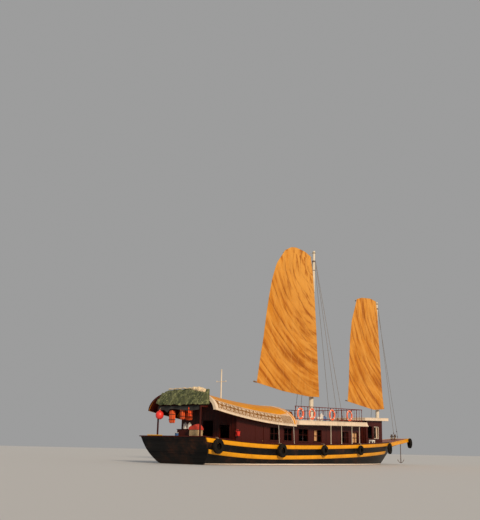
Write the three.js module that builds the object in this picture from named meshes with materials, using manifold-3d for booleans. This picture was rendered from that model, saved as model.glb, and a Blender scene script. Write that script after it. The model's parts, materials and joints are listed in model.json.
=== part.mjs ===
// A two-masted wooden junk with a hull of 26 m, built as an assembly of named subcomponents.
// Units are millimetres, +Z is up, +X points to the bow and +Y to port.
// Every length along the ship is measured from the transom's top edge. The last group moves the
// whole ship aft by ORIGIN_FROM_TRANSOM, so that the origin lies amidships on the waterline.

import * as THREE from 'three';
import { mergeVertices } from 'three/addons/utils/BufferGeometryUtils.js';
import Module from 'manifold-3d';

const wasm = await Module();
wasm.setup();

// Driving dimensions

const ORIGIN_FROM_TRANSOM = 13000;
const FIT = 0.3; // gap between pieces that touch
const RUNNING_FIT = 0.8; // radial clearance of a turning shaft

const HULL_LENGTH = 26300; // transom top to stem head
const TRANSOM_TOP = 1480;
const TRANSOM_RAKE = 0.56; // aft lean of the transom, length for each unit of height
const TRANSOM_BOARD = 80;
const STEM_HEAD = 1800;
const STEM_RAKE = 2600; // stem head ahead of the waterline
const FOREFOOT_SWEEP = 2100; // waterline ahead of the forefoot
const KEEL_HALF = 90;
const RABBET = 1050; // depth of the planking's lowest line
const RABBET_RISE = { ahead: 8600, height: 980 }; // how it rises towards the stern
const KEEL_BOTTOM = -1350;
const SHEER_LOW = 1210; // lowest height of the bulwark's top
const SHEER_LOW_AT = 6500;
const SHEER_RISE_AFT = 270;
const SHEER_RISE_FORE = 635;
const BULWARK_HEIGHT = 600;
const BULWARK_THICK = 60;
const HALF_BEAM = 2750; // at the bulwark's top
const HALF_BEAM_TRANSOM = 2450;
const HALF_BEAM_WATER = 2500;
const HALF_BEAM_WATER_TRANSOM = 1680;
const HALF_STEM = { top: 80, water: 70 };
const RUN = 8000; // where the side starts to draw in towards the stern
const ENTRANCE = { top: 11000, water: 10000 }; // where it starts to draw in towards the bow
const FLARE = 1.12; // power of the side's curve from the waterline up to its top, 1 for straight
const QUARTER = 1.4; // added to it at the transom, which gives the stern its full quarters
const WALE_THICK = 60;
const UPPER_WALE = { top: 20, depth: 235 }; // measured down from the bulwark's top
const LOWER_WALE = { top: 640, depth: 230 };
const CAP = { outer: 90, inner: 60, thick: 55 };

const PLATFORM = {
  aft: 22550, tip: 27500, aftHalf: 1700, tipHalf: 700, aftTop: 1638, tipTop: 2050, thick: 260,
};
const ANCHOR = { at: 26600, y: -420, crown: 150, shank: 30, eye: 70, palm: 75 };
// An arm of the anchor, as [outer y, outer z, inner y, inner z, half width] from the crown to its tip
const ANCHOR_ARM = [
  [-12, -50, -12, 50, 40], [150, -20, 110, 75, 40], [262, 110, 190, 160, 75], [300, 270, 284, 270, 12],
];

const SALOON = { aft: 3000, fore: 17150, half: 2150, wall: 60 };
const AFT_ROOF = {
  aft: 600, fore: 8420, half: 2620, eave: 2350, lift: 620, riseAft: 1150, riseFore: 1300, thick: 70,
};
const SUN_DECK = {
  aft: 8460, fore: 17250, half: 2760, aftTop: 2744.6, slope: 0.0236, thick: 290, nose: 250,
};
const GABLE = { proud: 30, lap: 20, tip: 60 };
const DECK_POSTS = { at: [12250, 13610, 15020, 16110], radius: 25 };
const RAIL = {
  height: 900, inset: 330, bar: 60, topHalf: 35, lowBar: 140, lowHalf: 25, thinHalf: 17, bays: 24, bay: 4,
};
const RAIL_FORE_POSTS = [-1600, -800, 0, 800, 1600];
const RING = { outer: 375, tube: 62 };
const RINGS_AT = [8980, 10310, 12745, 15000];
const RING_HEIGHT = 420; // centre above the sun deck
const TYRE_LARGE = { outer: 400, tube: 105 };
const TYRE_SMALL = { outer: 330, tube: 90 };
const SIDE_TYRES = [ // out is each ring's distance outside the bulwark's top
  { kind: TYRE_LARGE, at: 850, centre: 1010, out: 157.1 },
  { kind: TYRE_LARGE, at: 6500, centre: 860, out: 172.4 },
  { kind: TYRE_SMALL, at: 11250, centre: 930, out: 133.7 },
  { kind: TYRE_SMALL, at: 16050, centre: 1010, out: 112.4 },
  { kind: TYRE_LARGE, at: 21950, centre: 1200, out: 91.5 },
];
const BOW_TYRE = { drop: 350, turn: Math.PI / 4 }; // hung on the corner of the platform's tip

// Openings of the cabins: where they start along the ship, their width, and the heights of sill and head
const SIDE_DOOR = { at: 4850, width: 760, head: 2260 };
const SIDE_WINDOWS = [
  { at: 6250, width: 900 }, { at: 7700, width: 900 }, { at: 9300, width: 1100 },
  { at: 11100, width: 900 }, { at: 14450, width: 1000 }, { at: 15950, width: 800 },
];
const WINDOW = { sill: 1480, head: 2230 };
const END_WINDOW = { near: 900, far: 1650, sill: 1490, head: 2240 };
const AFT_DOORWAY = { half: 400, head: 2500 };
const FORE_DOOR = { half: 420, head: 2280 };
const WHEELHOUSE_DOOR = { y0: -1050, y1: -350, head: 2880 };
const WHEELHOUSE_PANES = { sill: 1900, head: 2800 };
const WHEELHOUSE_SIDE_PANES = [[19750, 20450], [20700, 21450]];
const WHEELHOUSE_FRONT_PANES = [[-1000, -350], [-300, 300], [350, 1000]];
const SILL = 55; // height of a doorway's lower edge above the wall's foot
const LEAF = 40; // thickness of a door leaf
const LEAF_GAP = 6;
const FOOT_GAP = 12;
const HINGE_RADIUS = 7;

const HATCH = { aft: 17900, fore: 18800, half: 450, top: 1130, lid: 45, coaming: 50, depth: 90 };
const HELM = { at: 21450, height: 1900, radius: 330, axle: 20, bore: 180 };
const STERN_FRAME = {
  aft: -20, fore: 480, left: 1180, right: -2050, crown: 1050, beam: 3180, high: 3990, post: 35,
};

// The sheet over the frame at places across it, as [y, fall of its upper edge, fall of its lower edge]
const SHEET_ROWS = [
  [-2165, 60, 0], [-1800, 40, 0], [-900, -30, 0], [300, 0, 0], [1000, 30, 0], [1250, 100, -90],
];
const SHEET = { over: 189.5, under: 34.5, aft: 200, fore: 60, belly: 240, thick: 60 };
// Its starboard end hangs down and closes that side; foreLow is the height of the end's fore corner
const SHEET_END = { outer: -2200, inner: -2175, foreLow: 3290 };

const WHEELHOUSE = { aft: 19550, fore: 22000, half: 1250, wall: 50, roofBottom: 3190, roofTop: 3410 };
const WHEELHOUSE_ROOF = { aft: 18980, fore: 22600, half: 1500, slope: 0.03 };

const MAST_RAKE = 0.036; // forward lean, length for each unit of height
// A mast's at is where its axis crosses the waterline
const MAIN_MAST = { at: 13870, foot: 600, head: 15400, thick: 190, tip: 90 };
const FORE_MAST = { at: 23445, foot: 1700, head: 13050, thick: 165, tip: 80 };
const STAY = 14; // radius of the ropes that hold a mast
const STAY_PLATE = { half: 60, side: 40, foot: 10.3, high: 60 };
const SAIL_OFFSET = 370; // sail cloth's starboard distance from the mast's axis
const SAIL_THICK = 14;
const SPAR_RADIUS = 60;
const COLLAR_CLEARANCE = 0.95; // round the corners of a mast
const FORE_SPAR_RADIUS = 50;

const SHAFT_HEIGHT = -840;
const SHAFT_RADIUS = 30;
const PROPELLER = { at: 2980, radius: 350, hub: 85, hubLength: 220 };
const STERNPOST = 3300;
const RUDDER = {
  stock: 2350, fore: 2620, aft: 1700, top: -350, heel: -1200, thick: 70,
  stockRadius: 40, pintle: 25, pintleDepth: 90,
};

// Finishes

const finish = (color, roughness, metalness = 0) => ({ color, roughness, metalness });
const FINISH = {
  tar: finish(0x1b1a18, 0.55),
  yellow: finish(0xe9a21c, 0.5),
  mahogany: finish(0x5a1f17, 0.5),
  cream: finish(0xe8dcc6, 0.6),
  roof: finish(0xd88f1c, 0.6),
  orange: finish(0xd9552b, 0.5),
  rubber: finish(0x1c1a19, 0.9),
  sail: finish(0xd8922c, 0.9),
  spar: finish(0xb58a52, 0.7),
  steel: finish(0x6d665e, 0.5, 0.8),
  bronze: finish(0xa9803f, 0.4, 0.9),
  tarpaulin: finish(0x46553a, 0.8),
  blue: finish(0x2f5c8a, 0.5),
  rope: finish(0xb9a98a, 0.9),
};

// General geometry helpers

const V = (x, y, z) => new THREE.Vector3(x, y, z);

/** Signed volume of an indexed geometry, positive when its faces point out. */
function volumeOf(geometry) {
  const position = geometry.getAttribute('position');
  const index = geometry.getIndex().array;
  const a = V(), b = V(), c = V();
  let sum = 0;
  for (let i = 0; i < index.length; i += 3) {
    a.fromBufferAttribute(position, index[i]);
    b.fromBufferAttribute(position, index[i + 1]);
    c.fromBufferAttribute(position, index[i + 2]);
    sum += a.dot(b.cross(c)) / 6;
  }
  return sum;
}

/** Turns a closed body's faces outwards. */
function facingOut(geometry) {
  if (volumeOf(geometry) < 0) {
    const index = geometry.getIndex().array;
    for (let i = 0; i < index.length; i += 3) [index[i + 1], index[i + 2]] = [index[i + 2], index[i + 1]];
  }
  return geometry;
}

/**
 * Closed body carried through a list of closed loops of equal, even length.
 * Each end is filled by strips between point i and the point opposite it in the loop's order.
 * mirrorFrom is the first point of a loop whose quads take the other diagonal, so that the two
 * sides of a symmetric body match.
 */
function loft(loops, mirrorFrom = Infinity) {
  const n = loops[0].length;
  const index = [];
  const quad = (a, b, c, d) => index.push(a, b, c, a, c, d);
  for (let ring = 0; ring + 1 < loops.length; ring++) {
    for (let i = 0; i < n; i++) {
      const j = (i + 1) % n;
      const [a, b, c, d] = [ring * n + i, ring * n + j, (ring + 1) * n + j, (ring + 1) * n + i];
      if (i < mirrorFrom) quad(a, b, c, d);
      else quad(b, c, d, a);
    }
  }
  const last = (loops.length - 1) * n;
  for (let i = 0; i < n / 2 - 1; i++) {
    const [a, b, c, d] = [i, i + 1, n - 2 - i, n - 1 - i];
    quad(d, c, b, a);
    quad(last + a, last + b, last + c, last + d);
  }
  const geometry = new THREE.BufferGeometry();
  const corners = loops.flat().flatMap((p) => [p.x, p.y, p.z]);
  geometry.setAttribute('position', new THREE.Float32BufferAttribute(corners, 3));
  geometry.setIndex(index);
  return facingOut(geometry);
}

/** Copy of a body mirrored from starboard to port. */
function toPort(geometry) {
  const copy = geometry.clone();
  copy.scale(1, -1, 1);
  return facingOut(copy);
}

/** Only positions, with shared corners merged. */
function bare(geometry) {
  const copy = geometry.clone();
  for (const name of Object.keys(copy.attributes)) if (name !== 'position') copy.deleteAttribute(name);
  return mergeVertices(copy, 1e-3);
}

function solid(geometry) {
  const g = bare(geometry);
  return new wasm.Manifold(new wasm.Mesh({
    numProp: 3,
    vertProperties: new Float32Array(g.getAttribute('position').array),
    triVerts: new Uint32Array(g.getIndex().array),
  }));
}

function fromSolid(manifold) {
  const mesh = manifold.getMesh();
  const geometry = new THREE.BufferGeometry();
  geometry.setAttribute('position', new THREE.BufferAttribute(new Float32Array(mesh.vertProperties), 3));
  geometry.setIndex(new THREE.BufferAttribute(new Uint32Array(mesh.triVerts), 1));
  return geometry;
}

const joined = (first, ...others) => fromSolid(others.reduce((sum, g) => sum.add(solid(g)), solid(first)));
const cut = (first, ...others) => fromSolid(others.reduce((sum, g) => sum.subtract(solid(g)), solid(first)));

/** Box between two corners. */
function box(x0, x1, y0, y1, z0, z1) {
  const geometry = new THREE.BoxGeometry(x1 - x0, y1 - y0, z1 - z0);
  return geometry.translate((x0 + x1) / 2, (y0 + y1) / 2, (z0 + z1) / 2);
}

/** Straight round bar between two points, its radius changing from r0 to r1. */
function bar(from, to, r0, r1 = r0, sides = 12) {
  const along = to.clone().sub(from);
  const geometry = new THREE.CylinderGeometry(r1, r0, along.length(), sides);
  geometry.applyQuaternion(new THREE.Quaternion().setFromUnitVectors(V(0, 1, 0), along.normalize()));
  return geometry.translate((from.x + to.x) / 2, (from.y + to.y) / 2, (from.z + to.z) / 2);
}

/** Shape in the X-Z plane given thickness along Y, from y0 to y1. */
function plateXZ(points, y0, y1) {
  const shape = new THREE.Shape(points.map(([x, z]) => new THREE.Vector2(x, z)));
  const geometry = new THREE.ExtrudeGeometry(shape, { depth: y1 - y0, bevelEnabled: false });
  return geometry.rotateX(Math.PI / 2).translate(0, y1, 0);
}

/** Shape in the Y-Z plane given thickness along X, from x0 to x1. */
function plateYZ(points, x0, x1) {
  const shape = new THREE.Shape(points.map(([y, z]) => new THREE.Vector2(y, z)));
  const geometry = new THREE.ExtrudeGeometry(shape, { depth: x1 - x0, bevelEnabled: false });
  return geometry.rotateX(Math.PI / 2).rotateZ(Math.PI / 2).translate(x0, 0, 0);
}

const rectangle = (a0, a1, b0, b1) => [[a0, b0], [a1, b0], [a1, b1], [a0, b1]];

/** Ring of round section about the Y axis, at the given centre. */
function ring({ outer, tube }, centre, segments = 20, sides = 8) {
  const geometry = new THREE.TorusGeometry(outer - tube, tube, sides, segments);
  return geometry.rotateX(Math.PI / 2).translate(centre.x, centre.y, centre.z);
}

// Hull form: s is the distance along the bulwark's top, z the height

const clamp01 = (value) => Math.min(Math.max(value, 0), 1);

/** Height of the bulwark's top: a quadratic rise aft of the lowest place, a slower one ahead of it. */
function sheer(s) {
  return s < SHEER_LOW_AT
    ? SHEER_LOW + SHEER_RISE_AFT * ((SHEER_LOW_AT - s) / SHEER_LOW_AT) ** 2
    : SHEER_LOW + SHEER_RISE_FORE * ((s - SHEER_LOW_AT) / (HULL_LENGTH - SHEER_LOW_AT)) ** 1.6;
}

const deckHeight = (s) => sheer(s) - BULWARK_HEIGHT;

/** Lowest line of the planking, rising aft of a third of the length. */
function rabbet(s) {
  const rise = clamp01(1 - s / RABBET_RISE.ahead);
  return -RABBET + RABBET_RISE.height * rise ** 1.15;
}

/** Ship's X of a point of station s at height z: the transom and the stem lean out at their tops. */
function stationX(s, z) {
  const aftBlend = clamp01(1 - s / 5000) ** 1.5;
  const foreBlend = clamp01((s - 14000) / (HULL_LENGTH - 14000)) ** 2;
  const below = clamp01(-z / RABBET) ** 1.5;
  const stemLean = STEM_RAKE * (STEM_HEAD - Math.max(z, 0)) / STEM_HEAD + FOREFOOT_SWEEP * below;
  return s + TRANSOM_RAKE * (TRANSOM_TOP - z) * aftBlend - stemLean * foreBlend;
}

/** Half breadth of station s at height z: full bilges, a flare above the water and full quarters aft. */
function halfBreadth(s, z) {
  const foreTop = clamp01((s - ENTRANCE.top) / (HULL_LENGTH - ENTRANCE.top)) ** 3.2;
  const aftTop = clamp01(1 - s / RUN) ** 2;
  const top = HALF_BEAM + (HALF_STEM.top - HALF_BEAM) * foreTop + (HALF_BEAM_TRANSOM - HALF_BEAM) * aftTop;
  const foreWater = clamp01((s - ENTRANCE.water) / (HULL_LENGTH - ENTRANCE.water)) ** 2.4;
  const aftWater = clamp01(1 - s / RUN) ** 1.8;
  const narrowing = (HALF_BEAM_WATER - HALF_BEAM_WATER_TRANSOM) * aftWater;
  const water = HALF_BEAM_WATER + (HALF_STEM.water - HALF_BEAM_WATER) * foreWater - narrowing;
  if (z >= 0) return top - (top - water) * clamp01(1 - z / sheer(s)) ** (FLARE + QUARTER * aftWater);
  const low = rabbet(s);
  const t = clamp01((z - low) / -low);
  const fullness = 0.42 + 0.35 * Math.max(foreWater, aftWater);
  return Math.max(KEEL_HALF * clamp01((HULL_LENGTH - s) / 6000 + 0.6), water * t ** fullness);
}

const sidePoint = (s, z, out = 0) => V(stationX(s, z), -(halfBreadth(s, z) + out), z);

const STATIONS = [0, 800, 1800, 3000, 4500, 6500, 9000, 11500, 14000, 16000, 18000, 19500, 21000, 22600];
const BOW_STATIONS = [22660, 23500, 24600, 25600, HULL_LENGTH];
const PLATFORM_SLOPE = (PLATFORM.tipTop - PLATFORM.aftTop) / (PLATFORM.tip - PLATFORM.aft);
const platformTop = (x) => PLATFORM.aftTop + PLATFORM_SLOPE * (x - PLATFORM.aft);
const platformBottom = (x) => platformTop(x) - PLATFORM.thick;
const platformHalf = (x) => PLATFORM.aftHalf
  + (PLATFORM.tipHalf - PLATFORM.aftHalf) * (x - PLATFORM.aft) / (PLATFORM.tip - PLATFORM.aft);

/** Station whose side crosses ship's X at height z, found by halving. */
function stationAt(x, z) {
  let low = 0;
  let high = HULL_LENGTH;
  for (let step = 0; step < 40; step++) {
    const middle = (low + high) / 2;
    if (stationX(middle, z) < x) low = middle;
    else high = middle;
  }
  return (low + high) / 2;
}

/** Deck height under ship's X, on the straight facet between two stations. */
function deckUnder(x) {
  const at = STATIONS.map((s) => [stationX(s, deckHeight(s)), deckHeight(s)]);
  for (let i = 0; i + 1 < at.length; i++) {
    const [[x0, z0], [x1, z1]] = [at[i], at[i + 1]];
    if (x <= x1) return z0 + (z1 - z0) * (x - x0) / (x1 - x0);
  }
  return at.at(-1)[1];
}

/** Top of a bow station on the plane of the platform's underside. */
function bowTop(s) {
  let z = platformBottom(s);
  for (let step = 0; step < 8; step++) z = platformBottom(stationX(s, z)) - FIT;
  return z;
}

const BILGE_STEPS = [0, 0.12, 0.35, 0.65, 1];

/** Half of a hull section, from the keel up to the deck's edge, on the starboard side. */
function hullHalf(s, top) {
  const low = rabbet(s);
  const heights = BILGE_STEPS.map((t) => low * (1 - t));
  const wale = sheer(s) - LOWER_WALE.top;
  const foot = wale - LOWER_WALE.depth;
  return [...heights, foot / 2, foot, wale, top].map((z) => sidePoint(s, z));
}

// Hull pieces

/** Decked hull with the hatch's coaming, the rudder stock's bore and the bitts' seats. */
function hull() {
  const sections = [
    ...STATIONS.map((s) => hullHalf(s, deckHeight(s))),
    ...BOW_STATIONS.map((s) => hullHalf(s, bowTop(s))),
  ];
  const loops = sections.map((half) => [...half, ...half.map((p) => V(p.x, -p.y, p.z)).reverse()]);
  const body = loft(loops, sections[0].length);
  const boreRadius = RUDDER.stockRadius + RUNNING_FIT;
  const bore = bar(V(RUDDER.stock, 0, -900), V(RUDDER.stock, 0, 60), boreRadius, boreRadius, 24);
  const { aft, fore, half, top, coaming, depth } = HATCH;
  const rim = cut(
    box(aft, fore, -half, half, deckUnder(aft) - 40, top),
    box(aft + coaming, fore - coaming, coaming - half, half - coaming, top - depth, top + 10),
  );
  return joined(cut(body, bore), rim);
}

/** Keel bar with the forefoot, the skeg, the sternpost and the shoe below the rudder. */
function keel() {
  const under = (s) => [stationX(s, rabbet(s)), rabbet(s) - FIT];
  const ahead = [...STATIONS, ...BOW_STATIONS].filter((s) => stationX(s, rabbet(s)) > STERNPOST + 300);
  const bottomLine = ahead.map(under);
  const [x1, z1] = bottomLine[0];
  const before = STATIONS.filter((s) => stationX(s, rabbet(s)) <= STERNPOST + 300).map(under).at(-1);
  const postTop = before[1] + (z1 - before[1]) * (STERNPOST - before[0]) / (x1 - before[0]);
  const forefoot = bottomLine.at(-1)[0];
  const outline = [
    [STERNPOST, postTop],
    ...bottomLine,
    [forefoot - 900, KEEL_BOTTOM],
    [RUDDER.stock - 160, KEEL_BOTTOM],
    [RUDDER.stock - 160, RUDDER.heel - 30],
    [STERNPOST, RUDDER.heel - 30],
  ];
  const body = plateXZ(outline, -KEEL_HALF, KEEL_HALF);
  const shaftRadius = SHAFT_RADIUS + RUNNING_FIT;
  const shaftBore = bar(
    V(STERNPOST - 100, 0, SHAFT_HEIGHT), V(STERNPOST + 500, 0, SHAFT_HEIGHT), shaftRadius, shaftRadius, 24,
  );
  const heelRadius = RUDDER.pintle + RUNNING_FIT;
  const heelBore = bar(
    V(RUDDER.stock, 0, RUDDER.heel - RUDDER.pintleDepth), V(RUDDER.stock, 0, RUDDER.heel),
    heelRadius, heelRadius, 24,
  );
  return cut(body, shaftBore, heelBore);
}

/** Raked board across the stern, from below the water to the rail. */
function transom() {
  const heights = [rabbet(0), -40, 0, 300, 700, 1100, TRANSOM_TOP - 1];
  const half = heights.map((z) => sidePoint(0, z));
  const loop = [...half, ...half.map((p) => V(p.x, -p.y, p.z)).reverse()];
  return loft([-FIT, -FIT - TRANSOM_BOARD].map((shift) => loop.map((p) => V(p.x + shift, p.y, p.z))));
}

/** Bulwark planking of the starboard side. */
function bulwark() {
  return loft(STATIONS.map((s) => {
    const top = sheer(s);
    const outer = [deckHeight(s) + FIT, top - UPPER_WALE.top - UPPER_WALE.depth, top - UPPER_WALE.top, top];
    const face = outer.map((z) => sidePoint(s, z));
    return [...face, ...face.map((p) => V(p.x, p.y + BULWARK_THICK, p.z)).reverse()];
  }));
}

/** Strake of the starboard side between two depths below the bulwark's top. */
function wale({ top, depth }) {
  return loft(STATIONS.map((s) => {
    const high = sheer(s) - top;
    const low = high - depth;
    return [
      sidePoint(s, low, FIT), sidePoint(s, high, FIT),
      sidePoint(s, high - 15, WALE_THICK), sidePoint(s, low + 15, WALE_THICK),
    ];
  }));
}

/** Round posts from the starboard cap rail up to the sun deck's underside. */
function deckPosts() {
  const { at, radius } = DECK_POSTS;
  return at.map((x) => {
    const s = stationAt(x, sheer(x));
    const p = sidePoint(s, sheer(s));
    const y = p.y + (BULWARK_THICK + CAP.inner - CAP.outer) / 2;
    return bar(V(x, y, p.z + CAP.thick - 25), V(x, y, sunDeckBottom(x - radius) - FIT), radius);
  });
}

/** Cap rail on both bulwarks and across the transom with mitred corners, and the posts that stand on it. */
function capRail() {
  const next = sidePoint(STATIONS[1], sheer(STATIONS[1]));
  const fall = (sheer(0) - next.z) / next.x;
  const section = (s, outerX, innerX) => {
    const p = sidePoint(s, sheer(s));
    const corner = (dx, y) => V(p.x + dx, y, p.z + FIT - fall * dx);
    const outer = corner(outerX, p.y - CAP.outer);
    const inner = corner(innerX, p.y + BULWARK_THICK + CAP.inner);
    const up = (q) => V(q.x, q.y, q.z + CAP.thick);
    return [outer, up(outer), up(inner), inner];
  };
  const aftEnd = -TRANSOM_BOARD - 60;
  const starboard = STATIONS.map((s, i) => (i ? section(s, 0, 0) : section(s, aftEnd, 120))).reverse();
  const port = starboard.map((loop) => loop.map((p) => V(p.x, -p.y, p.z))).reverse();
  const posts = deckPosts();
  return joined(loft([...starboard, ...port]), ...posts, ...posts.map(toPort));
}

/** Wedge-shaped platform that carries the side's line out beyond the stem. */
function bowPlatform() {
  return loft([PLATFORM.aft, PLATFORM.tip].map((x) => {
    const half = platformHalf(x);
    const [low, high] = [platformBottom(x), platformTop(x)];
    return [V(x, -half, low), V(x, -half, high), V(x, half, high), V(x, half, low)];
  }));
}

/** Anchor hung below the platform's starboard edge: a square shank, and two arms that rise to their palms. */
function anchor() {
  const { at, y, crown, shank: half, eye, palm } = ANCHOR;
  const top = platformBottom(at - eye) - FIT;
  const arm = (side) => loft(ANCHOR_ARM.map(([y0, z0, y1, z1, wide]) => [
    V(-wide, y0 * side, z0), V(wide, y0 * side, z0), V(wide, y1 * side, z1), V(-wide, y1 * side, z1),
  ])).translate(at, y, crown);
  return joined(
    box(at - half, at + half, y - half, y + half, crown, top - 2),
    box(at - eye, at + eye, y - palm / 2, y + palm / 2, top - eye, top),
    arm(-1), arm(1),
  );
}

// Roofs and cabins

/** Lower edge of the barrel roof at X, swept up at its aft end. */
const fromRoofFore = (x) => (AFT_ROOF.fore - x) / (AFT_ROOF.fore - AFT_ROOF.aft);
const eaveHeight = (x) => AFT_ROOF.eave + AFT_ROOF.lift * fromRoofFore(x) ** 2;
const barrelRise = (x) => AFT_ROOF.riseFore + (AFT_ROOF.riseAft - AFT_ROOF.riseFore) * fromRoofFore(x);

/** Height of the barrel roof over (x, y), inset being its depth below the outer skin. */
function barrelHeight(x, y, inset = 0) {
  const half = AFT_ROOF.half - inset;
  const across = clamp01(1 - Math.abs(y / half) ** 2.2);
  return eaveHeight(x) + (barrelRise(x) - inset) * across ** 0.5;
}

const ROOF_STATIONS = [AFT_ROOF.aft, 1400, 2500, 3700, 5200, 6800, AFT_ROOF.fore];
const BARREL_STEPS = 14;

/** Half section of the barrel roof at X, from the starboard eave over to port. */
function barrelArc(x, inset) {
  return Array.from({ length: BARREL_STEPS + 1 }, (_, i) => {
    const y = -(AFT_ROOF.half - inset) * Math.cos(Math.PI * i / BARREL_STEPS);
    return V(x, y, barrelHeight(x, y, inset));
  });
}

/** Height of the barrel roof's flat facets over (x, y). */
function barrelFacet(x, y, inset = 0) {
  const over = (station) => {
    const arc = barrelArc(station, inset);
    const i = Math.max(arc.findIndex((p) => p.y >= y), 1);
    const t = (y - arc[i - 1].y) / (arc[i].y - arc[i - 1].y);
    return arc[i - 1].z + t * (arc[i].z - arc[i - 1].z);
  };
  const k = Math.max(ROOF_STATIONS.findIndex((station) => station >= x), 1);
  const [x0, x1] = [ROOF_STATIONS[k - 1], ROOF_STATIONS[k]];
  return over(x0) + (over(x1) - over(x0)) * (x - x0) / (x1 - x0);
}

/** Barrel roof over the stern and the after saloon, a shell open below. */
function aftRoof() {
  return loft(ROOF_STATIONS.map((x) => [...barrelArc(x, 0), ...barrelArc(x, AFT_ROOF.thick).reverse()]));
}

const sunDeckTop = (x) => SUN_DECK.aftTop + SUN_DECK.slope * (x - SUN_DECK.aft);
const sunDeckBottom = (x) => sunDeckTop(x) - SUN_DECK.thick;

/** Flat roof over the saloon that serves as the sun deck, with a hole for the main mast. */
function sunDeck() {
  const { aft, fore, half, nose } = SUN_DECK;
  const outline = [
    [aft, sunDeckBottom(aft)], [fore, sunDeckBottom(fore)],
    [fore - nose, sunDeckTop(fore - nose)], [aft, sunDeckTop(aft)],
  ];
  const slab = plateXZ(outline, -half, half);
  return cut(slab, mastBar(MAIN_MAST, 2000, 3500, 1.0));
}

/** Straight length of a mast between two heights, made thicker by extra. */
function mastBar(mast, from, to, extra = 0, sides = 32) {
  const taper = (mast.tip - mast.thick) / (mast.head - mast.foot);
  const radius = (z) => mast.thick + taper * (z - mast.foot) + extra;
  const at = (z) => V(mast.at + MAST_RAKE * z, 0, z);
  return bar(at(from), at(to), radius(from), radius(to), sides);
}

/** Starboard side wall of the saloon, with its windows and, where asked, its doorway cut. */
function saloonWall(withDoorway) {
  const { aft, fore, half, wall } = SALOON;
  const feet = [aft, 4500, 6500, 9000, 11500, 14000, 16000, fore];
  const base = feet.map((x) => [x, Math.max(deckUnder(x), deckUnder(x + 1)) + FIT]);
  const underBarrel = (x) => [x, barrelFacet(x, -half, AFT_ROOF.thick) - 5];
  const underDeck = (x) => [x, sunDeckBottom(x) - FIT];
  const top = [
    underDeck(fore), underDeck(AFT_ROOF.fore - 1), underBarrel(AFT_ROOF.fore - 2),
    ...ROOF_STATIONS.slice(0, -1).filter((x) => x > aft).reverse().map(underBarrel), underBarrel(aft),
  ];
  const through = (x0, x1, z0, z1) => box(x0, x1, -half - 50, -half + wall + 50, z0, z1);
  const windows = SIDE_WINDOWS.map((w) => through(w.at, w.at + w.width, WINDOW.sill, WINDOW.head));
  const { at, width, head } = SIDE_DOOR;
  const doorways = withDoorway ? [through(at, at + width, deckUnder(at) + SILL, head)] : [];
  return cut(plateXZ([...base, ...top], -half, -half + wall), ...windows, ...doorways);
}

/** Doorway amidships and a window on each side of it, cut through an end wall that starts at X. */
function endOpenings(x, door, sill) {
  const through = (y0, y1, z0, z1) => box(x - 50, x + SALOON.wall + 50, y0, y1, z0, z1);
  const { near, far } = END_WINDOW;
  return [
    through(-door.half, door.half, sill, door.head),
    through(near, far, END_WINDOW.sill, END_WINDOW.head),
    through(-far, -near, END_WINDOW.sill, END_WINDOW.head),
  ];
}

/** Bulkhead across the saloon's after end, shaped to the barrel roof, with a doorway. */
function bulkheadAft() {
  const inner = SALOON.half - SALOON.wall - FIT;
  const x = SALOON.aft;
  const foot = deckUnder(x) + FIT;
  const arch = Array.from({ length: 11 }, (_, i) => {
    const y = inner - 2 * inner * i / 10;
    return [y, barrelFacet(x, y, AFT_ROOF.thick) - 8];
  });
  return cut(
    plateYZ([[-inner, foot], [inner, foot], ...arch], x, x + SALOON.wall),
    ...endOpenings(x, AFT_DOORWAY, foot + SILL),
  );
}

/** Bulkhead across the saloon's fore end, with a doorway and two windows. */
function bulkheadFore() {
  const inner = SALOON.half - SALOON.wall - FIT;
  const x = SALOON.fore - SALOON.wall;
  const foot = deckUnder(SALOON.fore) + FIT;
  const top = sunDeckBottom(x) - FIT;
  return cut(
    plateYZ([[-inner, foot], [inner, foot], [inner, top], [-inner, top]], x, SALOON.fore),
    ...endOpenings(x, FORE_DOOR, foot + SILL),
  );
}

/** Arched board that closes the barrel roof's fore end above the sun deck, standing a little proud of it. */
function roofGable() {
  const x = AFT_ROOF.fore;
  const base = sunDeckBottom(SUN_DECK.aft) + GABLE.lap;
  const outline = barrelArc(x, 0).map((p) => [p.y * (1 + GABLE.proud / AFT_ROOF.half), p.z + GABLE.proud]);
  const arch = outline.filter(([, z]) => z > base + GABLE.tip);
  const [yEnd] = arch[0];
  return plateYZ([[yEnd, base], ...arch, [-yEnd, base]].reverse(), x + FIT, SUN_DECK.aft - FIT);
}

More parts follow.
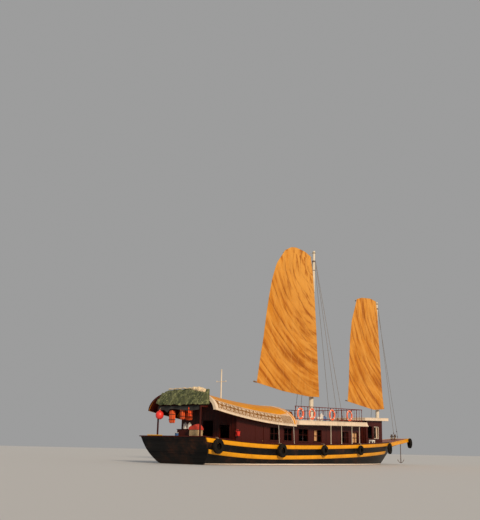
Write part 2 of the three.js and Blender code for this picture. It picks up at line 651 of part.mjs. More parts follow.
/** Railing round the sun deck's sides and fore end, with its balusters. */
function sunDeckRail() {
  const start = SUN_DECK.aft + 60;
  const end = SUN_DECK.fore - SUN_DECK.nose - 120;
  const half = SUN_DECK.half - RAIL.inset;
  const side = (sign) => {
    const topBar = loft([start, end].map((x) => {
      const z = sunDeckTop(x) + RAIL.height;
      const [inner, outer] = [sign * half - RAIL.topHalf, sign * half + RAIL.topHalf];
      return rectangle(inner, outer, z - RAIL.bar, z).map(([y, h]) => V(x, y, h));
    }));
    const lowBar = loft([start, end].map((x) => {
      const z = sunDeckTop(x) + RAIL.lowBar;
      const [inner, outer] = [sign * half - RAIL.lowHalf, sign * half + RAIL.lowHalf];
      return rectangle(inner, outer, z - RAIL.bar, z).map(([y, h]) => V(x, y, h));
    }));
    const posts = [];
    for (let i = 0; i <= RAIL.bays; i++) {
      const x = start + 30 + (end - start - 60) * i / RAIL.bays;
      const thin = i % RAIL.bay > 0;
      const foot = thin ? sunDeckTop(x) + 100 : sunDeckTop(x + 30) + FIT;
      const wide = thin ? RAIL.thinHalf : RAIL.lowHalf;
      const [y0, y1] = [sign * half - wide, sign * half + wide];
      posts.push(box(x - wide, x + wide, y0, y1, foot, sunDeckTop(x) + RAIL.height - 20));
    }
    return [topBar, lowBar, ...posts];
  };
  const z = sunDeckTop(end) + RAIL.height;
  const foreTop = box(end - 60, end, -half, half, z - RAIL.bar, z - 1);
  const low = sunDeckTop(end) + RAIL.lowBar;
  const foreLow = box(end - 50, end - 5, -half, half, low - RAIL.bar, low - 1);
  const foot = sunDeckTop(end) + FIT;
  const forePosts = RAIL_FORE_POSTS.map((y) => box(end - 50, end - 8, y - 20, y + 20, foot, z - 20));
  return joined(foreTop, foreLow, ...forePosts, ...side(-1), ...side(1));
}

/** Walls of the wheelhouse in one joined box, its windows and doorway cut. */
function wheelhouseWalls() {
  const { aft, fore, half, wall, roofBottom } = WHEELHOUSE;
  const foot = deckUnder(fore) + FIT;
  const head = (x) => roofBottom + WHEELHOUSE_ROOF.slope * (x - aft) - FIT;
  const outer = plateXZ([[aft, foot], [fore, foot], [fore, head(fore)], [aft, head(aft)]], -half, half);
  const room = box(aft + wall, fore - wall, wall - half, half - wall, foot - 100, 4000);
  const { sill, head: top } = WHEELHOUSE_PANES;
  return cut(
    outer, room,
    ...WHEELHOUSE_FRONT_PANES.map(([y0, y1]) => box(fore - 200, fore + 200, y0, y1, sill, top)),
    ...WHEELHOUSE_SIDE_PANES.map(([x0, x1]) => box(x0, x1, -half - 100, half + 100, sill, top)),
    box(aft - 200, aft + 200, WHEELHOUSE_DOOR.y0, WHEELHOUSE_DOOR.y1, foot + SILL, WHEELHOUSE_DOOR.head),
  );
}

/** Flat roof of the wheelhouse. */
function wheelhouseRoof() {
  const { aft, fore, half, slope } = WHEELHOUSE_ROOF;
  const low = (x) => WHEELHOUSE.roofBottom + slope * (x - WHEELHOUSE.aft);
  const high = (x) => low(x) + WHEELHOUSE.roofTop - WHEELHOUSE.roofBottom;
  return plateXZ([[aft, low(aft)], [fore, low(fore)], [fore, high(fore)], [aft, high(aft)]], -half, half);
}

// Rig

/** Stays of a mast from a band below its head down to feet given as [x, y, z]. */
function stays(mast, bandHeight, feet) {
  const at = V(mast.at + MAST_RAKE * bandHeight, 0, bandHeight);
  const bore = mastBar(mast, bandHeight - 200, bandHeight + 200, FIT);
  const band = cut(mastBar(mast, bandHeight - 60, bandHeight + 60, 40), bore);
  const lines = feet.map(([x, y, z]) => {
    const foot = V(x, y, z);
    const start = at.clone().add(foot.clone().sub(at).setZ(0).normalize().multiplyScalar(mast.tip + 45));
    return bar(start, foot, STAY, STAY, 6);
  });
  const { half, side, high } = STAY_PLATE;
  const plates = feet.map(([x, y, z]) => box(x - half, x + half, y - side, y + side, z - 10, z + high));
  return joined(band, ...lines, ...plates);
}

// Sail outlines on their own plane, [x, z] from the tack round the luff, the head and the leech to the clew
const MAIN_SAIL = {
  luff: [[14470, 4620], [14330, 6650], [14110, 9600], [13950, 11350], [13720, 13390], [13400, 14720]],
  head: [[12610, 14930], [11540, 14990], [10930, 14880], [10190, 14500]],
  leech: [
    [9200, 13370], [8730, 12260], [8410, 11110], [8090, 9660], [7800, 8010], [7510, 6780], [7150, 5060],
  ],
  foot: [[10030, 4730], [13080, 4570]],
};
const FORE_SAIL = {
  luff: [[24010, 4290], [23780, 5600], [23520, 8500], [23390, 9980], [23280, 11960], [23020, 12960]],
  head: [[22110, 13040], [20730, 12880], [19970, 12640]],
  leech: [[19560, 11690], [19170, 10870], [18860, 9400], [18730, 7990], [18600, 6140], [18380, 4560]],
  foot: [[19540, 4440], [22320, 4150]],
};

/** X of an outline's edge at height z, on straight lines between its points. */
function edgeAt(points, z) {
  const sorted = [...points].sort((a, b) => a[1] - b[1]);
  for (let i = 0; i + 1 < sorted.length; i++) {
    const [[x0, z0], [x1, z1]] = [sorted[i], sorted[i + 1]];
    if (z <= z1) return x0 + (x1 - x0) * (z - z0) / (z1 - z0);
  }
  return sorted.at(-1)[0];
}

/** Sail cloth with its battens, which are laced to the side towards the mast. */
function sail(outline, battenHeights) {
  const points = [...outline.luff, ...outline.head, ...outline.leech, ...outline.foot];
  const cloth = plateXZ(points, -SAIL_OFFSET - SAIL_THICK, -SAIL_OFFSET);
  const battens = battenHeights.map(([foreZ, aftZ]) => {
    const from = V(edgeAt(outline.luff, foreZ) - 40, -SAIL_OFFSET + 24, foreZ);
    const to = V(edgeAt(outline.leech, aftZ) - 130, -SAIL_OFFSET + 24, aftZ);
    return bar(from, to, 28, 28, 8);
  });
  return joined(cloth, ...battens);
}

/** Spar along one edge of a sail, on the side towards the mast. */
function spar(from, to, radius) {
  const y = -SAIL_OFFSET + radius;
  return bar(V(from[0], y, from[1]), V(to[0], y, to[1]), radius, radius * 0.8, 16);
}

/** Rope collar that turns round a mast at height z. */
function collar(mast, z, tall, thick) {
  const bore = mastBar(mast, z - tall, z + tall, COLLAR_CLEARANCE, 64);
  return cut(mastBar(mast, z - tall / 2, z + tall / 2, thick), bore);
}

/** Boom held to its mast by a collar and a short lashing. */
function boom(mast, from, to, radius) {
  const x = mast.at + MAST_RAKE * from[1];
  const z = from[1] + (to[1] - from[1]) * (from[0] - x) / (from[0] - to[0]);
  const lashing = bar(V(x, -mast.thick - 12, z), V(x, -SAIL_OFFSET + radius, z), 26, 26, 10);
  return joined(spar(from, to, radius), collar(mast, z, 110, 40), lashing);
}

/** Yard hung from a collar at the mast's head by its halyard. */
function yard(mast, from, to, radius, slingAt) {
  const z = mast.head - 150;
  const x = mast.at + MAST_RAKE * z;
  const slung = from[1] + (to[1] - from[1]) * (from[0] - slingAt) / (from[0] - to[0]);
  const halyard = bar(V(x - mast.tip - 10, -25, z), V(slingAt, -SAIL_OFFSET + radius, slung), STAY, STAY, 8);
  return joined(spar(from, to, radius), collar(mast, z, 100, 34), halyard);
}

// Steering and propulsion

/** Rudder blade with its stock and heel pintle. */
function rudder() {
  const { stock, fore, aft, top, heel, thick, stockRadius, pintle, pintleDepth } = RUDDER;
  const outline = [[aft, top + 110], [aft, heel + 120], [aft + 120, heel], [fore, heel], [fore, top - 60]];
  const blade = plateXZ(outline, -thick / 2, thick / 2);
  return joined(
    blade,
    bar(V(stock, 0, top - 200), V(stock, 0, 20), stockRadius, stockRadius, 24),
    bar(V(stock, 0, heel + 40), V(stock, 0, heel - pintleDepth + FIT), pintle, pintle, 24),
  );
}

/** Three-bladed propeller with its shaft. */
function propeller() {
  const { at, radius, hub, hubLength } = PROPELLER;
  const boss = bar(V(at - hubLength / 2, 0, 0), V(at + hubLength / 2, 0, 0), hub * 0.7, hub, 20);
  const shaft = bar(V(at, 0, 0), V(STERNPOST + 380, 0, 0), SHAFT_RADIUS, SHAFT_RADIUS, 24);
  const blades = [0, 1, 2].map((i) => {
    const rows = [[hub * 0.5, 100, 50], [radius * 0.45, 150, 42], [radius * 0.8, 150, 32], [radius, 60, 26]];
    const blade = loft(rows.map(([r, chord, pitch]) => {
      const angle = pitch * Math.PI / 180;
      const along = V(Math.cos(angle), Math.sin(angle), 0);
      const across = V(-Math.sin(angle), Math.cos(angle), 0);
      return [[-0.5, -5], [-0.5, 5], [0.5, 5], [0.5, -5]].map(([u, t]) => {
        const p = along.clone().multiplyScalar(u * chord).addScaledVector(across, t);
        return V(at + p.x, p.y, r);
      });
    }));
    return blade.rotateX(2 * Math.PI * i / 3);
  });
  return joined(boss, shaft, ...blades).translate(0, 0, SHAFT_HEIGHT);
}

/** Pedestal that carries the helm's axle. */
function helmPedestal() {
  const foot = deckUnder(HELM.at + 260) + FIT;
  const post = box(HELM.at + 60, HELM.at + 260, -110, 110, foot, HELM.height + 130);
  const radius = HELM.axle + RUNNING_FIT;
  const bore = bar(V(HELM.at, 0, HELM.height), V(HELM.at + HELM.bore, 0, HELM.height), radius, radius, 20);
  return cut(post, bore);
}

/** Spoked steering wheel with its axle. */
function helmWheel() {
  const { at, height, radius, axle: axleRadius } = HELM;
  const rim = new THREE.TorusGeometry(radius - 60, 18, 8, 24).rotateY(Math.PI / 2);
  const hub = bar(V(-35, 0, 0), V(35, 0, 0), 50, 50, 16);
  const axle = bar(V(0, 0, 0), V(HELM.bore - FIT, 0, 0), axleRadius, axleRadius, 20);
  const spoke = (i) => bar(V(0, 0, 20), V(0, 0, radius + 60), 13, 13, 6).rotateX(Math.PI * i / 4);
  const spokes = Array.from({ length: 8 }, (_, i) => spoke(i));
  return joined(rim, hub, axle, ...spokes).translate(at, 0, height);
}

// Fittings

/** Pair of mooring posts with a cross bar on a foot plate. */
function bitts(x, y, z, alongX) {
  const place = (g) => (alongX ? g : g.rotateZ(Math.PI / 2));
  const body = joined(
    place(box(-260, 260, -90, 90, 0, 30)),
    place(box(-200, -80, -60, 60, 10, 420)),
    place(box(80, 200, -60, 60, 10, 420)),
    place(box(-270, 270, -40, 40, 230, 300)),
  );
  return body.translate(x, y, z);
}

/** Tyre hung upright on starboard at ship's X, against the cap rail or the wale. */
function sideTyre(kind, x, centre, out) {
  const edge = (s) => sidePoint(s, sheer(s));
  const s = stationAt(x, sheer(x));
  const p = edge(s);
  const ahead = edge(s + 100);
  const yaw = Math.atan2(ahead.y - p.y, ahead.x - p.x);
  const tyre = ring(kind, V(0, 0, 0), 20, 8).rotateZ(yaw);
  return tyre.translate(p.x + Math.sin(yaw) * out, p.y - Math.cos(yaw) * out, centre);
}

/** Door leaf inside the doorway from low to high, with the barrel of its hinge standing on the sill. */
function doorLeaf(low, high, hinge) {
  const inX = high.x - low.x > high.y - low.y;
  const [gapX, gapY] = inX ? [LEAF_GAP, 0] : [0, LEAF_GAP];
  const [foot, head] = [low.z + FOOT_GAP, high.z - LEAF_GAP];
  const leaf = box(low.x + gapX, high.x - gapX, low.y + gapY, high.y - gapY, foot, head);
  const pin = [V(hinge.x, hinge.y, low.z + FIT), V(hinge.x, hinge.y, high.z - FIT)];
  const barrel = bar(...pin, HINGE_RADIUS, HINGE_RADIUS, 12);
  return joined(leaf, barrel);
}

/** Frame of posts and beams that carries the tarpaulin over the stern. */
function sternFrame() {
  const { aft, fore, left, right, crown, beam, high, post: half } = STERN_FRAME;
  const foot = TRANSOM_TOP + CAP.thick + 4.75;
  const post = (x, y, top, low) => box(x - half, x + half, y - half, y + half, low, top);
  return joined(
    post(aft, left, beam, foot), post(aft, right, beam, foot),
    box(aft - half, aft + half, right - half, left + half, beam - 80, beam),
    box(aft, fore, left - half, left + half, beam - 80, beam - 5),
    box(aft, fore, right - half, right + half, beam - 80, beam - 5),
    post(fore, crown, high, beam - 70), post(fore, right, high, beam - 70),
    box(fore - 34, fore + 34, right, left, beam - 78, beam - 2),
    box(fore - 30, fore + 30, right, crown, high - 80, high - 3),
  );
}

/** Tarpaulin over the stern frame: a solid of its outer shape, high at its fore edge, closed to starboard. */
function tarpaulin() {
  const { aft, fore, beam, high } = STERN_FRAME;
  const { over, under, belly, thick } = SHEET;
  const [x0, x1] = [aft - SHEET.aft, fore + SHEET.fore];
  const middle = (aft + fore) / 2;
  const row = ([y, fall, sag], closed) => {
    const top = high + over - fall;
    const low = beam + under - sag;
    const z = (low + top) / 2 + belly;
    const upper = [V(x0, y, low), V(x0 + 40, y, low + 110), V(middle, y, z), V(x1, y, top)];
    const hem = (x) => V(x, y, low + (SHEET_END.foreLow - low) * (x - x0) / (x1 - x0));
    const lower = closed ? [hem(x1), hem(middle), hem(x0 + 90)]
      : [V(x1, y, top - thick), V(middle, y, z - 80), V(x0 + 90, y, low + thick)];
    return [...upper, ...lower, closed ? hem(x0 + 50) : V(x0 + 50, y, low)];
  };
  const [, fall, sag] = SHEET_ROWS[0];
  const end = [SHEET_END.outer, SHEET_END.inner].map((y) => row([y, fall, sag], true));
  return loft([...end, ...SHEET_ROWS.map((place) => row(place, false))]);
}

// Assembly

const ship = new THREE.Group();

function add(name, look, geometry) {
  const mesh = new THREE.Mesh(bare(geometry), new THREE.MeshStandardMaterial(look));
  mesh.name = name;
  ship.add(mesh);
  return mesh;
}

const bothSides = (name, look, geometry) => {
  add(`${name}_starboard`, look, geometry);
  add(`${name}_port`, look, toPort(bare(geometry)));
};

add('hull', FINISH.tar, hull());
add('keel', FINISH.tar, keel());
add('transom', FINISH.tar, transom());
bothSides('bulwark', FINISH.tar, bulwark());
bothSides('upper_wale', FINISH.yellow, wale(UPPER_WALE));
bothSides('lower_wale', FINISH.yellow, wale(LOWER_WALE));
add('cap_rail', FINISH.mahogany, capRail());
add('bow_platform', FINISH.yellow, bowPlatform());
add('anchor', FINISH.steel, anchor());

add('saloon_wall_starboard', FINISH.mahogany, saloonWall(true));
add('saloon_wall_port', FINISH.mahogany, toPort(bare(saloonWall(false))));
add('saloon_bulkhead_aft', FINISH.mahogany, bulkheadAft());
add('saloon_bulkhead_fore', FINISH.mahogany, bulkheadFore());
add('aft_roof', FINISH.roof, aftRoof());
add('aft_roof_gable', FINISH.cream, roofGable());
add('sun_deck', FINISH.cream, sunDeck());
add('sun_deck_rail', FINISH.mahogany, sunDeckRail());
add('wheelhouse_walls', FINISH.mahogany, wheelhouseWalls());
add('wheelhouse_roof', FINISH.cream, wheelhouseRoof());

add('main_mast', FINISH.cream, mastBar(MAIN_MAST, deckUnder(MAIN_MAST.at + 220) + 7, MAIN_MAST.head));
add('fore_mast', FINISH.cream, mastBar(FORE_MAST, platformTop(FORE_MAST.at + 300) + 0.15, FORE_MAST.head));
const onSunDeck = (x, y) => [x, y, sunDeckTop(x + STAY_PLATE.half) + STAY_PLATE.foot];
const onPlatform = (x, y) => [x, y, platformTop(x + STAY_PLATE.half) + STAY_PLATE.foot];
add('main_stays', FINISH.rope, stays(MAIN_MAST, 14600, [
  onSunDeck(14600, -1850), onSunDeck(15300, -1850), onSunDeck(14600, 1850), onSunDeck(15300, 1850),
  onSunDeck(16500, 0),
]));
add('fore_stays', FINISH.rope, stays(FORE_MAST, 12500, [
  onPlatform(24300, -1100), onPlatform(24300, 1100), onPlatform(27000, 0),
]));

add('main_sail', FINISH.sail, sail(MAIN_SAIL, [[6100, 6500], [8100, 8400], [10100, 10300], [12000, 12000]]));
add('main_yard', FINISH.spar, yard(MAIN_MAST, [13500, 14640], [10100, 14300], SPAR_RADIUS, 12600));
add('main_boom', FINISH.spar, boom(MAIN_MAST, [14520, 4700], [6950, 5120], SPAR_RADIUS));
add('fore_sail', FINISH.sail, sail(FORE_SAIL, [[5800, 6000], [7500, 7700], [9200, 9400], [10900, 10900]]));
add('fore_yard', FINISH.spar, yard(FORE_MAST, [23080, 12740], [19880, 12500], FORE_SPAR_RADIUS, 22500));
add('fore_boom', FINISH.spar, boom(FORE_MAST, [24080, 4370], [18220, 4620], FORE_SPAR_RADIUS));

add('rudder', FINISH.tar, rudder());
add('propeller', FINISH.bronze, propeller());
add('helm_pedestal', FINISH.mahogany, helmPedestal());
add('helm_wheel', FINISH.spar, helmWheel());

const sideSill = deckUnder(SIDE_DOOR.at) + SILL;
add('saloon_side_door', FINISH.mahogany, doorLeaf(
  V(SIDE_DOOR.at, -SALOON.half + 8, sideSill),
  V(SIDE_DOOR.at + SIDE_DOOR.width, -SALOON.half + 8 + LEAF, SIDE_DOOR.head),
  V(SIDE_DOOR.at + 12, -SALOON.half + 52, 0),
));
const foreSill = deckUnder(SALOON.fore) + FIT + SILL;
add('saloon_fore_door', FINISH.mahogany, doorLeaf(
  V(SALOON.fore - 8 - LEAF, -FORE_DOOR.half, foreSill), V(SALOON.fore - 8, FORE_DOOR.half, FORE_DOOR.head),
  V(SALOON.fore - 52, FORE_DOOR.half - 12, 0),
));
const wheelhouseSill = deckUnder(WHEELHOUSE.fore) + FIT + SILL;
add('wheelhouse_door', FINISH.mahogany, doorLeaf(
  V(WHEELHOUSE.aft + 5, WHEELHOUSE_DOOR.y0, wheelhouseSill),
  V(WHEELHOUSE.aft + 5 + LEAF, WHEELHOUSE_DOOR.y1, WHEELHOUSE_DOOR.head),
  V(WHEELHOUSE.aft + 1, WHEELHOUSE_DOOR.y0 + 12, 0),
));
add('hatch_lid', FINISH.mahogany, box(
  HATCH.aft - 15, HATCH.fore + 25, -HATCH.half - 25, HATCH.half + 25, HATCH.top + FIT, HATCH.top + HATCH.lid,
));

add('stern_frame', FINISH.mahogany, sternFrame());
add('tarpaulin', FINISH.tarpaulin, tarpaulin());
add('flagpole', FINISH.cream, joined(
  bar(V(4100, 0, barrelFacet(4060, 0) + FIT), V(4100, 0, 5560), 42, 38, 12),
  bar(V(4100, -380, 4880), V(4100, 380, 4880), 18, 18, 8),
));
const drumFoot = deckUnder(660) + FIT;
add('water_drum', FINISH.blue, bar(V(950, 350, drumFoot), V(950, 350, drumFoot + 880), 290, 290, 20));

add('bitts_fore', FINISH.steel, bitts(26200, 0, platformTop(26290) + FIT, false));
add('bitts_aft', FINISH.steel, bitts(1050, -1700, deckUnder(780) - 0.5, true));

RINGS_AT.forEach((x, i) => {
  const z = sunDeckTop(x) + RING_HEIGHT;
  const y = -(SUN_DECK.half - RAIL.inset + RAIL.lowHalf + RING.tube + FIT);
  add(`lifebuoy_starboard_${i + 1}`, FINISH.orange, ring(RING, V(x, y, z), 24, 8));
  if (i % 2) add(`lifebuoy_port_${(i + 1) / 2}`, FINISH.orange, ring(RING, V(x, -y, z), 24, 8));
});

SIDE_TYRES.forEach(({ kind, at, centre, out }, i) => {
  const tyre = sideTyre(kind, at, centre, out);
  add(`tyre_starboard_${i + 1}`, FINISH.rubber, tyre);
  if (i % 2) add(`tyre_port_${(i + 1) / 2}`, FINISH.rubber, toPort(bare(tyre)));
});
const bowTyreOut = TYRE_LARGE.tube + FIT;
add('tyre_bow', FINISH.rubber, ring(TYRE_LARGE, V(0, 0, 0)).rotateZ(BOW_TYRE.turn).translate(
  PLATFORM.tip + Math.sin(BOW_TYRE.turn) * bowTyreOut,
  -PLATFORM.tipHalf - Math.cos(BOW_TYRE.turn) * bowTyreOut,
  platformTop(PLATFORM.tip) - BOW_TYRE.drop,
));

ship.position.set(-ORIGIN_FROM_TRANSOM, 0, 0);
ship.updateMatrixWorld(true);

export default ship;
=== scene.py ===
"""Looks of a two-masted wooden junk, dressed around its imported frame.

Lengths are in metres. +X points to the bow, +Y to port and +Z up, and z = 0 is the waterline. A
place along the ship that is called a station or "at" is measured from the top of the transom, ORIGIN
metres behind the frame's origin.
"""

from __future__ import annotations

import json
import logging
import math
from dataclasses import dataclass, field, replace
from enum import Enum
from typing import Callable, Iterable, Sequence

import bmesh
import bpy
import numpy as np
from mathutils import Matrix, Vector

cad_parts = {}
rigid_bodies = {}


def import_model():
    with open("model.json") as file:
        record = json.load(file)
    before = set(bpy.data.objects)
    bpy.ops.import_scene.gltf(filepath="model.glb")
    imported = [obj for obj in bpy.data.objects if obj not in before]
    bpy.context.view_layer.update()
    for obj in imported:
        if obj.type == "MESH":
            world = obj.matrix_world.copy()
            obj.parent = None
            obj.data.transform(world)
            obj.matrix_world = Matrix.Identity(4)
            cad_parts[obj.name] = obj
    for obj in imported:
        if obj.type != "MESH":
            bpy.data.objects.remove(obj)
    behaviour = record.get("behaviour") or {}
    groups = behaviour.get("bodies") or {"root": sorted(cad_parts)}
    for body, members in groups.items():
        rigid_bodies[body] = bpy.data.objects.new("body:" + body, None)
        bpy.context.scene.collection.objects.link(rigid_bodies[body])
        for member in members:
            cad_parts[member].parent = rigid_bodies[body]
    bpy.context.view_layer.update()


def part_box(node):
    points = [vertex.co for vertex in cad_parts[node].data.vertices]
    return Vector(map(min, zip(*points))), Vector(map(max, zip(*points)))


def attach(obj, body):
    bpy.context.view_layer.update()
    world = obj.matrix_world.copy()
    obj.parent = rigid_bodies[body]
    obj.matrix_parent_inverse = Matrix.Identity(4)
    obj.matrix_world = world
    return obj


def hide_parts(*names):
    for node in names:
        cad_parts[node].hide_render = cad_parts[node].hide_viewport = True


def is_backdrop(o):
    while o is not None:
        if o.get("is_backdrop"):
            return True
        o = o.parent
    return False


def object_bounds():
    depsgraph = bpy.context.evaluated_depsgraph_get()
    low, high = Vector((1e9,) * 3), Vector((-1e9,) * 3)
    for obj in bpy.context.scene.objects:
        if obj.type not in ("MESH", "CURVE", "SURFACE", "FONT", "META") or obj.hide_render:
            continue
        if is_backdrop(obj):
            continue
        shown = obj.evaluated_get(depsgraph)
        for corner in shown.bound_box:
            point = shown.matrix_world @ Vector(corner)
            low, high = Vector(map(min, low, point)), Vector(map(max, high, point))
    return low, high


LOG = logging.getLogger("junk")
Array = np.ndarray
Socket = bpy.types.NodeSocket
ORIGIN = 13.0
PHOTO_LONG_SIDE = 520
SENSOR = 36.0
SHIP = "ship"
TURN = 2 * math.pi
# Metres from fold to fold of a sail, waves of the folds over an angle, and how far these shift them; the
# sail's material paints shade into the creases from the same numbers.
FOLD_STEP, FOLD_WAVER, FOLD_SHIFT = 0.92, 5.0, 0.28
# Gap that keeps the faces of two neighbours apart.
HAIR = 0.0003
# Angle in degrees above which an edge is rounded, and the steps of the rounding.
EDGE_ANGLE, EDGE_STEPS = 40, 2


class Axis(Enum):
    """Direction in which a wood's grain or a cloth's weave runs."""

    X = 0
    Y = 1
    Z = 2


class Side(Enum):
    """Side of the ship, as the sign of Y."""

    STARBOARD = -1
    PORT = 1

    @property
    def label(self) -> str:
        """Word for the side in the names of pieces."""
        return self.name.lower()


def rng(seed: int) -> np.random.Generator:
    """Seeded source of random numbers."""
    return np.random.default_rng(seed)


def ramp(x: Array | float, low: float, high: float) -> Array | float:
    """Smooth step from 0 at low to 1 at high: t squared times (3 - 2 t)."""
    t = np.clip((np.asarray(x, float) - low) / (high - low), 0.0, 1.0)
    return t * t * (3.0 - 2.0 * t)


def ripple(u: Array, v: Array, seed: int, waves: int = 9, roughness: float = 1.3) -> Array:
    """Smooth unit noise over a plane: a sum of sine waves of random direction and phase.

    Args:
        u: First coordinate, in wave units.
        v: Second coordinate, in the same units.
        seed: Seed of the directions and phases.
        waves: Number of waves in the sum.
        roughness: Power by which short waves fade.

    Returns:
        Values mostly from -1 to 1, in the shape of u.
    """
    source = rng(seed)
    total = np.zeros(np.broadcast(u, v).shape)
    weight = 0.0
    for i in range(waves):
        turn, phase = source.uniform(0, TURN, 2)
        pitch = 1.0 + 0.75 * i
        share = pitch ** -roughness
        total = total + share * np.sin(pitch * (np.cos(turn) * u + np.sin(turn) * v) + phase)
        weight += share
    return total / weight * 1.6


def full_turn(count: int) -> Array:
    """Even angles round a circle, the last one step before the first."""
    return np.linspace(0, TURN, count + 1)[:-1]


def patch(columns: int, rows: int) -> tuple[Array, Array]:
    """Shares from 0 to 1 across and down a cloth, which spread into a grid."""
    return np.linspace(0, 1, columns)[None, :], np.linspace(0, 1, rows)[:, None]


def seam_rows(count: int, belly: float, groove: float) -> tuple[Array, Array]:
    """Rows of points over a planked face.

    Args:
        count: Planks.
        belly: Depth of a plank's middle, negative where it stands out.
        groove: Depth of the seam between two planks.

    Returns:
        Shares of the face's height, and depths.
    """
    shares, depths = [0.0], [0.0]
    for k in range(count):
        shares += [(k + 0.03) / count, (k + 0.5) / count, (k + 0.97) / count, (k + 1) / count]
        depths += [0.0, belly, 0.0, groove if k < count - 1 else 0.0]
    return np.array(shares), np.array(depths)


def node_box(name: str) -> tuple[Array, Array]:
    """Lowest and highest corner of a frame node."""
    low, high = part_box(name)
    return np.array(low), np.array(high)


def round_edges(piece: bpy.types.Object, width: float) -> None:
    """Rounds the sharp edges of a piece."""
    edge = piece.modifiers.new("Edges", "BEVEL")
    edge.width, edge.segments, edge.limit_method = width, EDGE_STEPS, "ANGLE"
    edge.angle_limit = math.radians(EDGE_ANGLE)


class Pile:
    """Closed shapes gathered into one mesh, each worked out as whole arrays."""

    def __init__(self) -> None:
        """Starts an empty pile."""
        self.points: list[Array] = []
        self.faces: list[Sequence[int]] = []
        self.count = 0

    def add(self, points: Array, faces: Iterable[Sequence[int]]) -> None:
        """Adds points and the faces that join them.

        Args:
            points: Corners, one row each.
            faces: Corner numbers of each face, counted from this call's first point.
        """
        self.points.append(np.asarray(points, float).reshape(-1, 3))
        start = self.count
        self.faces.extend([[start + int(i) for i in face] for face in faces])
        self.count += len(self.points[-1])

    def loft(self, rings: Array, caps: bool = True, closed_path: bool = False) -> None:
        """Skin through a grid of closed loops.

        Quads join point i of one loop to points i and i + 1 of the next; the first and last loop are
        filled as one face each.

        Args:
            rings: Grid of points, loops by points by 3.
            caps: Whether the two ends are filled.
            closed_path: Whether the last loop joins the first.
        """
        rings = np.asarray(rings, float)
        count, sides = rings.shape[:2]
        rows = np.arange(count if closed_path else count - 1)
        a = (rows[:, None] * sides + np.arange(sides)).ravel()
        b = (rows[:, None] * sides + (np.arange(sides) + 1) % sides).ravel()
        ahead = (((rows + 1) % count)[:, None] * sides + np.arange(sides)).ravel()
        ahead_next = (((rows + 1) % count)[:, None] * sides + (np.arange(sides) + 1) % sides).ravel()
        faces = np.stack([a, b, ahead_next, ahead], 1).tolist()
        if caps and not closed_path:
            faces.append(list(range(sides))[::-1])
            faces.append([(count - 1) * sides + i for i in range(sides)])
        self.add(rings, faces)

    def slab(self, outer: Array, inner: Array) -> None:
        """Closed plate between two grids of points of the same shape.

        Args:
            outer: Grid of the one face, rows by columns by 3.
            inner: Grid of the other face.
        """
        rows, columns = outer.shape[:2]
        number = np.arange(rows * columns).reshape(rows, columns)
        under = number + rows * columns
        quads = np.stack([number[:-1, :-1], number[1:, :-1], number[1:, 1:], number[:-1, 1:]], -1)
        back = np.stack([under[:-1, :-1], under[:-1, 1:], under[1:, 1:], under[1:, :-1]], -1)
        rim = np.concatenate([number[0, :], number[1:, -1], number[-1, -2::-1], number[-2:0:-1, 0]])
        low = rim + rows * columns
        sides = np.stack([rim, np.roll(rim, -1), np.roll(low, -1), low], -1)
        faces = np.concatenate([quads.reshape(-1, 4), back.reshape(-1, 4), sides]).tolist()
        self.add(np.concatenate([outer.reshape(-1, 3), inner.reshape(-1, 3)]), faces)

    def block(self, low: Sequence[float], high: Sequence[float]) -> None:
        """Box between two corners."""
        (x0, y0, z0), (x1, y1, z1) = low, high
        base = np.array([[x0, y0], [x1, y0], [x1, y1], [x0, y1]])
        rings = [np.column_stack([base, np.full(4, z)]) for z in (z0, z1)]
        self.loft(np.array(rings))

    def beam(self, start: Sequence[float], end: Sequence[float], width: float, depth: float,
             up: Sequence[float] = (0, 0, 1)) -> None:
        """Straight beam of rectangular section.

        Args:
            start: Middle of one end.
            end: Middle of the other end.
            width: Size across the up direction.
            depth: Size along the up direction.
            up: Direction that the depth follows.
        """
        a, b = np.asarray(start, float), np.asarray(end, float)
        along = (b - a) / np.linalg.norm(b - a)
        across = np.cross(along, up)
        across /= np.linalg.norm(across)
        rise = np.cross(across, along)
        corners = [(-1, -1), (1, -1), (1, 1), (-1, 1)]
        section = np.array([across * i * width / 2 + rise * j * depth / 2 for i, j in corners])
        self.loft(np.array([a + section, b + section]))

    def tube(self, path: Array, radius: Array | float, sides: int = 10, closed: bool = False,
             flatten: float = 1.0) -> None:
        """Round tube along a path.

        Each ring lies across the path's own direction, turned as little as can be from the last.

        Args:
            path: Points of the centreline.
            radius: One radius, or one for each point.
            sides: Corners of each ring.
            closed: Whether the path returns to its start.
            flatten: Height of the section over its width.
        """
        path = np.asarray(path, float)
        radius = np.broadcast_to(np.asarray(radius, float), len(path))
        if closed:
            along = np.roll(path, -1, 0) - np.roll(path, 1, 0)
        else:
            along = np.gradient(path, axis=0)
        along /= np.linalg.norm(along, axis=1)[:, None]
        normal = np.cross(along[0], [0, 0, 1])
        if np.linalg.norm(normal) < 0.1:
            normal = np.cross(along[0], [1, 0, 0])
        angle = np.arange(sides) * TURN / sides
        rings = []
        for point, direction, size in zip(path, along, radius):
            normal = normal - direction * (normal @ direction)
            normal /= np.linalg.norm(normal)
            other = np.cross(direction, normal)
            ring = np.cos(angle)[:, None] * normal + flatten * np.sin(angle)[:, None] * other
            rings.append(point + size * ring)
        self.loft(np.array(rings), closed_path=closed)

    def hoop(self, centre: Sequence[float], first: Sequence[float], second: Sequence[float], radius: float,
             count: int, sides: int = 8) -> None:
        """Closed round tube along an ellipse.

        Args:
            centre: Middle of the ellipse.
            first: One of its half axes.
            second: The other half axis.
            radius: Radius of the tube.
            count: Points of the ellipse.
            sides: Corners of the tube's section.
        """
        angle = full_turn(count)[:, None]
        path = np.asarray(centre, float) + np.cos(angle) * np.asarray(first, float)
        self.tube(path + np.sin(angle) * np.asarray(second, float), radius, sides, closed=True)

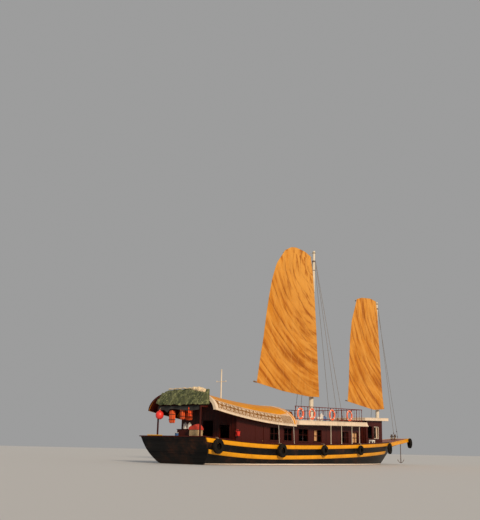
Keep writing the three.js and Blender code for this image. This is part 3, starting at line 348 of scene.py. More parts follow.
    def turned(self, profile: Sequence[tuple[float, float]], foot: Sequence[float],
               axis: Sequence[float] = (0, 0, 1), sides: int = 16) -> None:
        """Shape turned round an axis.

        Args:
            profile: Pairs of radius and distance along the axis.
            foot: Point from which the distance is measured.
            axis: Direction of the axis.
            sides: Corners of each ring.
        """
        direction = Vector(axis).normalized()
        turn = np.array(Vector((0, 0, 1)).rotation_difference(direction).to_matrix())
        angle = np.arange(sides) * TURN / sides
        circle = np.column_stack([np.cos(angle), np.sin(angle), np.zeros(sides)])
        rings = [circle * max(r, 1e-4) + [0, 0, h] for r, h in profile]
        self.loft(np.array(rings) @ turn.T + np.asarray(foot, float))

    def place(self, turn: Matrix | None = None, at: Sequence[float] = (0, 0, 0)) -> None:
        """Turns every point so far by a 3 by 3 matrix, then moves it."""
        points = np.concatenate(self.points)
        if turn is not None:
            points = points @ np.array(turn.to_3x3()).T
        self.points = [points + np.asarray(at, float)]

    def build(self, name: str, finish: Finish, body: str = SHIP, crease: float = 35.0, bevel: float = 0.0,
              replaces: Sequence[str] = (), slot: str | None = None) -> bpy.types.Object:
        """Makes the mesh object of the pile.

        Args:
            name: Name of the piece.
            finish: Its finish.
            body: Frame body that it rides on.
            crease: Angle in degrees above which an edge stays sharp.
            bevel: Width of its rounded edges, 0 for none.
            replaces: Frame nodes that it stands for.
            slot: Material slot of the record, where it isn't the finish's own; not used.

        Returns:
            The new object.
        """
        mesh = bpy.data.meshes.new(name)
        mesh.from_pydata(np.concatenate(self.points).tolist(), [], self.faces)
        shell = bmesh.new()
        shell.from_mesh(mesh)
        bmesh.ops.recalc_face_normals(shell, faces=shell.faces)
        shell.to_mesh(mesh)
        shell.free()
        mesh.materials.append(LOOK.get(finish))
        mesh.polygons.foreach_set("use_smooth", np.ones(len(mesh.polygons), bool))
        mesh.set_sharp_from_angle(angle=math.radians(crease))
        piece = bpy.data.objects.new(name, mesh)
        bpy.context.scene.collection.objects.link(piece)
        if bevel:
            round_edges(piece, bevel)
        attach(piece, body)
        if replaces:
            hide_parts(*replaces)
        LOG.info("%s: %d faces on %s", piece.name, len(mesh.polygons), body)
        return piece


class Recipe:
    """Short words for the nodes of one material."""

    def __init__(self, name: str) -> None:
        """Makes a material whose only node so far is its shader."""
        self.material = bpy.data.materials.new(name)
        self.material.use_nodes = True
        self.tree = self.material.node_tree
        self.shader = self.tree.nodes["Principled BSDF"]

    def node(self, kind: str, inputs: dict | None = None, **settings: object) -> bpy.types.Node:
        """Adds a node.

        Args:
            kind: Blender's name of the node's class, without its ShaderNode beginning.
            inputs: Value or socket of each named or numbered input.
            **settings: Properties of the node.

        Returns:
            The node.
        """
        made = self.tree.nodes.new("ShaderNode" + kind)
        for key, value in settings.items():
            setattr(made, key, value)
        for key, value in (inputs or {}).items():
            if isinstance(value, bpy.types.NodeSocket):
                self.tree.links.new(value, made.inputs[key])
            else:
                made.inputs[key].default_value = value
        return made

    def place(self, scale: Sequence[float] = (1, 1, 1), turn: Sequence[float] = (0, 0, 0),
              source: str = "Object") -> Socket:
        """Point of the surface, scaled along its axes and turned."""
        coords = self.node("TexCoord").outputs[source]
        return self.node("Mapping", {"Vector": coords, "Scale": scale, "Rotation": turn}).outputs[0]

    def noise(self, point: Socket, scale: float, detail: float = 4.0, rough: float = 0.55,
              bend: float = 0.0) -> Socket:
        """Cloudy pattern from 0 to 1."""
        return self.node("TexNoise", {"Vector": point, "Scale": scale, "Detail": detail, "Roughness": rough,
                                      "Distortion": bend}).outputs["Fac"]

    def waves(self, point: Socket, scale: float, bend: float = 2.0, axis: str = "X",
              profile: str = "SIN") -> Socket:
        """Bands across one axis, bent by noise."""
        return self.node("TexWave", {"Vector": point, "Scale": scale, "Distortion": bend, "Detail": 3.0},
                         bands_direction=axis, wave_profile=profile).outputs["Fac"]

    def shade(self, factor: Socket, low: float, high: float) -> Socket:
        """Stretches a factor so that low becomes 0 and high becomes 1."""
        return self.node("MapRange", {"Value": factor, "From Min": low, "From Max": high}).outputs["Result"]

    def count(self, operation: str, first: Socket | float, second: Socket | float = 0.0) -> Socket:
        """Arithmetic on two values."""
        return self.node("Math", {0: first, 1: second}, operation=operation).outputs[0]

    def times(self, first: Socket | float, second: Socket | float) -> Socket:
        """Product of two values."""
        return self.count("MULTIPLY", first, second)

    def plus(self, first: Socket | float, second: Socket | float) -> Socket:
        """Sum of two values."""
        return self.count("ADD", first, second)

    def part(self, point: Socket, axis: Axis) -> Socket:
        """One coordinate of a point."""
        return self.node("SeparateXYZ", {0: point}).outputs[axis.value]

    def blend(self, factor: Socket | float, first: Socket | Sequence[float], second: Socket | Sequence[float],
              mode: str = "MIX") -> Socket:
        """Mixes two colours."""
        made = self.node("Mix", data_type="RGBA", blend_type=mode)
        sockets = [s for s in made.inputs if s.enabled]
        for socket, value in zip(sockets, (factor, first, second)):
            if isinstance(value, bpy.types.NodeSocket):
                self.tree.links.new(value, socket)
            else:
                plain = not hasattr(value, "__len__") or len(value) != 3
                socket.default_value = value if plain else (*value, 1.0)
        return next(s for s in made.outputs if s.enabled)

    def finish(self, colour: Socket, rough: Socket | float, height: Socket | None = None,
               depth: float = 0.002, **constants: float | Sequence[float]) -> bpy.types.Material:
        """Joins the patterns to the shader.

        Args:
            colour: Base colour.
            rough: Roughness.
            height: Pattern of the bumps.
            depth: Height in metres that a full step of the bumps stands for.
            **constants: Plain values of other sockets, with underscores for spaces.

        Returns:
            The finished material.
        """
        self.tree.links.new(colour, self.shader.inputs["Base Color"])
        if isinstance(rough, bpy.types.NodeSocket):
            self.tree.links.new(rough, self.shader.inputs["Roughness"])
        else:
            self.shader.inputs["Roughness"].default_value = rough
        if height is not None:
            bump = self.node("Bump", {"Height": height, "Strength": 1.0, "Distance": depth})
            self.tree.links.new(bump.outputs[0], self.shader.inputs["Normal"])
        for name, value in constants.items():
            self.shader.inputs[name.replace("_", " ")].default_value = value
        return self.material


def stretched(axis: Axis, along: float, across: float) -> tuple[float, float, float]:
    """Scale of a pattern that is drawn out along one axis."""
    return tuple(along if axis.value == i else across for i in range(3))


@dataclass(frozen=True)
class Finish:
    """Surface of one kind, which knows how its material is made and its slot in the record."""

    name: str
    slot: str | None = field(default=None, kw_only=True)

    def material(self) -> bpy.types.Material:
        """Makes the material."""
        raise NotImplementedError


@dataclass(frozen=True)
class WoodPaint(Finish):
    """Brushed paint on planks, rubbed through at the edges and streaked by rain."""

    colour: tuple[float, float, float]
    worn: tuple[float, float, float]
    stain: tuple[float, float, float]
    grain: Axis = Axis.X
    wear: float = 0.35
    dirt: float = 0.5
    gloss: float = 0.45

    def material(self) -> bpy.types.Material:
        """Colour from worn patches, dirty streaks and brush marks; bumps from the grain."""
        mix = Recipe(self.name)
        point = mix.place()
        grain = mix.noise(mix.place(stretched(self.grain, 1.2, 26)), 2.4, 5.0, 0.6)
        cloud = mix.noise(point, 1.1, 5.0, 0.62)
        chips = mix.noise(mix.place(stretched(self.grain, 1.6, 6)), 2.6, 7.0, 0.72)
        streak = mix.noise(mix.place((3.2, 3.2, 0.35)), 2.2, 4.0, 0.6)
        tone = mix.blend(mix.shade(cloud, 0.3, 0.75), self.colour, [c * 0.74 for c in self.colour])
        tone = mix.blend(mix.times(mix.shade(streak, 0.5, 0.74), self.dirt), tone, self.stain)
        tone = mix.blend(mix.times(mix.shade(grain, 0.35, 0.8), 0.3), tone,
                         [c * 0.55 for c in self.colour])
        bare = mix.shade(chips, 0.74 - 0.3 * self.wear, 0.77 - 0.3 * self.wear)
        tone = mix.blend(bare, tone, self.worn)
        rough = mix.plus(mix.times(bare, 0.3), self.gloss)
        height = mix.plus(mix.times(bare, -0.5), grain)
        return mix.finish(tone, rough, height, 0.0016, Specular_IOR_Level=0.3)


@dataclass(frozen=True)
class HullPaint(Finish):
    """Black paint above the water with a pale line at it and red-brown paint below."""

    name: str = "hull_paint"
    black: tuple[float, float, float] = (0.0040, 0.0038, 0.0044)
    faded: tuple[float, float, float] = (0.014, 0.012, 0.012)
    rust: tuple[float, float, float] = (0.105, 0.036, 0.016)
    line: tuple[float, float, float] = (0.80, 0.68, 0.57)
    under: tuple[float, float, float] = (0.135, 0.042, 0.026)
    line_low: float = 0.02
    line_high: float = 0.082
    rusty: float = 0.25

    def material(self) -> bpy.types.Material:
        """Zones by height above the water, with rust, drips and a grown-over lower edge."""
        mix = Recipe(self.name)
        point = mix.place()
        cloud = mix.noise(point, 0.9, 6.0, 0.65)
        drip = mix.noise(mix.place((5.0, 5.0, 0.30)), 1.8, 5.0, 0.6)
        fine = mix.noise(mix.place((2.0, 14.0, 14.0)), 3.0, 5.0, 0.6)
        tone = mix.blend(mix.shade(cloud, 0.42, 0.8), self.black, self.faded)
        rust = mix.times(mix.shade(cloud, 0.56 - 0.2 * self.rusty, 0.72), mix.shade(drip, 0.36, 0.68))
        tone = mix.blend(mix.times(rust, 0.85), tone, self.rust)
        tone = mix.blend(mix.times(mix.shade(drip, 0.66, 0.8), 0.3), tone, (0.15, 0.13, 0.115))
        height = mix.part(point, Axis.Z)
        edge = mix.plus(height, mix.times(mix.count("SUBTRACT", cloud, 0.5), 0.03))
        band = mix.shade(edge, self.line_high + 0.006, self.line_high)
        line = mix.blend(mix.shade(drip, 0.56, 0.85), self.line, (0.40, 0.26, 0.19))
        tone = mix.blend(band, tone, line)
        below = mix.shade(edge, self.line_low + 0.005, self.line_low)
        under = mix.blend(mix.shade(cloud, 0.4, 0.75), self.under, (0.055, 0.050, 0.030))
        tone = mix.blend(below, tone, under)
        rough = mix.plus(mix.times(rust, 0.35), 0.42)
        return mix.finish(tone, rough, mix.plus(fine, rust), 0.002, Specular_IOR_Level=0.12)


@dataclass(frozen=True)
class Varnish(Finish):
    """Varnished hardwood: dark growth rings under a clear coat."""

    colour: tuple[float, float, float]
    dark: tuple[float, float, float]
    grain: Axis = Axis.X
    coat: float = 0.06

    def material(self) -> bpy.types.Material:
        """Colour from drawn-out rings and pores; a thin clear coat on top."""
        mix = Recipe(self.name)
        rings = mix.waves(mix.place(stretched(self.grain, 0.35, 5.0)), 1.6, 7.0,
                          "Z" if self.grain is not Axis.Z else "X")
        pores = mix.noise(mix.place(stretched(self.grain, 2.5, 60)), 2.0, 4.0, 0.6)
        cloud = mix.noise(mix.place(), 1.7, 3.0)
        tone = mix.blend(rings, self.colour, self.dark)
        tone = mix.blend(mix.times(mix.shade(pores, 0.5, 0.8), 0.6), tone, self.dark)
        tone = mix.blend(mix.shade(cloud, 0.35, 0.8), tone, [c * 0.6 for c in self.colour])
        rough = mix.plus(mix.times(pores, 0.25), 0.32)
        return mix.finish(tone, rough, pores, 0.0008, Coat_Weight=self.coat, Coat_Roughness=0.18,
                          Specular_IOR_Level=0.16)


@dataclass(frozen=True)
class Canvas(Finish):
    """Woven cloth with faded folds, stains and two directions of thread."""

    colour: tuple[float, float, float]
    faded: tuple[float, float, float]
    stain: tuple[float, float, float]
    threads: float = 260.0
    folds: float = 0.6
    sheen: float = 0.06
    thin: float = 0.0
    fan: tuple[float, float] | None = None
    creased: float = 0.0

    def material(self) -> bpy.types.Material:
        """Weave from two crossed waves on the cloth's own map; colour from slanting streaks."""
        mix = Recipe(self.name)
        warp = mix.waves(mix.place(source="UV"), self.threads, 0.4, "X")
        weft = mix.waves(mix.place(source="UV"), self.threads, 0.4, "Y")
        weave = mix.count("MAXIMUM", warp, weft)
        slant = mix.place((1.0, 1.0, 0.42), (0.0, 0.62, 0.0))
        streak = mix.noise(slant, 1.35, 7.0, 0.64, 0.6)
        fine = mix.noise(mix.place((1.6, 1.6, 5.5), (0.0, 0.5, 0.0)), 2.6, 6.0, 0.62, 0.9)
        cloud = mix.noise(mix.place(), 0.55, 4.0, 0.55)
        tone = mix.blend(mix.shade(streak, 0.32, 0.70), self.colour, self.faded)
        tone = mix.blend(mix.times(mix.shade(fine, 0.52, 0.80), self.folds), tone, self.stain)
        tone = mix.blend(mix.times(mix.shade(cloud, 0.5, 0.8), 0.35), tone, self.stain)
        tone = mix.blend(mix.times(weave, 0.12), tone, self.stain)
        if self.fan:
            tone = self.fanned(mix, tone)
        if self.creased:
            ridge = mix.noise(mix.place((1.0, 3.2, 1.0), (0.5, 0.0, 0.9)), 1.5, 3.0, 0.5, 1.2)
            away = mix.count("ABSOLUTE", mix.count("SUBTRACT", ridge, 0.5))
            bright = mix.times(mix.shade(away, 0.045, 0.0), self.creased)
            tone = mix.blend(bright, tone, [c * 2.1 for c in self.faded])
        height = mix.plus(mix.times(weave, 0.25), mix.times(fine, 2.2))
        return mix.finish(tone, 0.88, height, 0.004, Sheen_Weight=self.sheen, Sheen_Roughness=0.5,
                          Transmission_Weight=self.thin, Specular_IOR_Level=0.2)

    def fanned(self, mix: Recipe, tone: Socket) -> Socket:
        """Long streaks on arcs round a point beyond the luff, paler near it, with painted shade along the
        creases of the folds.

        Args:
            mix: Recipe that is being filled.
            tone: Colour so far.

        Returns:
            The colour with its streaks and its painted crease shade.
        """
        point = mix.place()
        dx = mix.count("SUBTRACT", mix.part(point, Axis.X), self.fan[0])
        dz = mix.count("SUBTRACT", mix.part(point, Axis.Z), self.fan[1])
        reach = mix.count("SQRT", mix.plus(mix.times(dx, dx), mix.times(dz, dz)))
        angle = mix.count("ARCTAN2", dz, dx)
        polar = mix.node("CombineXYZ", {0: mix.times(reach, 2.6), 1: mix.times(angle, 2.2)})
        streak = mix.noise(polar.outputs[0], 1.0, 6.0, 0.62, 0.25)
        waver = mix.times(mix.count("SINE", mix.times(angle, FOLD_WAVER)), FOLD_SHIFT)
        turns = mix.times(mix.plus(mix.times(reach, 1 / FOLD_STEP), waver), math.pi)
        ridge = mix.count("ABSOLUTE", mix.count("SINE", turns))
        tone = mix.blend(mix.shade(reach, 7.6, 3.2), tone, self.faded)
        tone = mix.blend(mix.times(mix.shade(streak, 0.50, 0.64), 0.95), tone, self.stain)
        tone = mix.blend(mix.times(mix.shade(streak, 0.47, 0.35), 0.95), tone, self.faded)
        # Painted shade: darkens the cloth along the creases of the folds that the sail's surface is given.
        crease = mix.times(mix.shade(ridge, 0.20, 0.0), mix.shade(streak, 0.36, 0.56))
        return mix.blend(mix.times(crease, 0.75), tone, [c * 0.6 for c in self.stain])


@dataclass(frozen=True)
class Plain(Finish):
    """Moulded, cast or dyed material with cloudy dirt: rubber, plastic, metal, rope or leaves."""

    colour: tuple[float, float, float]
    dirt: tuple[float, float, float]
    rough: float = 0.5
    metal: float = 0.0
    scale: float = 6.0
    grime: float = 0.6
    grit: float = 0.0008
    coat: float = 0.0

    def material(self) -> bpy.types.Material:
        """Colour from two noises, roughness and bumps from the finer one."""
        mix = Recipe(self.name)
        cloud = mix.noise(mix.place(), self.scale, 6.0, 0.62)
        fine = mix.noise(mix.place(), self.scale * 9, 4.0, 0.6)
        tone = mix.blend(mix.times(mix.shade(cloud, 0.45, 0.72), self.grime), self.colour, self.dirt)
        tone = mix.blend(mix.times(mix.shade(fine, 0.4, 0.85), 0.25), tone, self.dirt)
        rough = mix.plus(mix.times(cloud, 0.25), self.rough - 0.1)
        gleam = 0.15 if self.rough > 0.8 else 0.5
        return mix.finish(tone, rough, fine, self.grit, Metallic=self.metal, Coat_Weight=self.coat,
                          Specular_IOR_Level=gleam)


@dataclass(frozen=True)
class LaidRope(Finish):
    """Rope of three strands: slanting ridges along its own map."""

    colour: tuple[float, float, float]
    dirt: tuple[float, float, float]
    turns: float = 40.0

    def material(self) -> bpy.types.Material:
        """Ridges from a wave that slants across the rope's length and girth."""
        mix = Recipe(self.name)
        lay = mix.waves(mix.place((1, 1, 1), (0, 0, 0.6), "Object"), self.turns, 0.6, "DIAGONAL")
        cloud = mix.noise(mix.place(), 3.0, 5.0)
        tone = mix.blend(mix.shade(cloud, 0.35, 0.8), self.colour, self.dirt)
        tone = mix.blend(mix.times(lay, 0.4), tone, self.dirt)
        return mix.finish(tone, 0.85, lay, 0.003)


@dataclass(frozen=True)
class HullForm:
    """Shape of the ship's side: every point is found from a station's distance s and a height z."""

    length: float = 26.3
    transom_top: float = 1.48
    transom_rake: float = 0.56
    stem_head: float = 1.8
    stem_rake: float = 2.6
    forefoot_sweep: float = 2.1
    rabbet_depth: float = 1.05
    sheer_low: float = 1.21
    sheer_low_at: float = 6.5
    rise_aft: float = 0.27
    rise_fore: float = 0.635
    bulwark: float = 0.6
    board: float = 0.06
    beam: float = 2.75
    beam_transom: float = 2.45
    water: float = 2.5
    water_transom: float = 1.68
    keel: float = 0.09
    last_deck: float = 22.6

    def sheer(self, s: Array) -> Array:
        """Height of the bulwark's top: a square law aft of its lowest place, a gentler power ahead of it."""
        s = np.asarray(s, float)
        aft = self.rise_aft * (np.clip(self.sheer_low_at - s, 0, None) / self.sheer_low_at) ** 2
        ahead = np.clip(s - self.sheer_low_at, 0, None) / (self.length - self.sheer_low_at)
        return self.sheer_low + aft + self.rise_fore * ahead ** 1.6

    def deck(self, s: Array) -> Array:
        """Height of the deck at the side."""
        return self.sheer(s) - self.bulwark

    def rabbet(self, s: Array) -> Array:
        """Lowest line of the planking, which rises over the after third."""
        return -self.rabbet_depth + 0.98 * np.clip(1 - np.asarray(s, float) / 8.6, 0, 1) ** 1.15

    def along(self, s: Array, z: Array) -> Array:
        """Frame X of station s at height z: transom and stem lean out towards their tops."""
        s, z = np.asarray(s, float), np.asarray(z, float)
        aft = np.clip(1 - s / 5, 0, 1) ** 1.5
        fore = np.clip((s - 14) / (self.length - 14), 0, 1) ** 2
        below = np.clip(-z / self.rabbet_depth, 0, 1) ** 1.5
        lean = self.stem_rake * (self.stem_head - np.maximum(z, 0)) / self.stem_head
        lean = lean + self.forefoot_sweep * below
        return s + self.transom_rake * (self.transom_top - z) * aft - lean * fore - ORIGIN

    def half(self, s: Array, z: Array) -> Array:
        """Half breadth: powers of the height give full bilges, a flare above the water and full quarters."""
        s, z = np.asarray(s, float), np.asarray(z, float)
        fore_top = np.clip((s - 11) / (self.length - 11), 0, 1) ** 3.2
        aft_top = np.clip((8 - s) / 8, 0, 1) ** 2
        top = (self.beam - 0.08) * (1 - fore_top) + 0.08 - (self.beam - self.beam_transom) * aft_top
        fore = np.clip((s - 10) / (self.length - 10), 0, 1) ** 2.4
        aft = np.clip((8 - s) / 8, 0, 1) ** 1.8
        water = (self.water - 0.07) * (1 - fore) + 0.07 - (self.water - self.water_transom) * aft
        above = top - (top - water) * np.clip(1 - z / self.sheer(s), 0, 1) ** (1.12 + 1.4 * aft)
        low = self.rabbet(s)
        t = np.clip((z - low) / -low, 0, 1)
        fullness = 0.42 + 0.35 * np.maximum(fore, aft)
        narrow = self.keel * np.clip((self.length - s) / 6 + 0.6, 0, 1)
        return np.where(z >= 0, above, np.maximum(narrow, water * t ** fullness))

    def side(self, s: Array, z: Array, out: Array | float = 0.0, side: Side = Side.STARBOARD) -> Array:
        """Points of the ship's side, moved out from the planking.

        Args:
            s: Stations.
            z: Heights.
            out: Distance outside the planking.
            side: Side of the ship.

        Returns:
            Points in the frame, one more dimension than the arguments.
        """
        s, z, out = np.broadcast_arrays(np.asarray(s, float), np.asarray(z, float), out)
        return np.stack([self.along(s, z), side.value * (self.half(s, z) + out), z], -1)

    def station(self, x: float, z: float) -> float:
        """Station whose side crosses frame X at height z, read from a fine table."""
        table = np.linspace(0, self.length, 800)
        return float(np.interp(x, self.along(table, np.full(800, z)), table))

    def deck_at(self, x: Array) -> Array:
        """Deck height under frame X, read from a fine table of stations."""
        table = np.linspace(0, self.last_deck, 400)
        return np.interp(np.asarray(x, float), self.along(table, self.deck(table)), self.deck(table))


FORM = HullForm()


@dataclass(frozen=True)
class BeakForm:
    """Platform beyond the stem; at is the distance from the transom's top."""

    aft: float = 22.55
    tip: float = 27.5
    half_aft: float = 1.7
    half_tip: float = 0.7
    top_aft: float = 1.638
    top_tip: float = 2.05
    thick: float = 0.26

    def top(self, at: Array | float) -> Array:
        """Height of the platform, rising evenly to its tip."""
        share = (np.asarray(at, float) - self.aft) / (self.tip - self.aft)
        return self.top_aft + (self.top_tip - self.top_aft) * share

    def half(self, at: Array | float) -> Array:
        """Half breadth of the platform, narrowing evenly to its tip."""
        share = (np.asarray(at, float) - self.aft) / (self.tip - self.aft)
        return self.half_aft + (self.half_tip - self.half_aft) * share


BEAK = BeakForm()


@dataclass
class Finishes:
    """Every material of the ship, made once."""

    made: dict[str, bpy.types.Material] = field(default_factory=dict)

    def get(self, recipe: Finish) -> bpy.types.Material:
        """Material of a recipe, made at its first use."""
        if recipe.name not in self.made:
            self.made[recipe.name] = recipe.material()
        return self.made[recipe.name]


HULL = HullPaint(slot="tar")
TRANSOM = HullPaint("transom_paint", line_low=-0.05, line_high=-0.04, rusty=0.4, slot="tar")
YELLOW = WoodPaint("yellow_paint", (0.90, 0.385, 0.004), (0.20, 0.10, 0.03), (0.34, 0.13, 0.01), Axis.X,
                   0.25, 0.3, slot="yellow_paint")
CREAM = WoodPaint("cream_paint", (0.84, 0.69, 0.53), (0.30, 0.22, 0.14), (0.34, 0.24, 0.14), Axis.X, 0.2,
                  0.45, slot="cream_paint")
CREAM_UP = WoodPaint("cream_post_paint", (0.76, 0.68, 0.55), (0.34, 0.25, 0.16), (0.40, 0.30, 0.20), Axis.Z,
                     0.15, 0.3, slot="cream_paint")
YELLOW_ACROSS = WoodPaint("yellow_plank_paint", (0.82, 0.42, 0.03), (0.24, 0.13, 0.05), (0.34, 0.16, 0.03),
                          Axis.Y, 0.25, 0.3, slot="yellow_paint")
ROOF = WoodPaint("roof_paint", (0.75, 0.30, 0.004), (0.54, 0.27, 0.05), (0.42, 0.15, 0.008), Axis.X, 0.18,
                 0.3, slot="orange_roof")
MAHOGANY = Varnish("mahogany", (0.085, 0.011, 0.006), (0.026, 0.005, 0.004), slot="mahogany")
MAHOGANY_UP = replace(MAHOGANY, name="mahogany_upright", grain=Axis.Z)
MAHOGANY_ACROSS = replace(MAHOGANY, name="mahogany_across", grain=Axis.Y)
RAIL_RED = Varnish("rail_varnish", (0.20, 0.022, 0.012), (0.07, 0.012, 0.009), Axis.Z, slot="mahogany")
TEAK = WoodPaint("deck_boards", (0.27, 0.15, 0.075), (0.36, 0.27, 0.18), (0.10, 0.06, 0.035), Axis.X, 0.5,
                 0.5, 0.6, slot="mahogany")
SPAR = Varnish("spar_wood", (0.40, 0.22, 0.09), (0.17, 0.08, 0.03), Axis.X, 0.15, slot="spar")
SAIL = Canvas("sailcloth", (0.53, 0.182, 0.006), (0.66, 0.30, 0.05), (0.34, 0.095, 0.003), folds=0.35,
              slot="sailcloth")
SAIL_SEAM = Canvas("sail_seams", (0.50, 0.21, 0.035), (0.62, 0.32, 0.08), (0.30, 0.10, 0.012),
                   slot="sailcloth")
TARP = Canvas("green_sheet", (0.020, 0.034, 0.013), (0.115, 0.125, 0.058), (0.006, 0.012, 0.006), 140.0, 1.0,
              creased=0.8, slot="tarpaulin")
# Near-black cloth that is painted shade: under the stern's sheet and behind the wheelhouse's front panes.
SHADOW_SHEET = Canvas("dark_shade", (0.018, 0.018, 0.020), (0.05, 0.05, 0.05), (0.01, 0.01, 0.01), 140.0)
BUNDLE = Canvas("cream_bundle", (0.66, 0.50, 0.31), (0.80, 0.66, 0.44), (0.30, 0.19, 0.09), 140.0,
                slot="sailcloth")
CURTAIN = Canvas("curtain_cloth", (0.50, 0.27, 0.12), (0.62, 0.40, 0.22), (0.25, 0.12, 0.05), 90.0)
CURTAIN_PALE = Canvas("pale_curtain_cloth", (0.58, 0.40, 0.28), (0.68, 0.52, 0.38), (0.30, 0.16, 0.10), 90.0)
CURTAIN_DARK = Canvas("drawn_curtain_cloth", (0.10, 0.045, 0.022), (0.16, 0.08, 0.04), (0.04, 0.02, 0.01),
                      90.0)
RED_CLOTH = Canvas("red_cloth", (0.50, 0.025, 0.018), (0.62, 0.08, 0.05), (0.20, 0.01, 0.01), 90.0)
JACKET = Canvas("life_jacket_cloth", (0.70, 0.075, 0.012), (0.82, 0.15, 0.04), (0.26, 0.022, 0.008), 90.0,
                slot="lifebuoy")
JACKET_BRIGHT = Canvas("bright_life_jacket", (0.84, 0.065, 0.008), (0.95, 0.13, 0.03), (0.40, 0.03, 0.006),
                       90.0, slot="lifebuoy")
FLOAT_RED = Plain("red_float", (0.78, 0.035, 0.025), (0.35, 0.03, 0.02), 0.4, 0.0, 5.0, 0.5, slot="lifebuoy")
BEAK_TOP = WoodPaint("beak_top_paint", (0.30, 0.075, 0.035), (0.34, 0.20, 0.12), (0.10, 0.04, 0.02), Axis.Y,
                     0.45, 0.5, slot="mahogany")
RUBBER = Plain("tyre_rubber", (0.006, 0.0055, 0.005), (0.026, 0.019, 0.013), 0.92, 0.0, 4.0, 0.7, 0.0015,
               slot="rubber")
RING_RED = Plain("life_ring_orange", (0.80, 0.135, 0.045), (0.52, 0.10, 0.04), 0.5, 0.0, 5.0, 0.5,
                 slot="lifebuoy")
RING_BAND = Plain("life_ring_band", (0.80, 0.76, 0.70), (0.42, 0.34, 0.28), 0.5, 0.0, 9.0, 0.5,
                  slot="cream_paint")
IRON = Plain("rusty_iron", (0.16, 0.145, 0.135), (0.20, 0.075, 0.030), 0.6, 0.55, 7.0, 0.95, 0.0012,
             slot="galvanised")
BRONZE = Plain("bronze", (0.44, 0.26, 0.10), (0.10, 0.16, 0.11), 0.35, 0.95, 6.0, 0.6, slot="bronze")
BRASS = Plain("brass", (0.72, 0.46, 0.16), (0.30, 0.16, 0.05), 0.28, 1.0, 9.0, 0.4, 0.0002, slot="bronze")
BLUE = Plain("blue_plastic", (0.030, 0.13, 0.36), (0.10, 0.12, 0.14), 0.42, 0.0, 5.0, 0.5, slot="drum_blue")
WHITE = Plain("white_plastic", (0.78, 0.77, 0.73), (0.45, 0.40, 0.33), 0.42, 0.0, 6.0, 0.4, 0.0003,
              slot="cream_paint")
LEAF = Plain("leaves", (0.055, 0.14, 0.028), (0.13, 0.20, 0.045), 0.55, 0.0, 12.0, 0.9, 0.0010,
             slot="tarpaulin")
FLOWER = Plain("flowers", (0.62, 0.10, 0.16), (0.80, 0.30, 0.30), 0.6, 0.0, 14.0, 0.6, slot="lifebuoy")
CLAY = Plain("clay_pot", (0.40, 0.15, 0.07), (0.20, 0.09, 0.05), 0.8, 0.0, 9.0, 0.6, slot="orange_roof")
CRATE = WoodPaint("crate_wood", (0.50, 0.36, 0.20), (0.62, 0.50, 0.32), (0.22, 0.14, 0.08), Axis.X, 0.6, 0.4,
                  0.7, slot="cream_paint")
DARK = Plain("cabin_gloom", (0.020, 0.013, 0.010), (0.035, 0.022, 0.015), 0.8, 0.0, 2.0, 0.5, slot="mahogany")
ROPE = LaidRope("rope", (0.50, 0.42, 0.30), (0.22, 0.17, 0.11), slot="rope")
ROPE_WHITE = LaidRope("white_rope", (0.78, 0.75, 0.68), (0.42, 0.37, 0.30), slot="rope")
SCROLL = WoodPaint("scroll_paint", (0.25, 0.105, 0.012), (0.40, 0.19, 0.03), (0.09, 0.04, 0.010), Axis.X,
                   0.3, 0.3, slot="tar")
STAY = Plain("stay_wire", (0.20, 0.17, 0.14), (0.09, 0.06, 0.04), 0.6, 0.3, 8.0, 0.7, slot="rope")
LOOK = Finishes()


@dataclass
class Cloth:
    """Thin closed sheet over a grid of points, with a map that follows its weave.

    Attributes:
        name: Name of the piece.
        grid: Points of its middle, rows along the length by columns along the width.
        recipe: Its finish.
        rests_on: What it lies on or hangs from; not used.
        body: Frame body that it rides on.
        thick: Thickness.
        pieces: Separate pieces that are sewn or tied to it; not used.
    """

    name: str
    grid: Array
    recipe: Canvas
    held: str
    rests_on: Sequence[str]
    body: str = SHIP
    thick: float = 0.004
    pieces: Sequence[bpy.types.Object] = ()

    def normals(self) -> Array:
        """Unit normals of the grid, from its two directions."""
        along, across = np.gradient(self.grid, axis=0), np.gradient(self.grid, axis=1)
        normal = np.cross(along, across)
        return normal / np.maximum(np.linalg.norm(normal, axis=2), 1e-9)[..., None]

    def spans(self) -> tuple[Array, Array]:
        """Distances along each row and down each column, measured on the cloth."""
        across = np.linalg.norm(np.diff(self.grid, axis=1), axis=2)
        down = np.linalg.norm(np.diff(self.grid, axis=0), axis=2)
        zero_across, zero_down = np.zeros((len(self.grid), 1)), np.zeros((1, self.grid.shape[1]))
        return (np.concatenate([zero_across, np.cumsum(across, 1)], 1),
                np.concatenate([zero_down, np.cumsum(down, 0)], 0))

    def build(self, replaces: Sequence[str] = ()) -> bpy.types.Object:
        """Args:
            replaces: Frame nodes that it stands for.

        Returns:
            The new object.
        """
        shift = self.normals() * self.thick / 2
        u, v = self.spans()
        pile = Pile()
        pile.slab(self.grid + shift, self.grid - shift)
        cloth = pile.build(self.name, self.recipe, self.body, crease=70)
        place = np.stack([u, v], -1).reshape(-1, 2)
        corners = np.array([loop.vertex_index for loop in cloth.data.loops])
        cloth.data.uv_layers.new(name="weave").data.foreach_set("uv", np.tile(place, (2, 1))[corners].ravel())
        if replaces:
            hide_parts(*replaces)
        return cloth


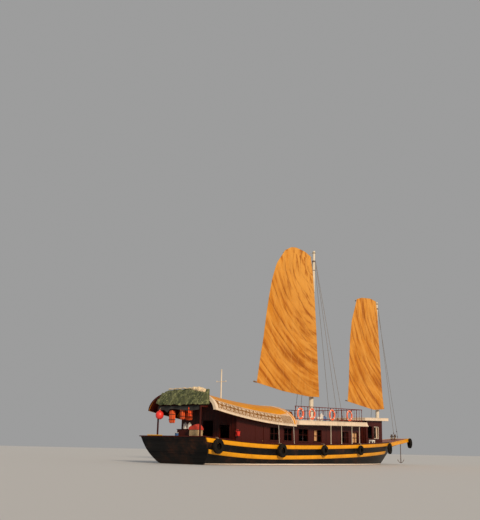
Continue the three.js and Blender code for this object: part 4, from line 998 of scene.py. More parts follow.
@dataclass
class HullPlanking:
    """Shell of lapped strakes from the keel to the deck's edge, closed by the deck."""

    strakes: int = 13
    seam: float = 0.011
    groove: float = 0.007
    bow_from: float = 22.66

    def top(self, s: Array) -> Array:
        """Top of the planking: the deck's edge, and the platform's underside at the bow."""
        z = BEAK.top(s) - BEAK.thick
        for _ in range(8):
            z = BEAK.top(FORM.along(s, z) + ORIGIN) - BEAK.thick - HAIR
        return np.where(s <= FORM.last_deck, FORM.deck(s), z)

    def rows(self) -> tuple[Array, Array]:
        """Shares of the height from keel to top, and the depth of the seams there."""
        edges = np.linspace(0, 1, self.strakes + 1)
        step = self.seam / 2 / 1.6
        shares, depths = [0.0], [0.0]
        for low, high in zip(edges[:-1], edges[1:]):
            shares += [low + step, (low + high) / 2, high - step, high]
            depths += [0.0, -0.002, 0.0, self.groove]
        depths[-1] = 0.0
        return np.array(shares), np.array(depths)

    def shell(self) -> bpy.types.Object:
        """Rings of both sides at each station; a seam's row lies groove deeper than its strakes."""
        stations = np.concatenate([np.linspace(0, FORM.last_deck, 84),
                                   np.linspace(self.bow_from, FORM.length, 16)])
        shares, depths = self.rows()
        low, high = FORM.rabbet(stations), self.top(stations)
        z = low[:, None] + (high - low)[:, None] * shares
        s = np.broadcast_to(stations[:, None], z.shape)
        starboard = FORM.side(s, z, -depths)
        port = (starboard * [1, -1, 1])[:, ::-1]
        pile = Pile()
        pile.loft(np.concatenate([starboard, port], 1))
        return pile.build("hull_planking", HULL, crease=30, replaces=["hull"])

    def deck(self) -> bpy.types.Object:
        """Deck boards that narrow with the hull: each keeps its share of the half breadth."""
        boards, thick, gap = 36, 0.022, 0.006
        s = np.linspace(0.12, FORM.last_deck - 0.02, 70)
        z = FORM.deck(s)
        half = FORM.half(s, z) - FORM.board - 0.004
        x = FORM.along(s, z)
        pile = Pile()
        edges = np.linspace(-1, 1, boards + 1)
        for left, right in zip(edges[:-1], edges[1:]):
            y = np.stack([left * half + gap / 2, right * half - gap / 2], 1)
            top = np.stack([np.stack([x, x], 1), y, np.stack([z, z], 1) + thick], -1)
            pile.slab(top, top - [0, 0, thick - 0.002])
        return pile.build("deck_boards", TEAK)

    def coaming(self) -> bpy.types.Object:
        """Four boards round the hatch, standing on the deck."""
        aft, fore, half, thick, top = 4.9, 5.8, 0.45, 0.05, 1.129
        foot = float(FORM.deck_at(5.0)) + 0.02
        pile = Pile()
        for side in (-1, 1):
            pile.block([aft, side * half - (thick if side > 0 else 0), foot],
                       [fore, side * half + (0 if side > 0 else thick), top])
        for x in (aft, fore - thick):
            pile.block([x, -half + thick, foot], [x + thick, half - thick, top])
        pile.block([aft + thick, -half + thick, foot], [fore - thick, half - thick, foot + 0.012])
        return pile.build("hatch_coaming", MAHOGANY, bevel=0.005)

    def build(self) -> None:
        """Makes the shell, the deck and the coaming."""
        self.shell()
        self.deck()
        self.coaming()
        frame_node("keel", HULL)


@dataclass
class Bulwarks:
    """Planked sides above the deck with their stanchions, the two rubbing strakes and the cap rail."""

    thick: float = 0.06
    boards: int = 3
    groove: float = 0.006
    upper: tuple[float, float] = (0.02, 0.235)
    lower: tuple[float, float] = (0.64, 0.23)
    wale: float = 0.06
    cap_out: float = 0.09
    cap_in: float = 0.06
    cap_thick: float = 0.055

    def planks(self, side: Side) -> bpy.types.Object:
        """Three boards high, with a seam between each two on both faces."""
        s = np.linspace(0, FORM.last_deck, 90)
        low, high = FORM.deck(s) + HAIR, FORM.sheer(s)
        shares, depths = seam_rows(self.boards, 0.0, self.groove)
        z = low[:, None] + (high - low)[:, None] * shares
        s_grid = np.broadcast_to(s[:, None], z.shape)
        outer = FORM.side(s_grid, z, -depths, side)
        inner = FORM.side(s_grid, z, depths - self.thick, side)
        pile = Pile()
        pile.loft(np.concatenate([outer, inner[:, ::-1]], 1))
        for at in np.arange(1.0, FORM.last_deck - 0.5, 0.95):
            foot, head = float(FORM.deck(at)) + 0.02, float(FORM.sheer(at)) - 0.012
            z = np.array([foot, head])
            face = FORM.side(np.full(2, at), z, -self.thick + 0.004, side)
            lean = face[:, 1] - side.value * 0.045
            corners = [(-0.035, face[:, 1]), (0.035, face[:, 1]), (0.035, lean), (-0.035, lean)]
            pile.loft(np.array([[[face[i, 0] + dx, y[i], z[i]] for dx, y in corners] for i in range(2)]))
        name = f"bulwark_{side.label}"
        return pile.build(name + "_planks", HULL, replaces=[name])

    def strake(self, side: Side, which: str, top: float, depth: float) -> bpy.types.Object:
        """Rubbing strake: a section with two rounded outer corners carried along the side."""
        s = np.linspace(0, FORM.last_deck, 110)
        high = FORM.sheer(s) - top
        shape = [(0.0, 0.0), (0.0, 0.72), (0.06, 0.93), (0.16, 1.0), (0.84, 1.0), (0.94, 0.93), (1.0, 0.72),
                 (1.0, 0.0)]
        drop, out = np.array(shape).T
        z = high[:, None] - depth * drop
        dents = 0.0012 * ripple(s[:, None] * 9 + 0 * z, z * 30, 5 + int(top * 10))
        rings = FORM.side(np.broadcast_to(s[:, None], z.shape), z,
                          HAIR + self.wale * out + dents * (out > 0.5), side)
        pile = Pile()
        pile.loft(rings)
        name = f"{which}_wale_{side.label}"
        return pile.build(name + "_strake", YELLOW, replaces=[name])

    def cap(self) -> bpy.types.Object:
        """Cap rail of both sides and the transom: one section in a U-shaped run with mitred corners."""
        s = np.linspace(0.8, FORM.last_deck, 90)
        fall = float((FORM.sheer(0) - FORM.sheer(0.8)) / (FORM.along(0.8, FORM.sheer(0.8)) + ORIGIN))
        shape = np.array([(0.0, 0.0), (0.0, 0.7), (0.09, 1.0), (0.91, 1.0), (1.0, 0.7), (1.0, 0.0)])
        wide = self.cap_out + self.thick + self.cap_in

        def section(points: Array, outer_x: float = 0.0, inner_x: float = 0.0) -> Array:
            """Loops of the rail beside points of the bulwark's top edge."""
            y = points[:, 1, None] - self.cap_out + wide * shape[:, 0]
            shift = outer_x + (inner_x - outer_x) * shape[:, 0]
            x = points[:, 0, None] + shift
            z = points[:, 2, None] + HAIR - fall * shift * (np.abs(shift) > 0) + self.cap_thick * shape[:, 1]
            return np.stack([x, y, z], -1)

        side = section(FORM.side(s, FORM.sheer(s)))[::-1]
        corner = section(FORM.side(np.zeros(1), FORM.sheer(np.zeros(1))), -0.14, 0.12)
        starboard = np.concatenate([side, corner])
        pile = Pile()
        pile.loft(np.concatenate([starboard, (starboard * [1, -1, 1])[::-1]]))
        return pile.build("cap_rail_moulding", MAHOGANY, replaces=["cap_rail"])

    def build(self) -> None:
        """Makes both sides and the rail that crowns them."""
        for side in Side:
            self.planks(side)
            self.strake(side, "upper", *self.upper)
            self.strake(side, "lower", *self.lower)
        self.cap()


@dataclass
class Transom:
    """Raked board across the stern, of level planks between two edge posts."""

    thick: float = 0.08
    planks: int = 7
    groove: float = 0.008

    def build(self) -> None:
        """Planks as rows of a grid, sunk at their seams; an arched trim follows the outline."""
        low, high = float(FORM.rabbet(0)), FORM.transom_top - 0.001
        shares, depths = seam_rows(self.planks, -0.001, self.groove)
        z = low + (high - low) * shares
        v = np.linspace(-1, 1, 41)
        half = FORM.half(np.zeros_like(z), z)
        x = FORM.along(np.zeros_like(z), z) - HAIR
        warp = 0.003 * ripple(v[None, :] * 5 + 0 * z[:, None], z[:, None] * 9, 11)
        face = (x - self.thick + depths)[:, None] + warp
        outer = np.stack(np.broadcast_arrays(face, half[:, None] * v, z[:, None]), -1)
        inner = np.stack(np.broadcast_arrays(x[:, None], half[:, None] * v, z[:, None]), -1)
        pile = Pile()
        pile.slab(outer, inner)
        pile.build("transom_planks", TRANSOM, replaces=["transom"])
        self.trim()

    def trim(self) -> None:
        """Half-round bead that runs down one edge of the transom, and two level battens."""
        z = np.linspace(0.06, FORM.transom_top - 0.03, 24)
        edge = np.stack([FORM.along(0 * z, z) - self.thick - 0.002, FORM.half(0 * z, z) - 0.05, z], 1)
        pile = Pile()
        for side in (-1, 1):
            pile.tube(edge * [1, side, 1], 0.02, 8)
        for height in (0.62, 1.30):
            reach = float(FORM.half(0, height)) - 0.09
            x = float(FORM.along(0, height)) - self.thick - 0.006
            pile.beam([x, -reach, height], [x, reach, height], 0.05, 0.055)
        pile.build("transom_trim", TRANSOM, bevel=0.006)


def frame_node(name: str, recipe: Finish,
               bevel: float = 0.0) -> None:
    """Dresses a frame node that stays, and rounds its edges where a width is given."""
    node = bpy.data.objects[name]
    node.data.materials.clear()
    node.data.materials.append(LOOK.get(recipe))
    if bevel:
        round_edges(node, bevel)


@dataclass(frozen=True)
class CabinForm:
    """Shapes that the roofs, walls and decks of the cabins share; lengths along are stations."""

    roof_aft: float = 0.6
    roof_fore: float = 8.42
    roof_half: float = 2.62
    eave_low: float = 2.35
    eave_lift: float = 0.62
    rise_aft: float = 1.15
    rise_fore: float = 1.30
    roof_thick: float = 0.07
    deck_aft: float = 8.46
    deck_fore: float = 17.25
    deck_half: float = 2.76
    deck_height: float = 2.7446
    deck_slope: float = 0.0236
    deck_thick: float = 0.29
    deck_nose: float = 0.25
    wall_half: float = 2.15
    wall_aft: float = 3.0
    wall_fore: float = 17.15

    def eave(self, at: Array) -> Array:
        """Height of the barrel roof's lower edge, swept up at the stern."""
        share = (self.roof_fore - np.asarray(at, float)) / (self.roof_fore - self.roof_aft)
        return self.eave_low + self.eave_lift * np.clip(share, 0, None) ** 2

    def rise(self, at: Array) -> Array:
        """Height of the barrel roof's crown over its eave."""
        share = (self.roof_fore - np.asarray(at, float)) / (self.roof_fore - self.roof_aft)
        return self.rise_fore + (self.rise_aft - self.rise_fore) * share

    def barrel(self, at: Array, turn: Array, inset: Array | float = 0.0) -> Array:
        """Points of the barrel roof.

        Half breadth times -cos(turn) across, and the rise times (1 - |cos(turn)|^2.2)^0.5 up.

        Args:
            at: Stations along the ship.
            turn: Angle from the starboard eave, 0 to pi.
            inset: Depth below the outer skin.

        Returns:
            Points in the frame.
        """
        at, turn, inset = np.broadcast_arrays(np.asarray(at, float), turn, inset)
        over = np.sqrt(np.clip(1 - np.abs(np.cos(turn)) ** 2.2, 0, 1))
        y = -(self.roof_half - inset) * np.cos(turn)
        return np.stack([at - ORIGIN, y, self.eave(at) + (self.rise(at) - inset) * over], -1)

    def skin(self, at: Array, arc: Array, out: Array | float = 0.0, side: Side = Side.STARBOARD) -> Array:
        """Points on the barrel roof's skin, placed by their distance up from the eave.

        Args:
            at: Stations along the ship.
            arc: Distances from the eave, measured round the skin.
            out: Distance outside the skin.
            side: Side of the ship.

        Returns:
            Points in the frame.
        """
        at, arc, out = np.broadcast_arrays(np.asarray(at, float), arc, out)
        turns = np.linspace(0, math.pi / 2, 240)
        found = []
        for end in (self.roof_aft, self.roof_fore):
            steps = np.linalg.norm(np.diff(self.barrel(end, turns), axis=0), axis=1)
            found.append(np.interp(arc, np.concatenate([[0], np.cumsum(steps)]), turns))
        share = (at - self.roof_aft) / (self.roof_fore - self.roof_aft)
        turn = found[0] + (found[1] - found[0]) * share
        point = self.barrel(at, turn)
        tangent = self.barrel(at, turn + 0.01) - point
        normal = np.stack([0 * at, -tangent[..., 2], tangent[..., 1]], -1)
        normal /= np.linalg.norm(normal, axis=-1)[..., None]
        return (point + normal * out[..., None]) * [1, -side.value, 1]

    def deck_top(self, at: Array) -> Array:
        """Height of the sun deck."""
        return self.deck_height + self.deck_slope * (np.asarray(at, float) - self.deck_aft)

    def ceiling(self, at: Array) -> Array:
        """Height of the roof's or the sun deck's underside over the side walls."""
        inset = self.roof_half - self.roof_thick
        over = math.sqrt(1 - (self.wall_half / inset) ** 2.2)
        barrel = self.eave(at) + (self.rise(at) - self.roof_thick) * over
        return np.where(np.asarray(at) < self.roof_fore, barrel - 0.012,
                        self.deck_top(at) - self.deck_thick - 0.004)


CABIN = CabinForm()


@dataclass
class BarrelRoof:
    """Painted roof of narrow boards with its eave bands, scrollwork, lattice, ribs and gable rims."""

    boards: int = 30
    band: float = 0.118
    panel_top: float = 0.72
    panel: tuple[float, float] = (0.80, 6.9)
    scroll: float = 0.36
    lattice: tuple[float, float] = (6.94, 8.12)

    def shell(self) -> None:
        """Boards laid fore and aft: each seam is a shallow groove in the outer skin."""
        at = np.linspace(CABIN.roof_aft, CABIN.roof_fore, 84)
        edges = np.linspace(0, math.pi, self.boards + 1)
        step = 0.0035
        turns = np.concatenate([[low + step, (low + high) / 2, high - step, high] for low, high in
                                zip(edges[:-1], edges[1:])])
        turns = np.concatenate([[0.0], turns])
        inset = np.concatenate([[0.0], np.tile([0.0, 0.0, 0.0, 0.005], self.boards)])
        inset[-1] = 0.0
        wave = 0.004 * ripple(at[:, None] * 1.7 + 0 * turns, turns * 5 + 0 * at[:, None], 3)
        pile = Pile()
        pile.slab(CABIN.barrel(at[:, None], turns, inset + wave + 0.004),
                  CABIN.barrel(at[:, None], turns, CABIN.roof_thick))
        pile.build("barrel_roof_boards", ROOF, crease=25, replaces=["aft_roof"])

    def ribs(self) -> None:
        """Bent beams under the roof, and the moulding round its after edge."""
        turns = np.linspace(0.0, math.pi, 40)
        pile = Pile()
        at = np.linspace(0.62, 2.95, 14)[:, None]
        pile.slab(CABIN.barrel(at, turns, 0.0704), CABIN.barrel(at, turns, 0.0765))
        for at in (0.75, 1.3, 1.85, 2.4, 2.9):
            rings = [CABIN.barrel(at + dx, turns, inset) for dx, inset in
                     ((-0.03, 0.077), (0.03, 0.077), (0.03, 0.135), (-0.03, 0.135))]
            pile.loft(np.stack(rings, 1))
        pile.build("roof_ribs", MAHOGANY_ACROSS)
        rim = Pile()
        rings = [CABIN.barrel(CABIN.roof_aft + dx, turns, inset) for dx, inset in
                 ((-0.02, -0.012), (0.05, -0.012), (0.05, 0.0), (0.0, 0.0), (0.0, 0.07), (-0.02, 0.09))]
        rim.loft(np.stack(rings, 1))
        rim.build("roof_after_rim", MAHOGANY_ACROSS, crease=40)
        barge = Pile()
        shown = np.linspace(0.0, 0.46 * math.pi, 34)
        rings = [CABIN.barrel(CABIN.roof_aft + dx, shown, inset) for dx, inset in
                 ((-0.028, -0.030), (0.17, -0.030), (0.17, -0.004), (-0.004, -0.004), (-0.004, 0.16),
                  (-0.028, 0.16))]
        barge.loft(np.stack(rings, 1))
        barge.build("roof_barge_board", CREAM, crease=40)

    def bands(self, side: Side) -> None:
        """Cream board along the eave with a bead at each edge."""
        at = np.linspace(CABIN.roof_aft + 0.01, CABIN.roof_fore - 0.01, 70)
        shape = [(0.0, 0.0), (0.0, 0.024), (0.008, 0.034), (0.030, 0.034), (0.038, 0.024), (0.040, 0.018),
                 (self.band - 0.040, 0.018), (self.band - 0.038, 0.024), (self.band - 0.030, 0.034),
                 (self.band - 0.008, 0.034), (self.band, 0.024), (self.band, 0.0)]
        rings = CABIN.skin(at[:, None], np.array([a for a, _ in shape]), np.array([o for _, o in shape]),
                           side)
        pile = Pile()
        pile.loft(rings)
        pile.build(f"eave_band_{side.label}", CREAM, crease=30)

    def fretwork(self, side: Side) -> None:
        """Dark panel above the band, with rows of cream scrolls and a bead along its top."""
        label = side.label
        at = np.linspace(self.panel[0], self.lattice[1], 70)
        arc = np.linspace(self.band + 0.004, self.panel_top, 9)
        ground = Pile()
        ground.slab(CABIN.skin(at[:, None], arc, 0.009, side), CABIN.skin(at[:, None], arc, -0.004, side))
        ground.build(f"fretwork_ground_{label}", SCROLL)
        scrolls, beads = Pile(), Pile()
        turn = np.linspace(0.0, 3.7 * math.pi, 44)
        size = 0.010 + 0.100 * (turn / turn[-1]) ** 0.85
        rows = ((self.band + 0.155, 0.0, 1), (self.band + 0.445, 0.5, -1))
        for low, shift, flip in rows:
            for middle in np.arange(self.panel[0] + 0.2 + shift * self.scroll, self.panel[1] - 0.12,
                                    self.scroll):
                phase = 0.6 * math.sin(5.1 * middle + low)
                x = middle + size * np.cos(turn + phase)
                v = low + flip * size * np.sin(turn + phase) * 1.15
                girth = 0.008 + 0.009 * np.sin(math.pi * (turn / turn[-1]) ** 0.7)
                scrolls.tube(CABIN.skin(x, v, 0.014, side), girth, 6, flatten=0.6)
                end = np.linspace(0, 1, 12)
                link_x = x[-1] + self.scroll * 0.62 * end
                link_v = v[-1] + flip * 0.17 * np.sin(end * math.pi)
                keep = link_x < self.panel[1] - 0.03
                if keep.sum() > 3:
                    scrolls.tube(CABIN.skin(link_x[keep], link_v[keep], 0.012, side), 0.011, 6, flatten=0.6)
                drop = full_turn(8)
                spot = CABIN.skin(middle + self.scroll / 2 + 0.030 * np.cos(drop),
                                  low - flip * 0.085 + 0.038 * np.sin(drop), 0.0, side)
                raised = CABIN.skin(middle + self.scroll / 2 + 0.024 * np.cos(drop),
                                    low - flip * 0.085 + 0.030 * np.sin(drop), 0.020, side)
                scrolls.loft(np.stack([spot, raised]))
        scrolls.build(f"fretwork_scrolls_{label}", CREAM)
        for height in (self.panel_top, self.band + 0.02):
            beads.tube(CABIN.skin(np.linspace(self.panel[0], self.lattice[1], 60), height, 0.008, side),
                       0.012, 8)
        for end in self.panel:
            beads.tube(CABIN.skin(np.full(9, end), np.linspace(self.band, self.panel_top, 9), 0.008, side),
                       0.016, 8)
        beads.build(f"fretwork_beads_{label}", CREAM)

    def trellis(self, side: Side) -> None:
        """Crossed laths near the fore end."""
        start, end = self.lattice
        low, high = self.band + 0.01, self.panel_top + 0.26
        step, reach = 0.165, high - low
        pile = Pile()
        for flip in (1, -1):
            for base in np.arange(start - reach, end + reach, step):
                share = np.linspace(0, 1, 26)
                at = base + flip * share * reach if flip > 0 else base + reach - share * reach
                arc = low + share * reach
                crest = low + (0.70 + 0.32 * (at - start) / (end - start)) * reach
                inside = (at > start) & (at < end) & (arc < crest)
                if inside.sum() > 3:
                    path_at, path_arc = at[inside], arc[inside]
                    out = 0.006 if flip > 0 else 0.011
                    edges = [CABIN.skin(path_at + dx, path_arc, h, side) for dx, h in
                             ((-0.023, 0.0), (-0.023, out), (0.023, out), (0.023, 0.0))]
                    pile.loft(np.stack(edges, 1))
        pile.build(f"roof_lattice_{side.label}", CREAM)

    def rims(self) -> None:
        """Double cream line round the fore arch, on the skin and on the gable board."""
        turns = np.linspace(0.0, math.pi, 64)
        pile = Pile()
        for at in (CABIN.roof_fore - 0.04, CABIN.roof_fore - 0.29):
            rings = [CABIN.barrel(at + dx, turns, -out) for dx, out in
                     ((-0.022, 0.0), (-0.022, 0.014), (-0.010, 0.024), (0.010, 0.024), (0.022, 0.014),
                      (0.022, 0.0))]
            pile.loft(np.stack(rings, 1))
        shown = turns[np.abs(np.cos(turns)) < 0.985]
        for inset, radius in ((0.02, 0.022), (0.13, 0.016)):
            arch = CABIN.barrel(CABIN.deck_aft + 0.006, shown, inset)
            pile.tube(arch, radius, 8)
        pile.build("roof_fore_rims", CREAM)
        boards = Pile()
        for y in np.arange(-2.2, 2.21, 0.2):
            turn = math.acos(-y / CABIN.roof_half)
            top = float(CABIN.barrel(CABIN.roof_fore, turn, 0.16)[2])
            boards.block([CABIN.deck_aft - ORIGIN - 0.002, y - 0.014, 2.79],
                         [CABIN.deck_aft - ORIGIN + 0.014, y + 0.014, top])
        boards.build("gable_battens", ROOF, bevel=0.003)
        frame_node("aft_roof_gable", ROOF)

    def build(self) -> None:
        """Makes the whole roof."""
        self.shell()
        self.ribs()
        self.rims()
        for side in Side:
            self.bands(side)
            self.fretwork(side)
            self.trellis(side)


@dataclass
class SunDeck:
    """Flat roof over the saloon with its fascia mouldings, deck boards, railing and life rings."""

    board: float = 0.142
    rail_height: float = 0.9
    rail_inset: float = 0.33
    bays: int = 24

    def slab(self) -> None:
        """Keeps the frame's slab, rounds its edges, and lays boards and mouldings on it."""
        frame_node("sun_deck", CREAM, 0.012)
        pile = Pile()
        thick = 0.012
        edge = CABIN.deck_half - 0.40
        for y in np.arange(-edge, edge, self.board):
            spans = [(CABIN.deck_aft + 0.05, 16.96)]
            if abs(y + self.board / 2) < 0.32:
                spans = [(CABIN.deck_aft + 0.05, 13.68), (14.26, 16.96)]
            for start, end in spans:
                at = np.linspace(start, end, 12)
                z = CABIN.deck_top(at)
                wide = np.array([y + 0.003, y + self.board - 0.003])
                top = np.stack([np.stack([at - ORIGIN] * 2, 1), np.stack([np.full(12, w) for w in wide], 1),
                                np.stack([z, z], 1) + thick], -1)
                pile.slab(top, top - [0, 0, thick - 0.001])
        pile.build("sun_deck_boards", TEAK)
        trim = Pile()
        aft, fore = CABIN.deck_aft + 0.02, CABIN.deck_fore - CABIN.deck_nose
        for side in (-1, 1):
            for drop, radius, end in ((0.022, 0.020, fore), (0.265, 0.018, CABIN.deck_fore - 0.03)):
                at = np.array([aft, end])
                trim.tube(np.stack([at - ORIGIN, np.full(2, side * (CABIN.deck_half + 0.003)),
                                    CABIN.deck_top(at) - drop], 1), radius, 10)
        for drop, at in ((0.022, fore), (0.265, CABIN.deck_fore - 0.012)):
            z = float(CABIN.deck_top(at)) - drop
            trim.tube(np.array([[at - ORIGIN, -2.76, z], [at - ORIGIN, 2.76, z]]), 0.018, 10)
        trim.build("sun_deck_mouldings", CREAM)

    def baluster(self, pile: Pile, x: float, y: float, foot: float, head: float, main: bool) -> None:
        """One turned post between two heights."""
        tall = head - foot
        if main:
            profile = [(0.026, 0.0), (0.026, 0.10), (0.019, 0.12), (0.024, 0.18), (0.017, 0.30), (0.021, 0.5),
                       (0.017, 0.7), (0.024, 0.82), (0.019, 0.88), (0.026, 0.90), (0.026, 1.0)]
        else:
            profile = [(0.012, 0.0), (0.017, 0.05), (0.010, 0.10), (0.014, 0.26), (0.0165, 0.36),
                       (0.010, 0.5), (0.0165, 0.64), (0.014, 0.74), (0.010, 0.90), (0.017, 0.95),
                       (0.012, 1.0)]
        pile.turned([(r, h * tall) for r, h in profile], [x, y, foot], sides=10)

    def railing(self) -> None:
        """Turned balusters between a low rail and a rounded hand rail, on both sides and the fore end."""
        start, end = CABIN.deck_aft + 0.06, CABIN.deck_fore - CABIN.deck_nose - 0.12
        half = CABIN.deck_half - self.rail_inset
        pile = Pile()
        oval = [(-0.034, -0.045), (0.034, -0.045), (0.036, -0.02), (0.026, -0.004), (-0.026, -0.004),
                (-0.036, -0.02)]
        for sign in (-1, 1):
            ends = []
            for at in (start, end):
                z = float(CABIN.deck_top(at)) + self.rail_height
                ends.append([[at - ORIGIN, sign * half + dy, z + dz] for dy, dz in oval])
            pile.loft(np.array(ends))
            low = [[at - ORIGIN, sign * half, float(CABIN.deck_top(at)) + 0.11] for at in (start, end)]
            pile.beam(low[0], low[1], 0.045, 0.045)
            for i in range(self.bays + 1):
                at = start + 0.03 + (end - start - 0.06) * i / self.bays
                top = float(CABIN.deck_top(at))
                main = i % 4 == 0
                foot = top + (0.012 if main else 0.12)
                self.baluster(pile, at - ORIGIN, sign * half, foot, top + self.rail_height - 0.03, main)
        x = end - 0.028 - ORIGIN
        top = float(CABIN.deck_top(end))
        hand = top + self.rail_height
        pile.loft(np.array([[[x + dy, y, hand + dz] for dy, dz in oval] for y in (-half, half)]))
        pile.beam([x, -half, top + 0.11], [x, half, top + 0.11], 0.04, 0.045)
        for y in np.linspace(-2.0, 2.0, 11):
            self.baluster(pile, x, y, top + 0.12, top + self.rail_height - 0.03, False)
        for y in (-1.6, -0.8, 0.0, 0.8, 1.6):
            self.baluster(pile, x, y, top + 0.002, top + self.rail_height - 0.03, True)
        pile.build("sun_deck_balustrade", RAIL_RED, crease=50, replaces=["sun_deck_rail"])

    def rings(self) -> None:
        """Life rings on the railing, each with four bands and a line lashed round it."""
        for node in [o.name for o in bpy.data.objects if o.name.startswith("lifebuoy_")]:
            low, high = node_box(node)
            middle = (low + high) / 2
            tube = (high[1] - low[1]) / 2
            major = (high[2] - low[2]) / 2 - tube

            def arc(angles: Array, radius: Array | float, aside: float = 0.0) -> Array:
                """Points round the ring's middle, in its plane or beside it."""
                return middle + np.stack([radius * np.cos(angles), aside + 0 * angles,
                                          radius * np.sin(angles)], 1)

            body = Pile()
            body.hoop(middle, [major, 0, 0], [0, 0, major], tube * 0.985, 48, 18)
            body.build(node + "_foam", RING_RED, replaces=[node])
            bands, line = Pile(), Pile()
            for quarter in range(4):
                middle_angle = math.pi / 4 + quarter * math.pi / 2
                span = np.linspace(-0.085, 0.085, 5) + middle_angle
                bands.tube(arc(span, major), tube * 1.03, 18)
                slack = np.linspace(middle_angle, middle_angle + math.pi / 2, 15)
                outer = major + tube + 0.010 - 0.012 * np.sin((slack - middle_angle) * 2)
                line.tube(arc(slack, outer, -0.012), 0.0065, 6)
            bands.build(node + "_bands", RING_BAND)
            line.build(node + "_line", ROPE_WHITE)

    def cans(self) -> None:
        """Water cans that stand by the railing, two white and one blue."""
        white, blue = Pile(), Pile()
        for pile, at, wide, tall in ((white, 12.0, 0.12, 0.50), (white, 11.68, 0.15, 0.27),
                                     (blue, 12.34, 0.15, 0.33)):
            foot = [at - ORIGIN, -2.16, float(CABIN.deck_top(at)) + 0.013]
            pile.turned([(0.92 * wide, 0.0), (wide, 0.015), (wide, 0.72 * tall), (0.7 * wide, 0.86 * tall),
                         (0.3 * wide, 0.90 * tall), (0.3 * wide, tall)], foot, sides=24)
        white.build("deck_cans_white", WHITE, crease=50)
        blue.build("deck_can_blue", BLUE, crease=50)

    def build(self) -> None:
        """Makes the deck and all that stands on it."""
        self.slab()
        self.railing()
        self.rings()
        self.cans()


@dataclass(frozen=True)
class Hole:
    """Opening in a wall, between two places along it and two heights."""

    start: float
    end: float
    low: float
    high: float


@dataclass
class Panelling:
    """Upright boards, framed openings and rails on the face of a wall.

    Attributes:
        name: Name of the wall.
        start: Place along the wall where it starts.
        end: Place where it ends.
        foot: Its lowest height at a place.
        head: Its top at a place.
        holes: Openings.
        point: Frame point of a place, a height and a distance out of the face.
        board: Widest board.
    """

    name: str
    start: float
    end: float
    foot: Callable[[float], float]
    head: Callable[[float], float]
    holes: Sequence[Hole]
    point: Callable[[float, float, float], Sequence[float]]
    board: float = 0.125

    def brick(self, pile: Pile, span: tuple[float, float], heights: Sequence[float], out: float,
              back: float = -0.002) -> None:
        """Block on the wall's face between two places; heights are low and high at both ends."""
        low0, high0, low1, high1 = heights
        corners = [(span[0], low0, high0), (span[1], low1, high1)]
        rings = [[self.point(at, z, o) for z, o in ((low, back), (high, back), (high, out), (low, out))]
                 for at, low, high in corners]
        pile.loft(np.array(rings))

    def boards(self) -> None:
        """Boards as near to one width as the openings let them be, each a little off the next."""
        cuts = sorted({self.start, self.end, *(h.start for h in self.holes), *(h.end for h in self.holes)})
        pile = Pile()
        chance = rng(len(self.name) * 7 + len(self.holes))
        for left, right in zip(cuts[:-1], cuts[1:]):
            count = max(1, round((right - left) / self.board))
            edges = np.linspace(left, right, count + 1)
            hole = next((h for h in self.holes if h.start <= left + 1e-6 and h.end >= right - 1e-6), None)
            for a, b in zip(edges[:-1], edges[1:]):
                out = 0.008 + chance.uniform(-0.0015, 0.0015)
                a, b = a + 0.0025, b - 0.0025
                foot, head = (self.foot(a), self.foot(b)), (self.head(a), self.head(b))
                spans = [(foot, head)]
                if hole is not None:
                    spans = [(foot, (hole.low, hole.low)), ((hole.high, hole.high), head)]
                for low, high in spans:
                    if min(high) - max(low) > 0.05:
                        self.brick(pile, (a, b), (low[0], high[0], low[1], high[1]), out)
        pile.build(self.name + "_boards", MAHOGANY_UP)

    def trim(self) -> None:
        """Skirting, top rail and a moulded frame with a sill round each opening."""
        pile = Pile()
        places = np.linspace(self.start, self.end, max(2, int((self.end - self.start) / 0.8)))
        for a, b in zip(places[:-1], places[1:]):
            blocked = any(h.low < self.foot(a) + 0.3 and h.end > a and h.start < b for h in self.holes)
            foot, head = (self.foot(a), self.foot(b)), (self.head(a), self.head(b))
            if not blocked:
                self.brick(pile, (a, b), (foot[0], foot[0] + 0.14, foot[1], foot[1] + 0.14), 0.018)
            self.brick(pile, (a, b), (head[0] - 0.10, head[0], head[1] - 0.10, head[1]), 0.018)
        for h in self.holes:
            wide, out = 0.055, 0.022
            self.brick(pile, (h.start - wide, h.start), (h.low - 0.02, h.high + wide) * 2, out)
            self.brick(pile, (h.end, h.end + wide), (h.low - 0.02, h.high + wide) * 2, out)
            self.brick(pile, (h.start, h.end), (h.high, h.high + wide) * 2, out)
            if h.low > self.foot(h.start) + 0.3:
                self.brick(pile, (h.start - wide - 0.03, h.end + wide + 0.03), (h.low - 0.06, h.low) * 2,
                           0.045)
        pile.build(self.name + "_trim", MAHOGANY, bevel=0.004)

    def build(self) -> None:
        """Makes the boards and the trim."""
        self.boards()
        self.trim()


